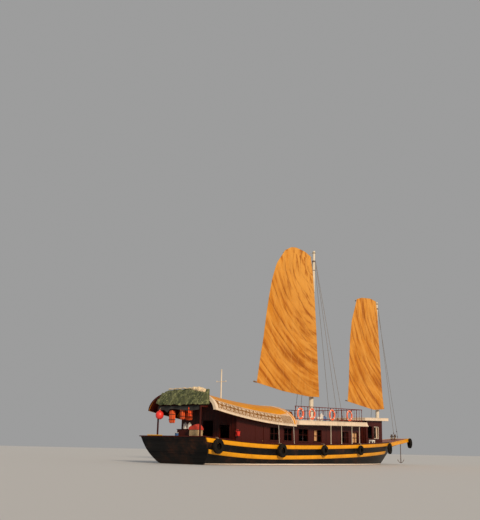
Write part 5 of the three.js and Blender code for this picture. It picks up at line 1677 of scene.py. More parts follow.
def hang_curtain(name: str, window: tuple[float, float], cloth: tuple[float, float], wall: float,
                 heights: tuple[float, float], recipe: Canvas, seed: int) -> None:
    """Hangs a cloth in folds on a bracketed rod just inside a side window.

    Args:
        name: Name of the cloth.
        window: Stations of the window's ends.
        cloth: Stations of the cloth's ends.
        wall: Distance of the wall's outer face to port, negative to starboard.
        heights: Lower and upper edge of the window.
        recipe: Finish of the cloth.
        seed: Number that varies the folds.
    """
    side = math.copysign(1.0, wall)
    low, high = heights
    u, v = patch(61, 17)
    x = cloth[0] + (cloth[1] - cloth[0]) * u - ORIGIN
    folds = max(3, round((cloth[1] - cloth[0]) / 0.09))
    swing = np.sin(TURN * folds * u + 0.7 * np.sin(3 * v + seed)) * (0.020 + 0.010 * v)
    z = high + 0.06 - 0.98 * (high + 0.02 - low) * v + 0 * u
    grid = np.stack(np.broadcast_arrays(x + 0.004 * np.sin(9 * u + 5 * v), wall - side * (0.125 + swing), z),
                    -1)
    rod = Pile()
    start, end, line = window[0] - 0.08 - ORIGIN, window[1] + 0.08 - ORIGIN, wall - side * 0.125
    rod.tube(np.array([[start, line, high + 0.065], [end, line, high + 0.065]]), 0.009, 8)
    for x_end in (start + 0.02, end - 0.02):
        ends = sorted((wall - side * 0.059, wall - side * 0.135))
        rod.block([x_end - 0.01, ends[0], high + 0.053], [x_end + 0.01, ends[1], high + 0.077])
    piece = rod.build(name + "_rod", BRASS)
    Cloth(name, grid, recipe, "gathered", [piece.name], thick=0.003).build()


# Where the two faces of each door's leaf lie, across the leaf.
DOOR_FACES = {"saloon_side_door": (-2.142, -2.102), "saloon_fore_door": (4.102, 4.142),
              "wheelhouse_door": (6.555, 6.595)}


@dataclass
class Cabin:
    """Saloon below the roofs: its panelled walls, doors, curtains, posts and dark furnishings."""

    windows: tuple[tuple[float, float], ...] = (
        (6.25, 0.9), (7.7, 0.9), (9.3, 1.1), (11.1, 0.9), (14.45, 1.0), (15.95, 0.8))
    sill: float = 1.48
    head: float = 2.23
    door: tuple[float, float, float] = (4.85, 0.76, 2.26)

    def side_wall(self, side: Side) -> None:
        """Boards and trim over one side wall, and the mullions of its windows."""
        name = f"saloon_wall_{side.label}"
        frame_node(name, MAHOGANY_UP)
        holes = [Hole(at, at + width, self.sill, self.head) for at, width in self.windows]
        if side is Side.STARBOARD:
            at, width, head = self.door
            holes.append(Hole(at, at + width, 0.0, head))
        face = CABIN.wall_half
        Panelling(name, CABIN.wall_aft, CABIN.wall_fore, lambda at: float(FORM.deck_at(at - ORIGIN)) + 0.03,
                  lambda at: float(CABIN.ceiling(at)), sorted(holes, key=lambda h: h.start),
                  lambda at, z, out: [at - ORIGIN, side.value * (face + out), z]).build()
        bars = Pile()
        for at, width in self.windows:
            x, y = at + width / 2 - ORIGIN, side.value * (face - 0.03)
            bars.block([x - 0.014, y - 0.012, self.sill], [x + 0.014, y + 0.012, self.head])
            z = self.sill + 0.52 * (self.head - self.sill)
            bars.block([at - ORIGIN, y - 0.010, z - 0.012], [at + width - ORIGIN, y + 0.010, z + 0.012])
        bars.build(f"window_bars_{side.label}", MAHOGANY_UP, bevel=0.003)

    def bulkheads(self) -> None:
        """Boards and trim on the outer faces of the two end walls."""
        inner = CABIN.wall_half - 0.061
        ends = (("saloon_bulkhead_aft", CABIN.wall_aft, -1, (0.40, 2.50), True),
                ("saloon_bulkhead_fore", CABIN.wall_fore, 1, (0.42, 2.28), False))
        for name, at, out, door, arched in ends:
            frame_node(name, MAHOGANY_UP)
            foot = float(FORM.deck_at(at - ORIGIN)) + 0.03

            def head(y: float, at: float = at, arched: bool = arched) -> float:
                """Top of the boards at y."""
                if not arched:
                    return float(CABIN.deck_top(at)) - CABIN.deck_thick - 0.006
                reach = CABIN.roof_half - CABIN.roof_thick
                over = math.sqrt(1 - min(abs(y) / reach, 1.0) ** 2.2)
                return float(CABIN.eave(at)) + (float(CABIN.rise(at)) - CABIN.roof_thick) * over - 0.05

            holes = [Hole(-1.65, -0.9, 1.49, 2.24), Hole(-door[0], door[0], 0.0, door[1]),
                     Hole(0.9, 1.65, 1.49, 2.24)]
            Panelling(name, -inner, inner, lambda y, foot=foot: foot, head, holes,
                      lambda y, z, o, at=at, out=out: [at - ORIGIN + out * o, y, z]).build()

    def leaf(self, node: str, body: str, axis: Axis, room: float) -> None:
        """Stiles, rails and two sunk panels on both faces of a door leaf, and its brass knobs.

        Args:
            node: Frame node of the leaf.
            body: Body that it swings on.
            axis: Axis along the leaf's width.
            room: Height that the rails stand off the leaf.
        """
        frame_node(node, MAHOGANY_UP)
        low, high = node_box(node)
        across = 1 - axis.value
        thick = DOOR_FACES[node]
        start, end, foot, top = low[axis.value] + 0.03, high[axis.value] - 0.03, low[2] + 0.04, high[2] - 0.04
        pile = Pile()
        stile, middle = 0.09, foot + 0.42 * (top - foot)
        pieces = [(start, start + stile, foot, top), (end - stile, end, foot, top)]
        pieces += [(start + stile, end - stile, z, z + 0.09) for z in (foot, middle, top - 0.09)]
        centre = (start + end) / 2
        pieces += [(start + stile + 0.05, end - stile - 0.05, a + 0.14, b - 0.05) for a, b in
                   ((foot, middle), (middle, top - 0.09))]
        for face, sign in ((thick[0], -1), (thick[1], 1)):
            for a, b, c, d in pieces:
                inner, outer = sorted((face - sign * 0.001, face + sign * room))
                corners = [[0.0, 0.0, c], [0.0, 0.0, d]]
                corners[0][axis.value], corners[1][axis.value] = a, b
                corners[0][across], corners[1][across] = inner, outer
                pile.block(*corners)
        pile.build(node + "_panels", MAHOGANY_UP, body, bevel=0.003)
        knob = Pile()
        for face, sign in ((thick[0], -1), (thick[1], 1)):
            direction, foot_point = [0.0, 0.0, 0.0], [0.0, 0.0, middle + 0.045]
            direction[across] = sign
            foot_point[axis.value] = end - 0.045 if node != "saloon_fore_door" else start + 0.045
            foot_point[across] = face + sign * room * 0.5
            knob.turned([(0.020, 0), (0.020, 0.004), (0.007, 0.006), (0.007, 0.018), (0.013, 0.022),
                         (0.015, 0.029), (0.009, 0.035)], foot_point, direction, 14)
        knob.build(node + "_knobs", BRASS, body)

    def curtain(self, index: int, side: Side, span: tuple[float, float], recipe: Canvas) -> None:
        """Cloth that hangs in folds just inside a window."""
        at, width = self.windows[index]
        hang_curtain(f"curtain_{side.label}_{index + 1}", (at, at + width),
                     (at + width * span[0], at + width * span[1]), side.value * CABIN.wall_half,
                     (self.sill, self.head), recipe, index)

    def curtains(self) -> None:
        """Half-drawn curtains to starboard and drawn ones to port, which darken the rooms."""
        self.curtain(3, Side.STARBOARD, (0.0, 0.56), CURTAIN)
        self.curtain(5, Side.STARBOARD, (0.12, 0.98), CURTAIN)
        for index in range(len(self.windows)):
            self.curtain(index, Side.PORT, (-0.04, 1.04), CURTAIN_DARK)

    def furnish(self) -> None:
        """Benches back to back on a partition, in the dark of the saloon."""
        pile = Pile()
        for start, end in ((5.9, 8.3), (9.0, 12.9), (14.4, 15.8)):
            z = float(FORM.deck_at(start - ORIGIN)) + 0.06
            pile.block([start - ORIGIN, -0.42, z + 0.38], [end - ORIGIN, 0.42, z + 0.44])
            pile.block([start - ORIGIN, -0.03, z + 0.44], [end - ORIGIN, 0.03, z + 1.45])
            for x in np.linspace(start + 0.1, end - 0.1, 4):
                pile.block([x - 0.03 - ORIGIN, -0.38, z - 0.02], [x + 0.03 - ORIGIN, 0.38, z + 0.38])
        pile.build("saloon_benches", DARK, bevel=0.01)

    def posts(self) -> None:
        """Thin painted posts from the cap rail to the sun deck, and two ropes from the barrel roof's eave."""
        pile, ropes = Pile(), Pile()
        for side in (-1, 1):
            for at in (12.25, 13.61, 15.02, 16.11):
                s = FORM.station(at - ORIGIN, float(FORM.sheer(at)))
                y = float(FORM.half(s, FORM.sheer(s))) - 0.015
                foot = float(FORM.sheer(s)) + 0.054
                top = float(CABIN.deck_top(at - 0.025)) - CABIN.deck_thick - 0.001
                tall = top - foot
                profile = [(0.030, 0), (0.030, 0.03), (0.020, 0.05), (0.018, 0.3), (0.021, 0.5 * tall),
                           (0.018, tall - 0.3), (0.020, tall - 0.05), (0.030, tall - 0.03), (0.030, tall)]
                pile.turned(profile, [at - ORIGIN, side * y, foot], sides=14)
            for at in (6.53, 8.12):
                eave = float(CABIN.eave(at))
                foot = float(FORM.sheer(at)) + 0.055
                ropes.tube(np.array([[at - ORIGIN, side * 2.60, eave + 0.01],
                                     [at - ORIGIN, side * 2.66, foot]]), 0.012, 8)
        pile.build("deck_posts", CREAM_UP, crease=50)
        ropes.build("eave_lashings", ROPE_WHITE)

    def build(self) -> None:
        """Makes the whole saloon."""
        for side in Side:
            self.side_wall(side)
        self.bulkheads()
        self.leaf("saloon_side_door", "side_door", Axis.X, 0.006)
        self.leaf("saloon_fore_door", "fore_door", Axis.Y, 0.006)
        self.leaf("wheelhouse_door", "wheelhouse_door", Axis.Y, 0.004)
        self.curtains()
        self.furnish()
        self.posts()


@dataclass
class Wheelhouse:
    """Steering cabin: panelled walls, pale window frames, a flat roof and the helm."""

    aft: float = 19.55
    fore: float = 22.0
    half: float = 1.25
    sill: float = 1.90
    head: float = 2.80
    wall_top: float = 3.19
    roof_thick: float = 0.22
    slope: float = 0.03
    sash_wide: float = 0.04
    sash_deep: float = 0.035
    side_panes: tuple[tuple[float, float], ...] = ((19.75, 20.45), (20.70, 21.45))
    front_panes: tuple[tuple[float, float], ...] = ((-1.0, -0.35), (-0.3, 0.3), (0.35, 1.0))

    def top(self, at: float) -> float:
        """Top of the walls."""
        return self.wall_top + self.slope * (at - self.aft) - 0.004

    def roof_top(self, at: float) -> float:
        """Top of the roof."""
        return self.wall_top + self.roof_thick + self.slope * (at - self.aft)

    def walls(self) -> None:
        """Panelling on the four walls."""
        frame_node("wheelhouse_walls", MAHOGANY_UP)
        foot = float(FORM.deck_at(self.fore - ORIGIN)) + 0.03
        for side in Side:
            holes = [Hole(a, b, self.sill, self.head) for a, b in self.side_panes]
            Panelling(f"wheelhouse_side_{side.label}", self.aft, self.fore, lambda at: foot, self.top, holes,
                      lambda at, z, out, side=side: [at - ORIGIN, side.value * (self.half + out), z]).build()
        holes = [Hole(a, b, self.sill, self.head) for a, b in self.front_panes]
        Panelling("wheelhouse_front", -self.half, self.half, lambda y: foot, lambda y: self.top(self.fore),
                  holes, lambda y, z, out: [self.fore - ORIGIN + out, y, z]).build()
        holes = [Hole(-1.05, -0.35, 0.0, 2.88)]
        Panelling("wheelhouse_back", -self.half, self.half, lambda y: foot, lambda y: self.top(self.aft),
                  holes, lambda y, z, out: [self.aft - ORIGIN - out, y, z]).build()

    def sash(self, start: float, end: float) -> list[tuple[float, float, float, float]]:
        """Bars round a window between two places, each as its own two places and two heights."""
        wide = self.sash_wide
        return [(start, start + wide, self.sill, self.head), (end - wide, end, self.sill, self.head),
                (start, end, self.sill, self.sill + wide), (start, end, self.head - wide, self.head)]

    def panes(self) -> None:
        """Pale sashes in the windows, those at the sides with a thin bar."""
        pile = Pile()
        deep, thin = self.sash_deep / 2, 0.012
        for side in (-1, 1):
            y = side * (self.half - thin)
            for start, end in self.side_panes[1:]:
                middle = (start + end) / 2
                for a, b, low, high in [*self.sash(start, end), (middle - thin, middle + thin, self.sill,
                                                                 self.head)]:
                    pile.block([a - ORIGIN, y - deep, low], [b - ORIGIN, y + deep, high])
        x = self.fore - ORIGIN - thin
        for start, end in self.front_panes:
            for a, b, low, high in self.sash(start, end):
                pile.block([x - deep, a, low], [x + deep, b, high])
        pile.build("wheelhouse_sashes", CREAM_UP, bevel=0.004)

    def roof(self) -> None:
        """Cream roof with a moulded edge and four raised seams along it."""
        frame_node("wheelhouse_roof", CREAM, 0.014)
        pile = Pile()
        aft, fore, half = 18.98, 22.6, 1.5
        for drop, radius in ((0.022, 0.017), (0.198, 0.015)):
            z = [self.roof_top(at) - drop for at in (aft, fore)]
            loop = [[aft - 0.002, -half - 0.002, z[0]], [fore + 0.002, -half - 0.002, z[1]],
                    [fore + 0.002, half + 0.002, z[1]], [aft - 0.002, half + 0.002, z[0]]]
            for a, b in zip(loop, loop[1:] + loop[:1]):
                pile.tube(np.array([a, b]) - [ORIGIN, 0, 0], radius, 8)
        pile.build("wheelhouse_roof_edge", CREAM)
        battens = Pile()
        for y in (-0.9, -0.3, 0.3, 0.9):
            z = [self.roof_top(at) + 0.006 for at in (aft + 0.06, fore - 0.06)]
            battens.beam([aft + 0.06 - ORIGIN, y, z[0]], [fore - 0.06 - ORIGIN, y, z[1]], 0.05, 0.012)
        battens.build("wheelhouse_roof_seams", CREAM)

    def curtains(self) -> None:
        """Two narrow curtains in the fore starboard window, drawn ones to port, and a near-black blind in
        front that is painted shade of the wheelhouse's inside.
        """
        start, end = self.side_panes[1]
        heights = (self.sill, self.head)
        for name, cloth in (("aft", (start + 0.02, start + 0.16)), ("fore", (end - 0.20, end - 0.02))):
            hang_curtain(f"wheelhouse_curtain_{name}", cloth, cloth, -self.half, heights, CURTAIN_PALE, 2)
        for index, (start, end) in enumerate(self.side_panes):
            hang_curtain(f"wheelhouse_curtain_port_{index + 1}", (start, end), (start - 0.03, end + 0.03),
                         self.half, heights, CURTAIN_DARK, index)
        # Painted shade: a near-black blind behind the front panes stands in for the dark inside.
        x, high = self.fore - 0.10 - ORIGIN, self.head + 0.07
        rod = Pile()
        rod.tube(np.array([[x, -self.half + 0.065, high], [x, self.half - 0.065, high]]), 0.012, 8)
        piece = rod.build("wheelhouse_blind_rod", BRASS)
        u, v = np.linspace(-1.03, 0.31, 22)[None, :], np.linspace(high - 0.014, self.sill - 0.02, 16)[:, None]
        grid = np.stack(np.broadcast_arrays(x + 0.004 * np.sin(5 * v + 3 * u), u, v), -1)
        Cloth("wheelhouse_blind", grid, SHADOW_SHEET, "hung", [piece.name], thick=0.003).build()

    def stool(self) -> None:
        """White moulded stool on the side deck: a deep seat on four broad legs, with a rung at each end."""
        x, y, top = 6.38, -1.82, 1.78
        foot = float(FORM.deck_at(x)) + 0.026
        pile = Pile()
        pile.block([x - 0.19, y - 0.15, top - 0.10], [x + 0.19, y + 0.15, top])
        for i in (-1, 1):
            for j in (-1, 1):
                inner, outer = sorted((x + 0.10 * i, x + 0.185 * i)), sorted((y + 0.115 * j, y + 0.145 * j))
                pile.block([inner[0], outer[0], foot], [inner[1], outer[1], top - 0.102])
            rung = x + 0.14 * i
            pile.block([rung - 0.012, y - 0.114, top - 0.42], [rung + 0.012, y + 0.114, top - 0.38])
        pile.build("deck_stool", WHITE, bevel=0.008)

    def helm(self) -> None:
        """Turned spokes, a jointed rim and brass caps on the wheel; a panelled pedestal."""
        centre = np.array([21.45 - ORIGIN, 0.0, 1.90])
        pile = Pile()
        for aside, radius in ((-0.011, 0.015), (0.0, 0.019), (0.011, 0.015)):
            pile.hoop(centre + [aside, 0, 0], [0, 0.27, 0], [0, 0, 0.27], radius, 64, 10)
        pile.turned([(0.045, -0.036), (0.052, -0.022), (0.052, 0.022), (0.045, 0.036)], centre, (1, 0, 0), 20)
        for i in range(8):
            angle = math.pi * i / 4
            out = (0.0, math.sin(angle), math.cos(angle))
            pile.turned([(0.015, 0.03), (0.011, 0.07), (0.016, 0.12), (0.010, 0.17), (0.013, 0.25),
                         (0.010, 0.29), (0.014, 0.335), (0.015, 0.36), (0.010, 0.388)], centre, out, 12)
        pile.turned([(0.020, 0.03), (0.020, 0.178)], centre, (1, 0, 0), 16)
        pile.build("helm_wheel_turned", SPAR, "helm", replaces=["helm_wheel"])
        cap = Pile()
        cap.turned([(0.03, -0.047), (0.034, -0.042), (0.034, -0.034)], centre, (1, 0, 0), 20)
        cap.build("helm_hub_cap", BRASS, "helm")
        frame_node("helm_pedestal", MAHOGANY_UP, 0.008)
        trim = Pile()
        x0, x1 = 8.51, 8.71
        foot, top = (float(corner[2]) for corner in node_box("helm_pedestal"))
        trim.block([x0 - 0.012, -0.122, foot + 0.002], [x1 + 0.012, 0.122, foot + 0.08])
        trim.block([x0 - 0.012, -0.122, top - 0.04], [x1 + 0.012, 0.122, top + 0.012])
        trim.build("helm_pedestal_trim", MAHOGANY, bevel=0.006)

    def build(self) -> None:
        """Makes the whole wheelhouse."""
        self.walls()
        self.panes()
        self.roof()
        self.curtains()
        self.stool()
        self.helm()


@dataclass(frozen=True)
class Mast:
    """Raked tapering mast, given in stations and heights."""

    name: str
    at: float
    foot: float
    head: float
    thick: float
    tip: float
    taper_from: float
    rake: float = 0.036

    def axis(self, z: Array | float) -> Array:
        """Point of the mast's axis at a height."""
        z = np.asarray(z, float)
        return np.stack([self.at - ORIGIN + self.rake * z, 0 * z, z], -1)

    def radius(self, z: Array | float) -> Array:
        """Radius at a height."""
        gain = (self.tip - self.thick) * (np.asarray(z, float) - self.taper_from)
        return self.thick + gain / (self.head - self.taper_from)

    def rings(self, z: Array, extra: Array | float, sides: int) -> Array:
        """Level loops round the mast, extra metres outside it."""
        angle = np.arange(sides) * TURN / sides
        z = np.asarray(z, float)
        size = self.radius(z) + extra
        circle = np.stack([np.cos(angle), np.sin(angle), 0 * angle], 1)
        return self.axis(z)[:, None, :] + size[:, None, None] * circle

    def coil(self, pile: Pile, z: float, extra: float, radius: float) -> None:
        """One turn of rope round the mast."""
        size = float(self.radius(z)) + extra
        pile.hoop(self.axis(z), [size, 0, 0], [0, size, 0], radius, 40)


MAIN_MAST = Mast("main_mast", 13.87, 0.750, 15.4, 0.190, 0.090, 0.6)
FORE_MAST = Mast("fore_mast", 23.445, 1.738, 13.05, 0.165, 0.080, 1.7)


@dataclass
class Masts:
    """Both masts with their iron bands, foot wedges and stays."""

    def mast(self, mast: Mast, bands: Sequence[float], partner: float) -> None:
        """A faceted-smooth pole with long hollows of wear, its bands, and the wedges at its foot."""
        z = np.linspace(mast.foot, mast.head, 60)
        wear = 0.0012 * ripple(z, z * 0.3, 21) - 0.001
        pile = Pile()
        pile.loft(mast.rings(z, wear, 36))
        pile.build(mast.name + "_pole", CREAM_UP, crease=50, replaces=[mast.name])
        iron, wedges = Pile(), Pile()
        for height in bands:
            heights = height + np.array([-0.03, -0.026, 0.026, 0.03])
            iron.loft(mast.rings(heights, np.array([0.0, 0.004, 0.004, 0.0]), 36))
        iron.build(mast.name + "_bands", IRON)
        for i in range(10):
            angle = TURN * i / 10
            radius = float(mast.radius(partner)) + 0.012
            out = np.array([math.cos(angle), math.sin(angle), 0.0])
            centre = mast.axis(partner) + out * radius
            wedges.beam(centre, centre + [0.036 * 0.09, 0, 0.09], 0.05, 0.026, up=out.tolist())
        wedges.build(mast.name + "_wedges", MAHOGANY, bevel=0.003)

    def stays(self, mast: Mast, band: float, feet: Sequence[Sequence[float]], node: str) -> None:
        """Taut stays: a rope, a pair of deadeyes with their lanyards, and a plate at each foot."""
        ropes, eyes, plates = Pile(), Pile(), Pile()
        heights = band + np.array([-0.06, -0.05, 0.05, 0.06])
        plates.loft(mast.rings(heights, np.array([0.001, 0.035, 0.035, 0.001]), 32))
        for foot in feet:
            end = np.array(foot, float)
            start = mast.axis(band)
            flat = (end - start) * [1, 1, 0]
            start = start + flat / np.linalg.norm(flat) * (mast.tip + 0.045)
            along = (start - end) / np.linalg.norm(start - end)
            plates.block(end - [0.06, 0.04, 0.010], end + [0.06, 0.04, 0.002])
            plates.tube(np.array([end, end + along * 0.16]), 0.014, 8)
            side = np.cross(along, [1, 0, 0])
            side /= np.linalg.norm(side)
            for reach in (0.18, 0.62):
                middle = end + along * reach
                eyes.turned([(0.030, -0.020), (0.048, -0.012), (0.050, 0.0), (0.048, 0.012), (0.030, 0.020)],
                            middle, side, 18)
            third = np.cross(along, side)
            for shift in (-0.022, 0.0, 0.022):
                ropes.tube(np.array([end + along * 0.19 + third * shift,
                                     end + along * 0.61 + third * shift]), 0.006, 6)
            share = np.linspace(0, 1, 24)[:, None]
            ropes.tube(end + along * 0.62 + share * (start - end - along * 0.62), 0.013, 8)
            for k in range(3):
                seizing = end + along * (0.70 + 0.09 * k)
                ropes.tube(np.array([seizing, seizing + along * 0.035]), 0.018, 8)
        ropes.build(node + "_ropes", STAY, replaces=[node])
        eyes.build(node + "_deadeyes", MAHOGANY, crease=50)
        plates.build(node + "_irons", IRON)

    def build(self) -> None:
        """Makes masts and stays."""
        self.mast(MAIN_MAST, (3.6, 6.4, 9.3, 12.2, 13.9), float(CABIN.deck_top(13.95)) + 0.012)
        self.mast(FORE_MAST, (3.3, 6.1, 8.9, 11.4), float(BEAK.top(FORE_MAST.at)) + 0.012)
        deck = [(x, y, float(CABIN.deck_top(x + 0.06)) + 0.0103) for x, y in
                ((14.6, -1.85), (15.3, -1.85), (14.6, 1.85), (15.3, 1.85), (16.5, 0.0))]
        self.stays(MAIN_MAST, 14.6, [(x - ORIGIN, y, z) for x, y, z in deck], "main_stays")
        feet = ((24.3, -1.1), (24.3, 1.1), (27.0, 0.0))
        beak = [(x, y, float(BEAK.top(x + 0.06)) + 0.0103) for x, y in feet]
        self.stays(FORE_MAST, 12.5, [(x - ORIGIN, y, z) for x, y, z in beak], "fore_stays")


@dataclass(frozen=True)
class SailPlan:
    """Outline of one sail on its plane, and the spars that spread it; points are (station, height)."""

    name: str
    body: str
    mast: Mast
    luff: tuple[tuple[float, float], ...]
    head: tuple[tuple[float, float], ...]
    leech: tuple[tuple[float, float], ...]
    foot: tuple[tuple[float, float], ...]
    yard: tuple[tuple[float, float], ...]
    boom: tuple[tuple[float, float], ...]
    sling: float
    spar: float
    fan: tuple[float, float]
    battens: tuple[tuple[float, float], ...]


MAIN_SAIL = SailPlan(
    "main", "main_rig", MAIN_MAST,
    luff=((14.47, 4.62), (14.33, 6.65), (14.11, 9.60), (13.95, 11.35), (13.72, 13.39), (13.40, 14.72)),
    head=((13.40, 14.72), (12.61, 14.93), (11.54, 14.99), (10.93, 14.88), (10.19, 14.50)),
    leech=((7.15, 5.06), (7.51, 6.78), (7.80, 8.01), (8.09, 9.66), (8.41, 11.11), (8.73, 12.26),
           (9.20, 13.37), (10.19, 14.50)),
    foot=((14.47, 4.62), (13.08, 4.57), (10.03, 4.73), (7.15, 5.06)),
    yard=((13.50, 14.64), (10.10, 14.30)), boom=((14.52, 4.70), (6.95, 5.12)),
    sling=12.6, spar=0.060, fan=(14.9, 14.5),
    battens=((6.1, 6.5), (8.1, 8.4), (10.1, 10.3), (12.0, 12.0)))
FORE_SAIL = SailPlan(
    "fore", "fore_rig", FORE_MAST,
    luff=((24.01, 4.29), (23.78, 5.60), (23.52, 8.50), (23.39, 9.98), (23.28, 11.96), (23.02, 12.96)),
    head=((23.02, 12.96), (22.11, 13.04), (20.73, 12.88), (19.97, 12.64)),
    leech=((18.38, 4.56), (18.60, 6.14), (18.73, 7.99), (18.86, 9.40), (19.17, 10.87), (19.56, 11.69),
           (19.97, 12.64)),
    foot=((24.01, 4.29), (22.32, 4.15), (19.54, 4.44), (18.38, 4.56)),
    yard=((23.08, 12.74), (19.88, 12.50)), boom=((24.08, 4.37), (18.22, 4.62)),
    sling=22.5, spar=0.050, fan=(27.5, 13.5),
    battens=((5.8, 6.0), (7.5, 7.7), (9.2, 9.4), (10.9, 10.9)))


@dataclass
class SailSet:
    """One sail with its cloth, seams, bolt rope, battens, spars, collars and lashings."""

    plan: SailPlan
    offset: float = 0.377
    rows: int = 120
    columns: int = 90

    def edge(self, points: Sequence[tuple[float, float]], count: int) -> Array:
        """Even steps along an edge, with its corners eased."""
        points = np.array(points, float)
        far = np.concatenate([[0], np.cumsum(np.linalg.norm(np.diff(points, axis=0), axis=1))])
        steps = np.linspace(0, far[-1], count)
        curve = np.stack([np.interp(steps, far, points[:, i]) for i in range(2)], 1)
        for _ in range(max(4, count // 8)):
            curve[1:-1] = (curve[:-2] + 2 * curve[1:-1] + curve[2:]) / 4
        return curve

    def flat(self, u: Array, v: Array) -> Array:
        """Point of the outline's patch: the four edges blended between opposite sides.

        Args:
            u: Share of the way from the luff to the leech.
            v: Share of the way from the foot to the head.

        Returns:
            Station and height, one more dimension than the arguments.
        """
        fine = np.linspace(0, 1, 160)
        plan = self.plan
        outline = (plan.luff, plan.leech, plan.foot, plan.head)
        luff, leech, foot, head = (self.edge(points, 160) for points in outline)

        def along(curve: Array, share: Array) -> Array:
            """Point of an edge."""
            return np.stack([np.interp(share, fine, curve[:, i]) for i in range(2)], -1)

        u1, v1 = u[..., None], v[..., None]
        edges = ((1 - v1) * along(foot, u) + v1 * along(head, u)
                 + (1 - u1) * along(luff, v) + u1 * along(leech, v))
        corners = ((1 - u1) * (1 - v1) * foot[0] + u1 * (1 - v1) * foot[-1]
                   + (1 - u1) * v1 * head[0] + u1 * v1 * head[-1])
        return edges - corners

    def surface(self, u: Array, v: Array, out: Array | float = 0.0) -> Array:
        """Cloth surface: it bellies between battens and falls in slanting folds.

        Args:
            u: Share of the way from the luff to the leech.
            v: Share of the way from the foot to the head.
            out: Distance to starboard of the cloth.

        Returns:
            Points in the frame.
        """
        u, v, out = np.broadcast_arrays(np.asarray(u, float), np.asarray(v, float), out)
        place = self.flat(u, v)
        x, z = place[..., 0], place[..., 1]
        bays = len(self.plan.battens) + 1
        edge = np.sin(math.pi * np.clip(u, 0, 1)) ** 0.6
        belly = 0.055 * np.abs(np.sin(math.pi * bays * v)) * edge
        dx, dz = x - self.plan.fan[0], z - self.plan.fan[1]
        reach, angle = np.hypot(dx, dz), np.arctan2(dz, dx)
        turns = math.pi * (reach / FOLD_STEP + FOLD_SHIFT * np.sin(FOLD_WAVER * angle))
        folds = 0.030 * np.abs(np.sin(turns)) ** 0.8 + 0.012 * np.sin(2.7 * turns + 2.0 * angle)
        crease = 0.005 * ripple(x * 2.1, z * 2.1, 31)
        inner = np.minimum(1.0, 8 * np.minimum(np.minimum(u, 1 - u), np.minimum(v, 1 - v)) + 0.15)
        y = -self.offset - belly - (folds + crease) * inner - out
        return np.stack([x - ORIGIN, y, z], -1)

    def cloth(self) -> None:
        """The sheet, its upright seams and its bolt rope."""
        name, body = self.plan.name, self.plan.body
        u, v = patch(self.columns, self.rows)
        grid = self.surface(u, v)
        seams = Pile()
        height = np.linspace(0.006, 0.994, 90)
        for share in np.linspace(0, 1, 9)[1:-1]:
            for face in (1, -1):
                strip = np.stack([self.surface(share + dx, height, face * depth) for dx, depth in
                                  ((-0.0016, 0.002), (-0.0016, 0.0055), (0.0016, 0.0055), (0.0016, 0.002))],
                                 1)
                seams.loft(strip)
        seam = seams.build(f"{name}_sail_seams", SAIL_SEAM, body, crease=40)
        rope = Pile()
        t = np.linspace(0, 1, 90)
        for edge_u, edge_v in ((t, 0 * t), (0 * t + 1, t), (t, 0 * t + 1), (0 * t, t)):
            rope.tube(self.surface(edge_u, edge_v), 0.011, 8)
        bolt = rope.build(f"{name}_sail_bolt_rope", ROPE, body)
        recipe = replace(SAIL, name=f"{name}_sailcloth", fan=(self.plan.fan[0] - ORIGIN, self.plan.fan[1]))
        Cloth(f"{name}_sail_cloth", grid, recipe, "stretched", [f"{name}_yard_spar", f"{name}_boom_spar"],
              body, 0.005, [seam, bolt]).build([f"{name}_sail"])

    def battens(self) -> None:
        """Bamboo battens on the side towards the mast, with nodes, lashed through the cloth."""
        bamboo, ties = Pile(), Pile()
        u = np.linspace(0.0, 0.985, 60)
        bays = len(self.plan.battens) + 1
        for k in range(1, bays):
            v = k / bays + 0 * u
            path = self.surface(u, v, -0.032)
            bulge = 0.022 + 0.003 * (np.abs(((u * 14) % 1) - 0.5) > 0.42)
            bamboo.tube(path, bulge, 10)
            for share in np.linspace(0.04, 0.96, 12):
                spot = self.surface(np.array([share]), np.array([k / bays]), -0.016)[0]
                ties.hoop(spot, [0, 0.040, 0], [0, 0, 0.032], 0.0045, 16, 6)
        bamboo.build(f"{self.plan.name}_sail_battens", SPAR, self.plan.body, crease=50)
        ties.build(f"{self.plan.name}_batten_ties", ROPE, self.plan.body)

    def spar(self, ends: Sequence[tuple[float, float]], name: str, node: str) -> None:
        """Tapered spar with end caps and the turns of the lacing that holds the sail to it."""
        plan, radius = self.plan, self.plan.spar
        y = -0.37 + radius
        a, b = (np.array([x - ORIGIN, y, z]) for x, z in ends)
        share = np.linspace(0, 1, 40)
        knots = 0.0015 * ripple(share * 40, share * 3, 41)
        pile = Pile()
        pile.tube(a + share[:, None] * (b - a), radius * (1 - 0.2 * share) + knots - 0.001, 20)
        pile.build(name, SPAR, plan.body, crease=50, replaces=[node])
        lacing = Pile()
        count = int(np.linalg.norm(b - a) / 0.34)
        for k in range(1, count):
            spot = a + (b - a) * k / count
            size = radius * (1 - 0.2 * k / count) + 0.006
            lacing.hoop(spot, [0, size, 0], [0.03, 0, size], 0.005, 18, 6)
        lacing.build(name + "_lacing", ROPE, plan.body)
        iron = Pile()
        step = (b - a) / np.linalg.norm(b - a) * 0.03
        for end in (0.004, 0.996):
            centre = a + (b - a) * end
            iron.tube(np.array([centre - step, centre + step]), radius * (1 - 0.2 * end) + 0.004, 20)
        iron.build(name + "_caps", IRON, plan.body)

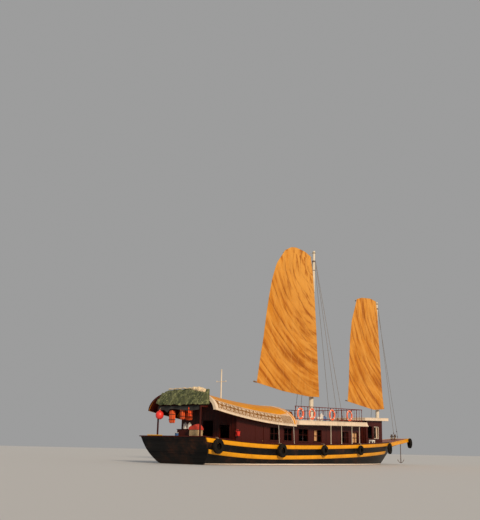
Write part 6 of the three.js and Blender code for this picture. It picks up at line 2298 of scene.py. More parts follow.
    def holds(self) -> None:
        """Rope collars that turn on the mast, the boom's lashing, and the halyard with its block."""
        plan, mast = self.plan, self.plan.mast
        ropes = Pile()
        (x0, z0), (x1, z1) = plan.boom
        x = mast.at + mast.rake * z0
        z = z0 + (z1 - z0) * (x0 - x) / (x0 - x1)
        for lift in np.linspace(-0.045, 0.045, 5):
            mast.coil(ropes, z + lift, 0.0145, 0.0125)
        for dx in (-0.022, 0.0, 0.022):
            ropes.tube(np.array([[x + dx - ORIGIN, -float(mast.radius(z)) - 0.02, z],
                                 [x + dx - ORIGIN, -0.37 + plan.spar, z]]),
                       0.012, 8)
        top = mast.head - 0.15
        for lift in np.linspace(-0.036, 0.036, 4):
            mast.coil(ropes, top + lift, 0.014, 0.012)
        (x0, z0), (x1, z1) = plan.yard
        slung = z0 + (z1 - z0) * (x0 - plan.sling) / (x0 - x1)
        start = np.array([mast.at + mast.rake * top - mast.tip - 0.01 - ORIGIN, -0.025, top])
        end = np.array([plan.sling - ORIGIN, -0.37 + plan.spar, slung])
        for shift in (-0.016, 0.016):
            ropes.tube(np.array([start + [0, shift, 0], end + [0, shift, 0]]), 0.008, 8)
        size = plan.spar + 0.004
        for dx in (-0.05, -0.03, 0.03, 0.05):
            ropes.hoop(end + [dx, 0, 0], [0, size, 0], [0, 0, size], 0.009, 20)
        ropes.build(f"{plan.name}_collars", ROPE, plan.body)
        block = Pile()
        middle = end + (start - end) * 0.28
        block.turned([(0.02, -0.05), (0.045, -0.035), (0.055, 0.0), (0.045, 0.035), (0.02, 0.05)], middle,
                     (1, 0, 0.2), 16)
        block.build(f"{plan.name}_halyard_block", MAHOGANY, plan.body, crease=50)

    def build(self) -> None:
        """Makes the sail and its gear."""
        self.spar(self.plan.yard, f"{self.plan.name}_yard_spar", f"{self.plan.name}_yard")
        self.spar(self.plan.boom, f"{self.plan.name}_boom_spar", f"{self.plan.name}_boom")
        self.cloth()
        self.battens()
        self.holds()


@dataclass
class Rig:
    """Masts, stays and both sails."""

    def build(self) -> None:
        """Makes the whole rig."""
        Masts().build()
        for plan in (MAIN_SAIL, FORE_SAIL):
            SailSet(plan).build()


@dataclass(frozen=True)
class TyreSize:
    """Sizes of a tyre: its outer radius and half its width."""

    outer: float
    tube: float


LARGE_TYRE = TyreSize(0.400, 0.105)
SMALL_TYRE = TyreSize(0.330, 0.090)


@dataclass
class Tyres:
    """Worn car tyres hung along the side as fenders, with their treads, hollows and ropes."""

    places: tuple[tuple[TyreSize, float, float, float], ...] = (
        (LARGE_TYRE, 0.85, 1.01, 0.1571), (LARGE_TYRE, 6.5, 0.86, 0.1724), (SMALL_TYRE, 11.25, 0.93, 0.1337),
        (SMALL_TYRE, 16.05, 1.01, 0.1124), (LARGE_TYRE, 21.95, 1.20, 0.0915))
    around: int = 96

    def section(self, size: TyreSize) -> Array:
        """Loop of a tyre's wall, hollow towards the rim: pairs of radius and distance aside."""
        outer, half = size.outer, size.tube
        depth = 2 * half
        outside = [(outer - depth * 1.0, 0.62), (outer - depth * 0.98, 0.80), (outer - depth * 0.88, 0.84),
                   (outer - depth * 0.60, 0.985), (outer - depth * 0.35, 1.0), (outer - depth * 0.16, 0.95),
                   (outer - depth * 0.05, 0.84), (outer - 0.004, 0.72), (outer, 0.60), (outer, 0.34),
                   (outer - 0.006, 0.32), (outer - 0.006, 0.26), (outer, 0.24)]
        inside = [(outer - depth * 0.14, 0.60), (outer - depth * 0.40, 0.86), (outer - depth * 0.70, 0.84),
                  (outer - depth * 0.90, 0.66)]
        ring = [(r, a * half) for r, a in outside]
        ring += [(r, -a * half) for r, a in outside[::-1]]
        ring += [(r, -a * half) for r, a in inside[::-1]]
        ring += [(r, a * half) for r, a in inside]
        return np.array(ring)

    def tyre(self, size: TyreSize, seed: int) -> Pile:
        """Tyre about the Y axis: the tread's blocks are notches cut round its edge."""
        section = self.section(size)
        angle = full_turn(self.around)
        tread = section[:, 0] > size.outer - 0.012
        cut = tread & (np.abs(section[:, 1]) > 0.02)
        notch = (np.arange(self.around) % 3 == 0)[:, None] & cut
        radius = section[None, :, 0] - 0.007 * notch - 0.004 * (0.5 + 0.5 * np.sin(3 * angle + seed))[:, None]
        aside = section[None, :, 1] * (1 - 0.04 * np.sin(2 * angle + seed)[:, None] ** 2)
        rings = np.stack([radius * np.cos(angle)[:, None], aside + 0 * radius,
                          radius * np.sin(angle)[:, None]], -1)
        pile = Pile()
        pile.loft(rings, closed_path=True)
        return pile

    def hung(self, node: str, size: TyreSize, at: float, centre: float, out: float, side: Side,
             seed: int) -> None:
        """One tyre at its place on the side, with the two ropes that it hangs by."""
        table = np.linspace(0, FORM.last_deck, 900)
        s = float(np.interp(at - ORIGIN, FORM.along(table, FORM.sheer(table)), table))
        here, ahead = FORM.side(np.array([s, s + 0.1]), FORM.sheer(np.array([s, s + 0.1])))
        yaw = math.atan2(ahead[1] - here[1], ahead[0] - here[0])
        place = np.array([here[0] + math.sin(yaw) * out, here[1] - math.cos(yaw) * out, centre])
        pile = self.tyre(size, seed)
        pile.place(Matrix.Rotation(yaw, 3, "Z"), place)
        flip = np.array([1, -side.value, 1])
        pile.points = [points * flip for points in pile.points]
        pile.build(node + "_rubber", RUBBER, crease=40, replaces=[node])
        ropes = Pile()
        top = size.outer - 2 * size.tube
        rail = float(FORM.sheer(s)) + 0.062
        inner_y = here[1] + 0.10
        for dx in (-0.05, 0.05):
            x, y, rail_x = place[0] + dx, place[1], here[0] + dx
            path = [[x, y, centre + top - 0.004], [x, y - 0.02 + size.tube * 0.6, centre + top + 0.09],
                    [rail_x, here[1] - 0.105, rail - 0.05], [rail_x, here[1] - 0.06, rail + 0.006],
                    [rail_x, inner_y, rail + 0.006]]
            if centre + top + 0.09 > rail - 0.06:
                path = [path[0], path[3], path[4]]
            ropes.tube(np.array(path) * flip, 0.010, 8)
        ropes.build(node + "_ropes", ROPE)

    def build(self) -> None:
        """Makes the side's tyres, to port every second one, and the tyre at the beak's end."""
        for i, (size, at, centre, out) in enumerate(self.places):
            self.hung(f"tyre_starboard_{i + 1}", size, at, centre, out, Side.STARBOARD, i)
            if i % 2:
                self.hung(f"tyre_port_{(i + 1) // 2}", size, at, centre, out, Side.PORT, i + 5)
        low, high = node_box("tyre_bow")
        centre = (low + high) / 2
        pile = self.tyre(LARGE_TYRE, 9)
        pile.place(Matrix.Rotation(math.pi / 4, 3, "Z"), centre)
        pile.build("tyre_bow_rubber", RUBBER, crease=40, replaces=["tyre_bow"])
        ropes = Pile()
        out, along = np.array([0.7071, -0.7071, 0]), np.array([0.7071, 0.7071, 0])
        for shift in (-0.06, 0.06):
            over = [(0.04, 0.175), (0.118, 0.295), (0.02, 0.418), (-0.10, 0.372), (-0.32, 0.367)]
            ropes.tube(np.array([centre + out * a + along * shift + [0, 0, z] for a, z in over]), 0.010, 8)
        ropes.build("tyre_bow_ropes", ROPE)


@dataclass
class Beak:
    """Platform beyond the stem: planked top, edge boards, mooring posts, and the anchor below it."""

    board: float = 0.157
    pitch: float = 0.165

    def planks(self) -> None:
        """Boards laid across, parted round the mast, and a rounded board along each edge."""
        frame_node("bow_platform", YELLOW, 0.018)
        boards = Pile()
        mast_at = float(FORE_MAST.axis(BEAK.top_aft)[0]) + ORIGIN
        for start in np.arange(BEAK.aft + 0.02, BEAK.tip - self.pitch, self.pitch):
            end = start + self.board
            near = abs((start + end) / 2 - mast_at) < 0.30
            reach = float(BEAK.half(end)) - 0.075
            spans = [(-reach, -0.26), (0.26, reach)] if near else [(-reach, reach)]
            for y0, y1 in spans:
                rings = [[[at - ORIGIN, y, float(BEAK.top(at)) + dz] for at, dz in
                          ((start, 0.001), (start, 0.011), (end, 0.011), (end, 0.001))] for y in (y0, y1)]
                boards.loft(np.array(rings))
        boards.build("beak_boards", BEAK_TOP)
        edge = Pile()
        at = np.linspace(BEAK.aft + 0.01, BEAK.tip - 0.01, 24)
        for side in (-1, 1):
            for drop, radius in ((0.012, 0.030), (0.235, 0.022)):
                edge.tube(np.stack([at - ORIGIN, side * (BEAK.half(at) - 0.004), BEAK.top(at) - drop], 1),
                          radius, 10)
        x = BEAK.tip - ORIGIN - 0.004
        for drop, radius in ((0.012, 0.030), (0.235, 0.022)):
            z = BEAK.top_tip - drop
            edge.tube(np.array([[x, -BEAK.half_tip, z], [x, BEAK.half_tip, z]]), radius, 10)
        edge.build("beak_edge_boards", YELLOW)

    def brackets(self) -> None:
        """Knees under the platform, from the stem and the bow's sides."""
        pile = Pile()
        for y in (-0.35, 0.35):
            for start, end, drop in ((25.4, 26.4, 0.42), (25.8, 27.2, 0.22)):
                a = [start - ORIGIN, y * 0.4, float(BEAK.top(start)) - BEAK.thick - drop * 0.55]
                b = [end - ORIGIN, y, float(BEAK.top(end)) - BEAK.thick - 0.06]
                pile.beam(a, b, 0.09, 0.10)
        pile.build("beak_knees", YELLOW, bevel=0.01)

    def posts(self, node: str, along_x: bool) -> None:
        """Mooring posts: rounded heads and the turns of a rope round them."""
        frame_node(node, IRON, 0.012)
        low, high = node_box(node)
        middle = (low + high) / 2
        ropes = Pile()
        reach = 0.14
        for sign in (-1, 1):
            centre = middle + (np.array([reach * sign, 0, 0]) if along_x else np.array([0, reach * sign, 0]))
            for k in range(4):
                t = full_turn(32)
                corner = 0.088 + 0.004 * np.cos(4 * t)
                z = low[2] + 0.075 + 0.026 * k + 0.004 * np.sin(t + k)
                ropes.tube(np.stack([centre[0] + corner * np.cos(t), centre[1] + corner * np.sin(t), z], 1),
                           0.0125, 8, closed=True)
        ropes.build(node + "_turns", ROPE)

    def anchor(self) -> None:
        """Anchor hung by its chain: a tapered shank, and two arms that curve up to broad pointed palms."""
        x, y, crown = 26.6 - ORIGIN, -0.42, 0.15
        top = float(BEAK.top(26.53)) - BEAK.thick
        pile = Pile()
        shank = ((crown - 0.04, 0.034, 0.030), (crown + 0.5, 0.028, 0.024), (top - 0.20, 0.024, 0.020))
        pile.loft(np.array([[[x - w, y - d, z], [x + w, y - d, z], [x + w, y + d, z], [x - w, y + d, z]]
                            for z, w, d in shank]))
        t = np.linspace(0, 1, 22)
        angle = full_turn(12)
        for side in (-1, 1):
            bend = 1.15 * t
            path = np.stack([0 * t, side * 0.30 * np.sin(bend) / math.sin(1.15),
                             0.30 * (1 - np.cos(bend)) / (1 - math.cos(1.15))], 1)
            normal = np.stack([0 * t, -side * np.sin(bend), np.cos(bend)], 1)
            palm = np.exp(-((t - 0.74) / 0.13) ** 2)
            wide = (0.030 * (1 - 0.75 * t) + 0.050 * palm) * np.clip((1.02 - t) / 0.12, 0.08, 1)
            deep = 0.028 * (1 - 0.7 * t)
            ring = (wide[:, None, None] * np.cos(angle)[None, :, None] * np.array([1.0, 0, 0])
                    + deep[:, None, None] * np.sin(angle)[None, :, None] * normal[:, None, :])
            pile.loft(path[:, None, :] + ring + [x, y, crown - 0.018])
        for k in range(4):
            wide = [0, 0.026, 0] if k % 2 else [0.026, 0, 0]
            pile.hoop([x, y, top - 0.045 - 0.052 * k], wide, [0, 0, 0.042], 0.010, 24)
        pile.build("anchor_forged", IRON, crease=40, bevel=0.003, replaces=["anchor"])

    def build(self) -> None:
        """Makes all that belongs to the beak."""
        self.planks()
        self.brackets()
        self.posts("bitts_fore", False)
        self.posts("bitts_aft", True)
        self.anchor()


@dataclass
class Steering:
    """Rudder with its straps, and the propeller with its shaft."""

    def rudder(self) -> None:
        """Frame's blade, painted and rounded, with iron straps and their bolt heads at three heights."""
        frame_node("rudder", HULL, 0.006)
        straps = Pile()
        for z in (-0.52, -0.80, -1.08):
            straps.block([-11.20, -0.0415, z - 0.035], [-10.43, -0.034, z + 0.035])
            straps.block([-11.20, 0.034, z - 0.035], [-10.43, 0.0415, z + 0.035])
            for x in np.arange(-11.1, -10.45, 0.13):
                for y, way in ((-0.041, -1), (0.041, 1)):
                    straps.turned([(0.014, 0.0), (0.012, 0.004), (0.006, 0.007)], [x, y, z], (0, way, 0), 8)
        straps.build("rudder_straps", IRON, "rudder")

    def propeller(self) -> None:
        """Three twisted blades of lens-shaped section on a turned boss."""
        at, height = 2.98 - ORIGIN, -0.84
        pile = Pile()
        pile.turned([(0.025, -0.112), (0.052, -0.10), (0.062, -0.06), (0.074, 0.0), (0.084, 0.08),
                     (0.084, 0.11)],
                    [at, 0, height], (1, 0, 0), 28)
        pile.turned([(0.030, 0.10), (0.030, 0.70)], [at, 0, height], (1, 0, 0), 24)
        reach = np.linspace(0.05, 0.347, 14)
        chord = np.interp(reach, [0.04, 0.16, 0.28, 0.33, 0.35], [0.10, 0.155, 0.155, 0.11, 0.05])
        pitch = np.radians(np.interp(reach, [0.04, 0.16, 0.28, 0.35], [50, 42, 32, 26]))
        thick = np.interp(reach, [0.04, 0.35], [0.010, 0.004])
        turn = full_turn(16)
        u, t = 0.5 * np.cos(turn), np.sin(turn)
        along = chord[:, None] * u
        across = thick[:, None] * t
        x = along * np.cos(pitch)[:, None] - across * np.sin(pitch)[:, None]
        y = along * np.sin(pitch)[:, None] + across * np.cos(pitch)[:, None]
        for k in range(3):
            angle = TURN * k / 3
            z = reach[:, None] + 0 * x
            rings = np.stack([at + x, y * math.cos(angle) - z * math.sin(angle),
                              y * math.sin(angle) + z * math.cos(angle) + height], -1)
            pile.loft(rings)
        pile.build("propeller_cast", BRONZE, "propeller", crease=50, replaces=["propeller"])

    def build(self) -> None:
        """Makes both."""
        self.rudder()
        self.propeller()
        frame_node("hatch_lid", MAHOGANY, 0.006)
        lid = Pile()
        for x in (5.05, 5.64):
            lid.block([x, -0.40, 1.175], [x + 0.07, 0.40, 1.187])
        angle = np.linspace(0, math.pi, 13)
        lid.build("hatch_lid_battens", MAHOGANY_ACROSS, "hatch", bevel=0.003)
        ring = Pile()
        ring.tube(np.stack([5.355 + 0 * angle, 0.045 * np.cos(angle), 1.176 + 0.035 * np.sin(angle)], 1),
                  0.006, 8)
        ring.build("hatch_lid_ring", BRASS, "hatch")


@dataclass
class SternShelter:
    """Frame over the stern with its crumpled sheet, what hangs below it and what stands on deck."""

    aft: float = -13.02
    fore: float = -12.52
    left: float = 1.18
    hem_fore: float = 3.29
    girth: float = 0.215
    right: float = -2.05
    beam: float = 3.18
    high: float = 3.99

    def sheet(self) -> None:
        """Green sheet over the frame, crumpled; its starboard end hangs down and closes that side."""
        y_rows = np.array([self.right - 0.13, self.right + 0.25, -0.9, 0.3, 0.98, self.left + 0.07])
        drops = np.array([-0.05, -0.04, 0.03, 0.0, -0.03, -0.10])
        lifts = np.array([0.0, 0.0, 0.0, 0.0, 0.03, 0.09])
        u = np.concatenate([np.linspace(-0.16, -0.008, 20), np.linspace(0, 1, 130)])[None, :]
        v = np.linspace(0, 1, 90)[:, None]
        over, fallen = np.clip(u, 0, 1), np.clip(-u / 0.16, 0, 1)
        y = y_rows[0] + (y_rows[-1] - y_rows[0]) * over + 0 * v
        top = self.high + 0.16 + np.interp(y, y_rows, drops)
        low = self.beam + 0.06 + np.interp(y, y_rows, lifts)
        x0, x1, x2 = self.aft - 0.18, (self.aft + self.fore) / 2 - 0.06, self.fore + 0.05
        z1 = (low + top) / 2 + 0.26
        x = (1 - v) ** 2 * x0 + 2 * v * (1 - v) * x1 + v ** 2 * x2 + 0 * u
        z = (1 - v) ** 2 * low + 2 * v * (1 - v) * z1 + v ** 2 * top
        rough = 0.034 * ripple(y * 5.2, v * 6 + 0 * y, 51, 12, 0.9)
        rough = rough + 0.020 * ripple(y * 15, v * 14 + 0 * y, 52, 9, 0.6)
        rough = rough - 0.030 * np.abs(np.sin(4.1 * y - 5.5 * v + 1.2)) ** 6
        hang = 0.040 * np.sin(9 * y + 3.0 * v) * (1 - v) ** 1.5
        hang = hang + 0.030 * np.abs(np.sin(5.3 * y + 0.6)) * (1 - v) ** 2
        edge = np.minimum(1.0, 10 * (1 - v) + 0.25)
        x = x - (rough + hang) * 0.75 * edge
        z = z + (rough - hang * 0.3) * edge
        hem = low - 0.02 + (self.hem_fore - low) * v
        z = z + (hem - z) * fallen
        y = y - fallen * (0.004 + 0.012 * np.sin(11 * v + 2) * (1 - fallen))
        Cloth("tarpaulin_sheet", np.stack([x, y, z], -1), TARP, "draped", ["stern_frame"],
              thick=0.006).build(["tarpaulin"])

    def ridge(self) -> None:
        """Pale rolled hem along the sheet's upper edge, and a cream bundle at its starboard end."""
        t = np.linspace(0, 1, 70)
        y = 0.95 - 1.9 * t
        path = np.stack([self.fore + 0.03 + 0.010 * np.sin(9 * t), y,
                         4.175 + 0.03 * np.sin(3 * t) + 0.012 * np.sin(23 * t)], 1)
        hem = Pile()
        hem.tube(path, 0.030 + 0.008 * np.sin(31 * t), 12)
        hem.build("sheet_hem_roll", BUNDLE)
        t = np.linspace(0, 1, 90)
        angle = full_turn(32)
        path = np.stack([self.fore + 0.04 + 0 * t, -0.80 - 1.34 * t, 4.16 - 0.26 * t ** 1.5], 1)
        size = self.girth * np.sin(math.pi * np.clip(t, 0.03, 0.97)) ** 0.4 * (0.72 + 0.28 * t)
        lumps = 1 + 0.20 * ripple(t[:, None] * 26 + 0 * angle, 1.6 * np.cos(angle) + 0 * t[:, None], 61, 12,
                                  0.8)
        folds = 1 + 0.06 * np.sin(7 * angle + 40 * t[:, None])
        radius = size[:, None] * lumps * folds
        ring = np.stack([radius * np.cos(angle), 0 * radius, 0.85 * radius * np.sin(angle)], -1)
        roll = Pile()
        roll.loft(path[:, None, :] + ring)
        bundle = roll.build("cream_bundle", BUNDLE, crease=80)
        ties = Pile()
        for share in (0.2, 0.5, 0.8):
            centre = path[int(share * 89)]
            grip = float(size[int(share * 89)]) * 1.08
            ties.hoop(centre, [grip, 0, 0], [0, 0, 0.87 * grip], 0.009, 32)
        ties.build("bundle_ties", ROPE)

    def shade(self) -> None:
        """Near-black cloth that hangs from the after beam, lower at one end: painted shade under the green
        sheet.
        """
        u, v = patch(110, 14)
        y = self.right + 0.06 + (self.left - self.right - 0.12) * u + 0 * v
        drop = 0.22 + 0.05 * np.sin(7 * u) + 0.16 * np.exp(-((u - 0.78) / 0.05) ** 2)
        z = self.beam - 0.004 - drop * v
        x = self.aft - 0.046 - 0.015 * v + 0.016 * v * np.sin(45 * u + 2 * np.sin(6 * u))
        Cloth("stern_shade", np.stack([x, y, z + 0 * u], -1), SHADOW_SHEET, "hung", ["stern_frame"],
              thick=0.003).build()

    def jacket(self, name: str, x: float, y: float, z: float, turn: float, tall: float,
               recipe: Finish) -> None:
        """Life jacket hung from the beam: two padded fronts, a back, and straps."""
        wide = 0.44
        pile = Pile()
        angle = full_turn(24)

        def pad(x0: float, x1: float, z0: float, z1: float, y0: float, thick: float) -> None:
            """Cushion with rounded edges between four sides."""
            t = np.linspace(-1, 1, 15)
            swell = (1 - np.abs(t) ** 3.5) ** 0.5
            mid_x, mid_z = (x0 + x1) / 2, (z0 + z1) / 2
            cos, sin = np.cos(angle), np.sin(angle)
            edge_x = np.sign(cos) * np.abs(cos) ** 0.5 * (x1 - x0) / 2
            edge_z = np.sign(sin) * np.abs(sin) ** 0.5 * (z1 - z0) / 2
            shrink = 0.72 + 0.28 * swell
            rings = np.stack([mid_x + shrink[:, None] * edge_x, y0 + thick / 2 * t[:, None] + 0 * edge_x,
                              mid_z + shrink[:, None] * edge_z], -1)
            pile.loft(rings)

        pad(-wide / 2, -0.02, -tall, 0.0, -0.055, 0.08)
        pad(0.02, wide / 2, -tall, 0.0, -0.055, 0.08)
        pad(-wide / 2 + 0.02, wide / 2 - 0.02, -tall, 0.04, 0.04, 0.07)
        spin = Matrix.Rotation(turn, 3, "Z")
        pile.place(spin, (x, y, z))
        pile.build(name, recipe, crease=60)
        straps = Pile()
        for height in (-tall * 0.3, -tall * 0.72):
            band = [(-wide / 2 - 0.004, -0.10), (wide / 2 + 0.004, -0.10), (wide / 2 + 0.004, 0.08),
                    (-wide / 2 - 0.004, 0.08)]
            for (ax, ay), (bx, by) in zip(band, band[1:] + band[:1]):
                straps.beam([ax, ay, height], [bx, by, height], 0.006, 0.03)
        straps.tube(np.array([[0, 0.03, 0.03], [0.0, 0.02, 0.10], [0.0, 0.0, self.beam - 0.08 - z]]), 0.006,
                    8)
        straps.place(spin, (x, y, z))
        straps.build(name + "_straps", DARK, slot="rope")

    def hangings(self) -> None:
        """Life jackets under the beams and a red float at the port post."""
        for i, (x, y, z, turn, tall, recipe) in enumerate((
                (-12.90, 0.22, 2.93, 78, 0.70, JACKET), (-12.90, -0.56, 3.08, 62, 0.66, JACKET),
                (-12.90, -1.17, 3.10, 30, 0.52, JACKET_BRIGHT), (-12.62, -0.80, 3.02, 100, 0.62, JACKET),
                (-12.35, 0.80, 2.92, 40, 0.56, JACKET))):
            self.jacket(f"life_jacket_{i + 1}", x, y, z, math.radians(turn), tall, recipe)
        ball = Pile()
        t = np.linspace(0, math.pi, 20)
        profile = [(0.23 * math.sin(a) ** 0.9 if 0 < a < math.pi else 0.0, -0.24 * math.cos(a)) for a in t]
        ball.turned([(max(r, 0.0), h) for r, h in profile], [-13.14, 0.96, 2.675], sides=24)
        ball.turned([(0.05, 0.215), (0.05, 0.27), (0.03, 0.29)], [-13.14, 0.96, 2.675], sides=14)
        ball.build("mooring_float", FLOAT_RED, crease=60)
        cord = Pile()
        cord.tube(np.array([[-13.14, 0.96, 2.945], [-13.12, 0.96, 3.02], [-13.06, 0.96, 3.11]]), 0.008, 8)
        cord.build("mooring_float_lanyard", ROPE)

    def drum(self) -> None:
        """Water drum with two rolled hoops and a lid with its ring."""
        low, high = node_box("water_drum")
        x, y = float((low + high)[0] / 2), float((low + high)[1] / 2)
        tall = float(high[2] - low[2])
        profile = [(0.262, 0.0), (0.284, 0.02), (0.280, 0.28), (0.290, 0.30), (0.280, 0.32), (0.280, 0.56),
                   (0.290, 0.58), (0.280, 0.60), (0.278, tall - 0.06), (0.268, tall - 0.03),
                   (0.262, tall - 0.028)]
        body = Pile()
        body.turned(profile, [x, y, float(low[2])], sides=36)
        body.build("water_drum_shell", BLUE, replaces=["water_drum"])
        lid = Pile()
        lid.turned([(0.272, -0.035), (0.284, -0.03), (0.284, -0.004), (0.262, 0.0), (0.05, 0.004),
                    (0.045, 0.02), (0.0, 0.022)],
                   [x, y, float(high[2])], sides=36)
        lid.build("water_drum_lid", WHITE, crease=40)

    def stores(self) -> None:
        """Locker, tan crate, folded red cloth, two white cans, a yellow plank and a red pail along the stern.
        """
        deck = float(FORM.deck_at(-12.2)) + 0.024
        boxes = Pile()
        boxes.block([-12.60, -1.64, deck], [-11.95, -0.74, 1.535])
        boxes.block([-12.30, -0.60, deck], [-11.90, 0.34, 1.90])
        boxes.block([-12.33, -0.63, 1.90], [-11.87, 0.37, 1.93])
        boxes.build("stores_locker", MAHOGANY, bevel=0.012)
        crate = Pile()
        base = 1.536
        x0, x1, y0, y1 = -12.58, -12.18, -1.52, -0.86
        for k in range(4):
            z = base + 0.095 * k
            for y in (y0, y1 - 0.014):
                crate.block([x0, y, z], [x1, y + 0.014, z + 0.08])
            for x in (x0, x1 - 0.014):
                crate.block([x, y0 + 0.0145, z], [x + 0.014, y1 - 0.0145, z + 0.08])
        for x in (x0 + 0.015, x1 - 0.045):
            for y in (y0 + 0.015, y1 - 0.045):
                crate.block([x, y, base], [x + 0.03, y + 0.03, base + 0.365])
        crate.block([x0 + 0.014, y0 + 0.014, base + 0.001], [x1 - 0.014, y1 - 0.014, base + 0.30])
        crate.build("tan_crate", CRATE, bevel=0.003)
        u, v = patch(50, 36)
        x = x0 - 0.03 + (x1 - x0 + 0.06) * v + 0 * u
        y = y0 - 0.05 + (y1 - y0 + 0.10) * u + 0.01 * np.sin(9 * v)
        rim = np.maximum(np.abs(2 * u - 1), np.abs(2 * v - 1))
        swell = np.sqrt(np.clip(1 - rim ** 3, 0, 1))
        lumps = 1 + 0.35 * ripple(u * 9 + 0 * v, v * 7 + 0 * u, 71)
        z = base + 0.40 + 0.20 * swell * lumps - 0.05 * ramp(rim, 0.86, 1.0)
        Cloth("red_cloth", np.stack([x, y, np.maximum(z, base + 0.05)], -1), RED_CLOTH, "laid",
              ["tan_crate"], thick=0.006).build()
        can = Pile()
        for x, y in ((-12.14, -0.14), (-12.12, -0.44)):
            can.turned([(0.10, 0.0), (0.115, 0.012), (0.115, 0.25), (0.08, 0.30), (0.035, 0.33),
                        (0.035, 0.36)], [x, y, 1.931], sides=24)
        can.build("white_cans", WHITE)
        oar = Pile()
        oar.beam([-13.05, 0.80, 1.562], [-13.05, 1.92, 1.575], 0.10, 0.05)
        oar.build("yellow_plank", YELLOW_ACROSS, bevel=0.006)
        pail = Pile()
        pail.turned([(0.09, 0.0), (0.10, 0.01), (0.125, 0.24), (0.132, 0.25), (0.118, 0.255), (0.10, 0.03),
                     (0.0, 0.03)],
                    [-10.02, -2.31, 1.62], sides=24)
        pail.block([-10.06, -2.182, 1.60], [-9.98, -2.152, 1.90])
        pail.tube(np.array([[-10.13, -2.31, 1.87], [-10.08, -2.27, 1.98], [-10.02, -2.19, 1.99],
                            [-9.96, -2.27, 1.98], [-9.91, -2.31, 1.87]]), 0.006, 6)
        pail.build("fire_pail", FLOAT_RED, crease=40)

    def plant(self, x: float, y: float, z: float, seed: int, flowers: bool) -> None:
        """Clay pot with a tuft of curved leaves, and flowers for some."""
        chance = rng(seed)
        pot, leaves, blooms = Pile(), Pile(), Pile()
        pot.turned([(0.070, 0.0), (0.095, 0.14), (0.105, 0.14), (0.105, 0.17), (0.088, 0.17), (0.080, 0.13),
                    (0.0, 0.13)],
                   [x, y, z], sides=20)
        pot.build(f"plant_pot_{seed}", CLAY, crease=40)
        t = np.linspace(0, 1, 7)
        for _ in range(34):
            turn, reach = chance.uniform(0, TURN), chance.uniform(0.10, 0.24)
            rise = chance.uniform(0.12, 0.30)
            out = np.array([math.cos(turn), math.sin(turn), 0.0])
            cross = np.array([-math.sin(turn), math.cos(turn), 0.0])
            spine = (np.array([x, y, z + 0.12]) + t[:, None] * out * reach
                     + np.stack([0 * t, 0 * t, rise * (t - 0.45 * t ** 2.4)], 1))
            wide = 0.020 * np.sin(math.pi * (0.08 + 0.9 * t)) ** 0.8
            section = [(1, 0.0), (0, 0.0022), (-1, 0.0), (0, -0.0022)]
            rings = np.stack([spine + cross * wide[:, None] * a + [0, 0, b] for a, b in section], 1)
            leaves.loft(rings)
            if flowers and chance.random() < 0.4:
                centre = spine[-1] + [0, 0, 0.012]
                blooms.turned([(0.004, -0.014), (0.020, 0.0), (0.027, 0.010), (0.010, 0.016), (0.0, 0.014)],
                              centre, (out * 0.5 + [0, 0, 1]).tolist(), 10)
        leaves.build(f"plant_leaves_{seed}", LEAF)
        if flowers:
            blooms.build(f"plant_blooms_{seed}", FLOWER)

    def plants(self) -> None:
        """Pots along the starboard side deck, where the bulwark hides their feet."""
        for i, (x, flowers) in enumerate(((-11.42, True), (-11.02, True), (-10.66, False))):
            z = float(FORM.deck_at(x)) + 0.35
            crate = Pile()
            crate.block([x - 0.17, -2.33, z - 0.325], [x + 0.17, -2.03, z])
            crate.build(f"plant_stand_{i + 1}", MAHOGANY, bevel=0.008)
            self.plant(x, -2.18, z, i + 1, flowers)

    def flagpole(self) -> None:
        """Turned pole with its cross bar, a truck and two small lamps."""
        foot = float(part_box("flagpole")[0][2])
        pile = Pile()
        pile.turned([(0.075, 0.0), (0.075, 0.03), (0.046, 0.05), (0.041, 0.6), (0.038, 1.5), (0.037, 1.83),
                     (0.043, 1.845), (0.043, 1.865), (0.0, 1.871)], [-8.9, 0, foot + 0.001], sides=20)
        pile.tube(np.array([[-8.9, -0.375, 4.88], [-8.9, 0.375, 4.88]]), 0.018, 12)
        for y in (-0.36, 0.36):
            pile.turned([(0.022, -0.03), (0.03, -0.02), (0.03, 0.035), (0.018, 0.05)], [-8.9, y, 4.89],
                        sides=14)
        pile.build("flagpole_turned", CREAM_UP, crease=50, replaces=["flagpole"])

    def build(self) -> None:
        """Makes the whole stern."""
        frame_node("stern_frame", MAHOGANY_UP, 0.006)
        self.sheet()
        self.ridge()
        self.shade()
        self.hangings()
        self.drum()
        self.stores()
        self.plants()
        self.flagpole()


ASSEMBLIES = (HullPlanking, Bulwarks, Transom, BarrelRoof, SunDeck, Cabin, Wheelhouse, Rig, Tyres, Beak,
              Steering, SternShelter)


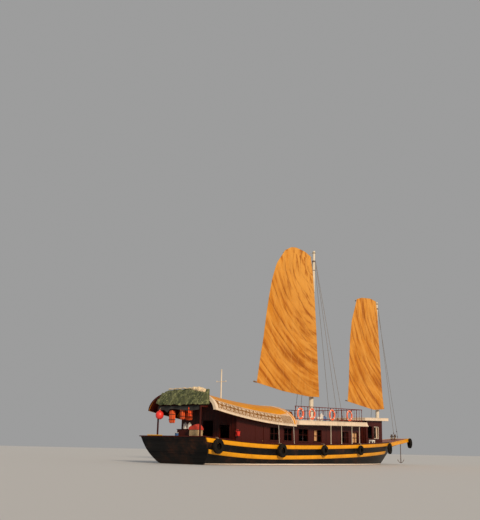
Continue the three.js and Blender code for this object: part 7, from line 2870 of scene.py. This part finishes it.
@dataclass(frozen=True)
class Studio:
    """Camera at the photograph's viewing angle, plain floor at the waterline and soft light."""

    eye: tuple[float, float, float] = (-44.776, -30.311, 0.802)
    heading: float = 51.0
    pitch: float = 14.0845
    roll: float = 1.2658
    focal_pixels: float = 760.0
    floor_size: float = 3000.0
    floor_colour: tuple[float, float, float, float] = (0.56, 0.57, 0.58, 1)
    floor_roughness: float = 0.7
    sun_power: float = 3.3
    sun_width: float = 12.0
    sun_colour: tuple[float, float, float] = (1.0, 0.82, 0.62)
    sun_way: tuple[float, float, float] = (0.42, 0.80, -0.42)
    sky_colour: tuple[float, float, float, float] = (0.60, 0.60, 0.60, 1)
    sky_power: float = 0.56
    clip: tuple[float, float] = (0.5, 6000.0)

    def camera(self) -> None:
        """Camera axes: the heading turned up by pitch, then rolled about the line of sight."""
        heading, pitch, roll = map(math.radians, (self.heading, self.pitch, self.roll))
        level = Vector((math.cos(heading), -math.sin(heading), 0))
        ahead = Vector((math.sin(heading), math.cos(heading), 0))
        sky = Vector((0, 0, 1))
        sight = ahead * math.cos(pitch) + sky * math.sin(pitch)
        rise = sky * math.cos(pitch) - ahead * math.sin(pitch)
        right = level * math.cos(roll) + rise * math.sin(roll)
        up = rise * math.cos(roll) - level * math.sin(roll)
        lens = bpy.data.cameras.new("Camera")
        lens.sensor_width = SENSOR
        lens.lens = self.focal_pixels / PHOTO_LONG_SIDE * SENSOR
        lens.clip_start, lens.clip_end = self.clip
        camera = bpy.data.objects.new("Camera", lens)
        camera.matrix_world = Matrix((right, up, -sight)).transposed().to_4x4()
        camera.location = self.eye
        bpy.context.scene.collection.objects.link(camera)
        bpy.context.scene.camera = camera

    def floor(self) -> None:
        """Pale level floor at the waterline."""
        pile = Pile()
        reach = self.floor_size
        pile.add([[-reach, -reach, 0], [reach, -reach, 0], [reach, reach, 0], [-reach, reach, 0]],
                 [[0, 1, 2, 3]])
        mesh = bpy.data.meshes.new("floor")
        mesh.from_pydata(pile.points[0].tolist(), [], pile.faces)
        floor = bpy.data.objects.new("floor", mesh)
        material = bpy.data.materials.new("floor_paint")
        material.use_nodes = True
        shader = material.node_tree.nodes["Principled BSDF"]
        shader.inputs["Base Color"].default_value = self.floor_colour
        shader.inputs["Roughness"].default_value = self.floor_roughness
        mesh.materials.append(material)
        bpy.context.scene.collection.objects.link(floor)
        floor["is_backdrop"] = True

    def light(self) -> None:
        """Warm low sun from the camera's side, and an even pale sky."""
        sun = bpy.data.lights.new("Sun", "SUN")
        sun.energy, sun.angle, sun.color = self.sun_power, math.radians(self.sun_width), self.sun_colour
        lamp = bpy.data.objects.new("Sun", sun)
        lamp.rotation_euler = Vector(self.sun_way).to_track_quat("-Z", "Y").to_euler()
        bpy.context.scene.collection.objects.link(lamp)
        world = bpy.data.worlds.new("World")
        world.use_nodes = True
        sky = world.node_tree.nodes["Background"]
        sky.inputs["Color"].default_value = self.sky_colour
        sky.inputs["Strength"].default_value = self.sky_power
        bpy.context.scene.world = world

    def build(self) -> None:
        """Sets up the picture."""
        self.camera()
        self.floor()
        self.light()
        bpy.context.scene.view_settings.view_transform = "Standard"


def corners() -> list[list[float]]:
    """Lowest and highest corner of what is shown, as plain lists."""
    return [list(corner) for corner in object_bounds()]


def main() -> None:
    """Dresses the frame, sub-assembly by sub-assembly."""
    logging.basicConfig(level=logging.INFO, format="%(message)s")
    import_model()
    Studio().build()
    for assembly in ASSEMBLIES:
        LOG.info("building %s", assembly.__name__)
        assembly().build()
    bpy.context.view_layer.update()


if __name__ == "__main__":
    main()
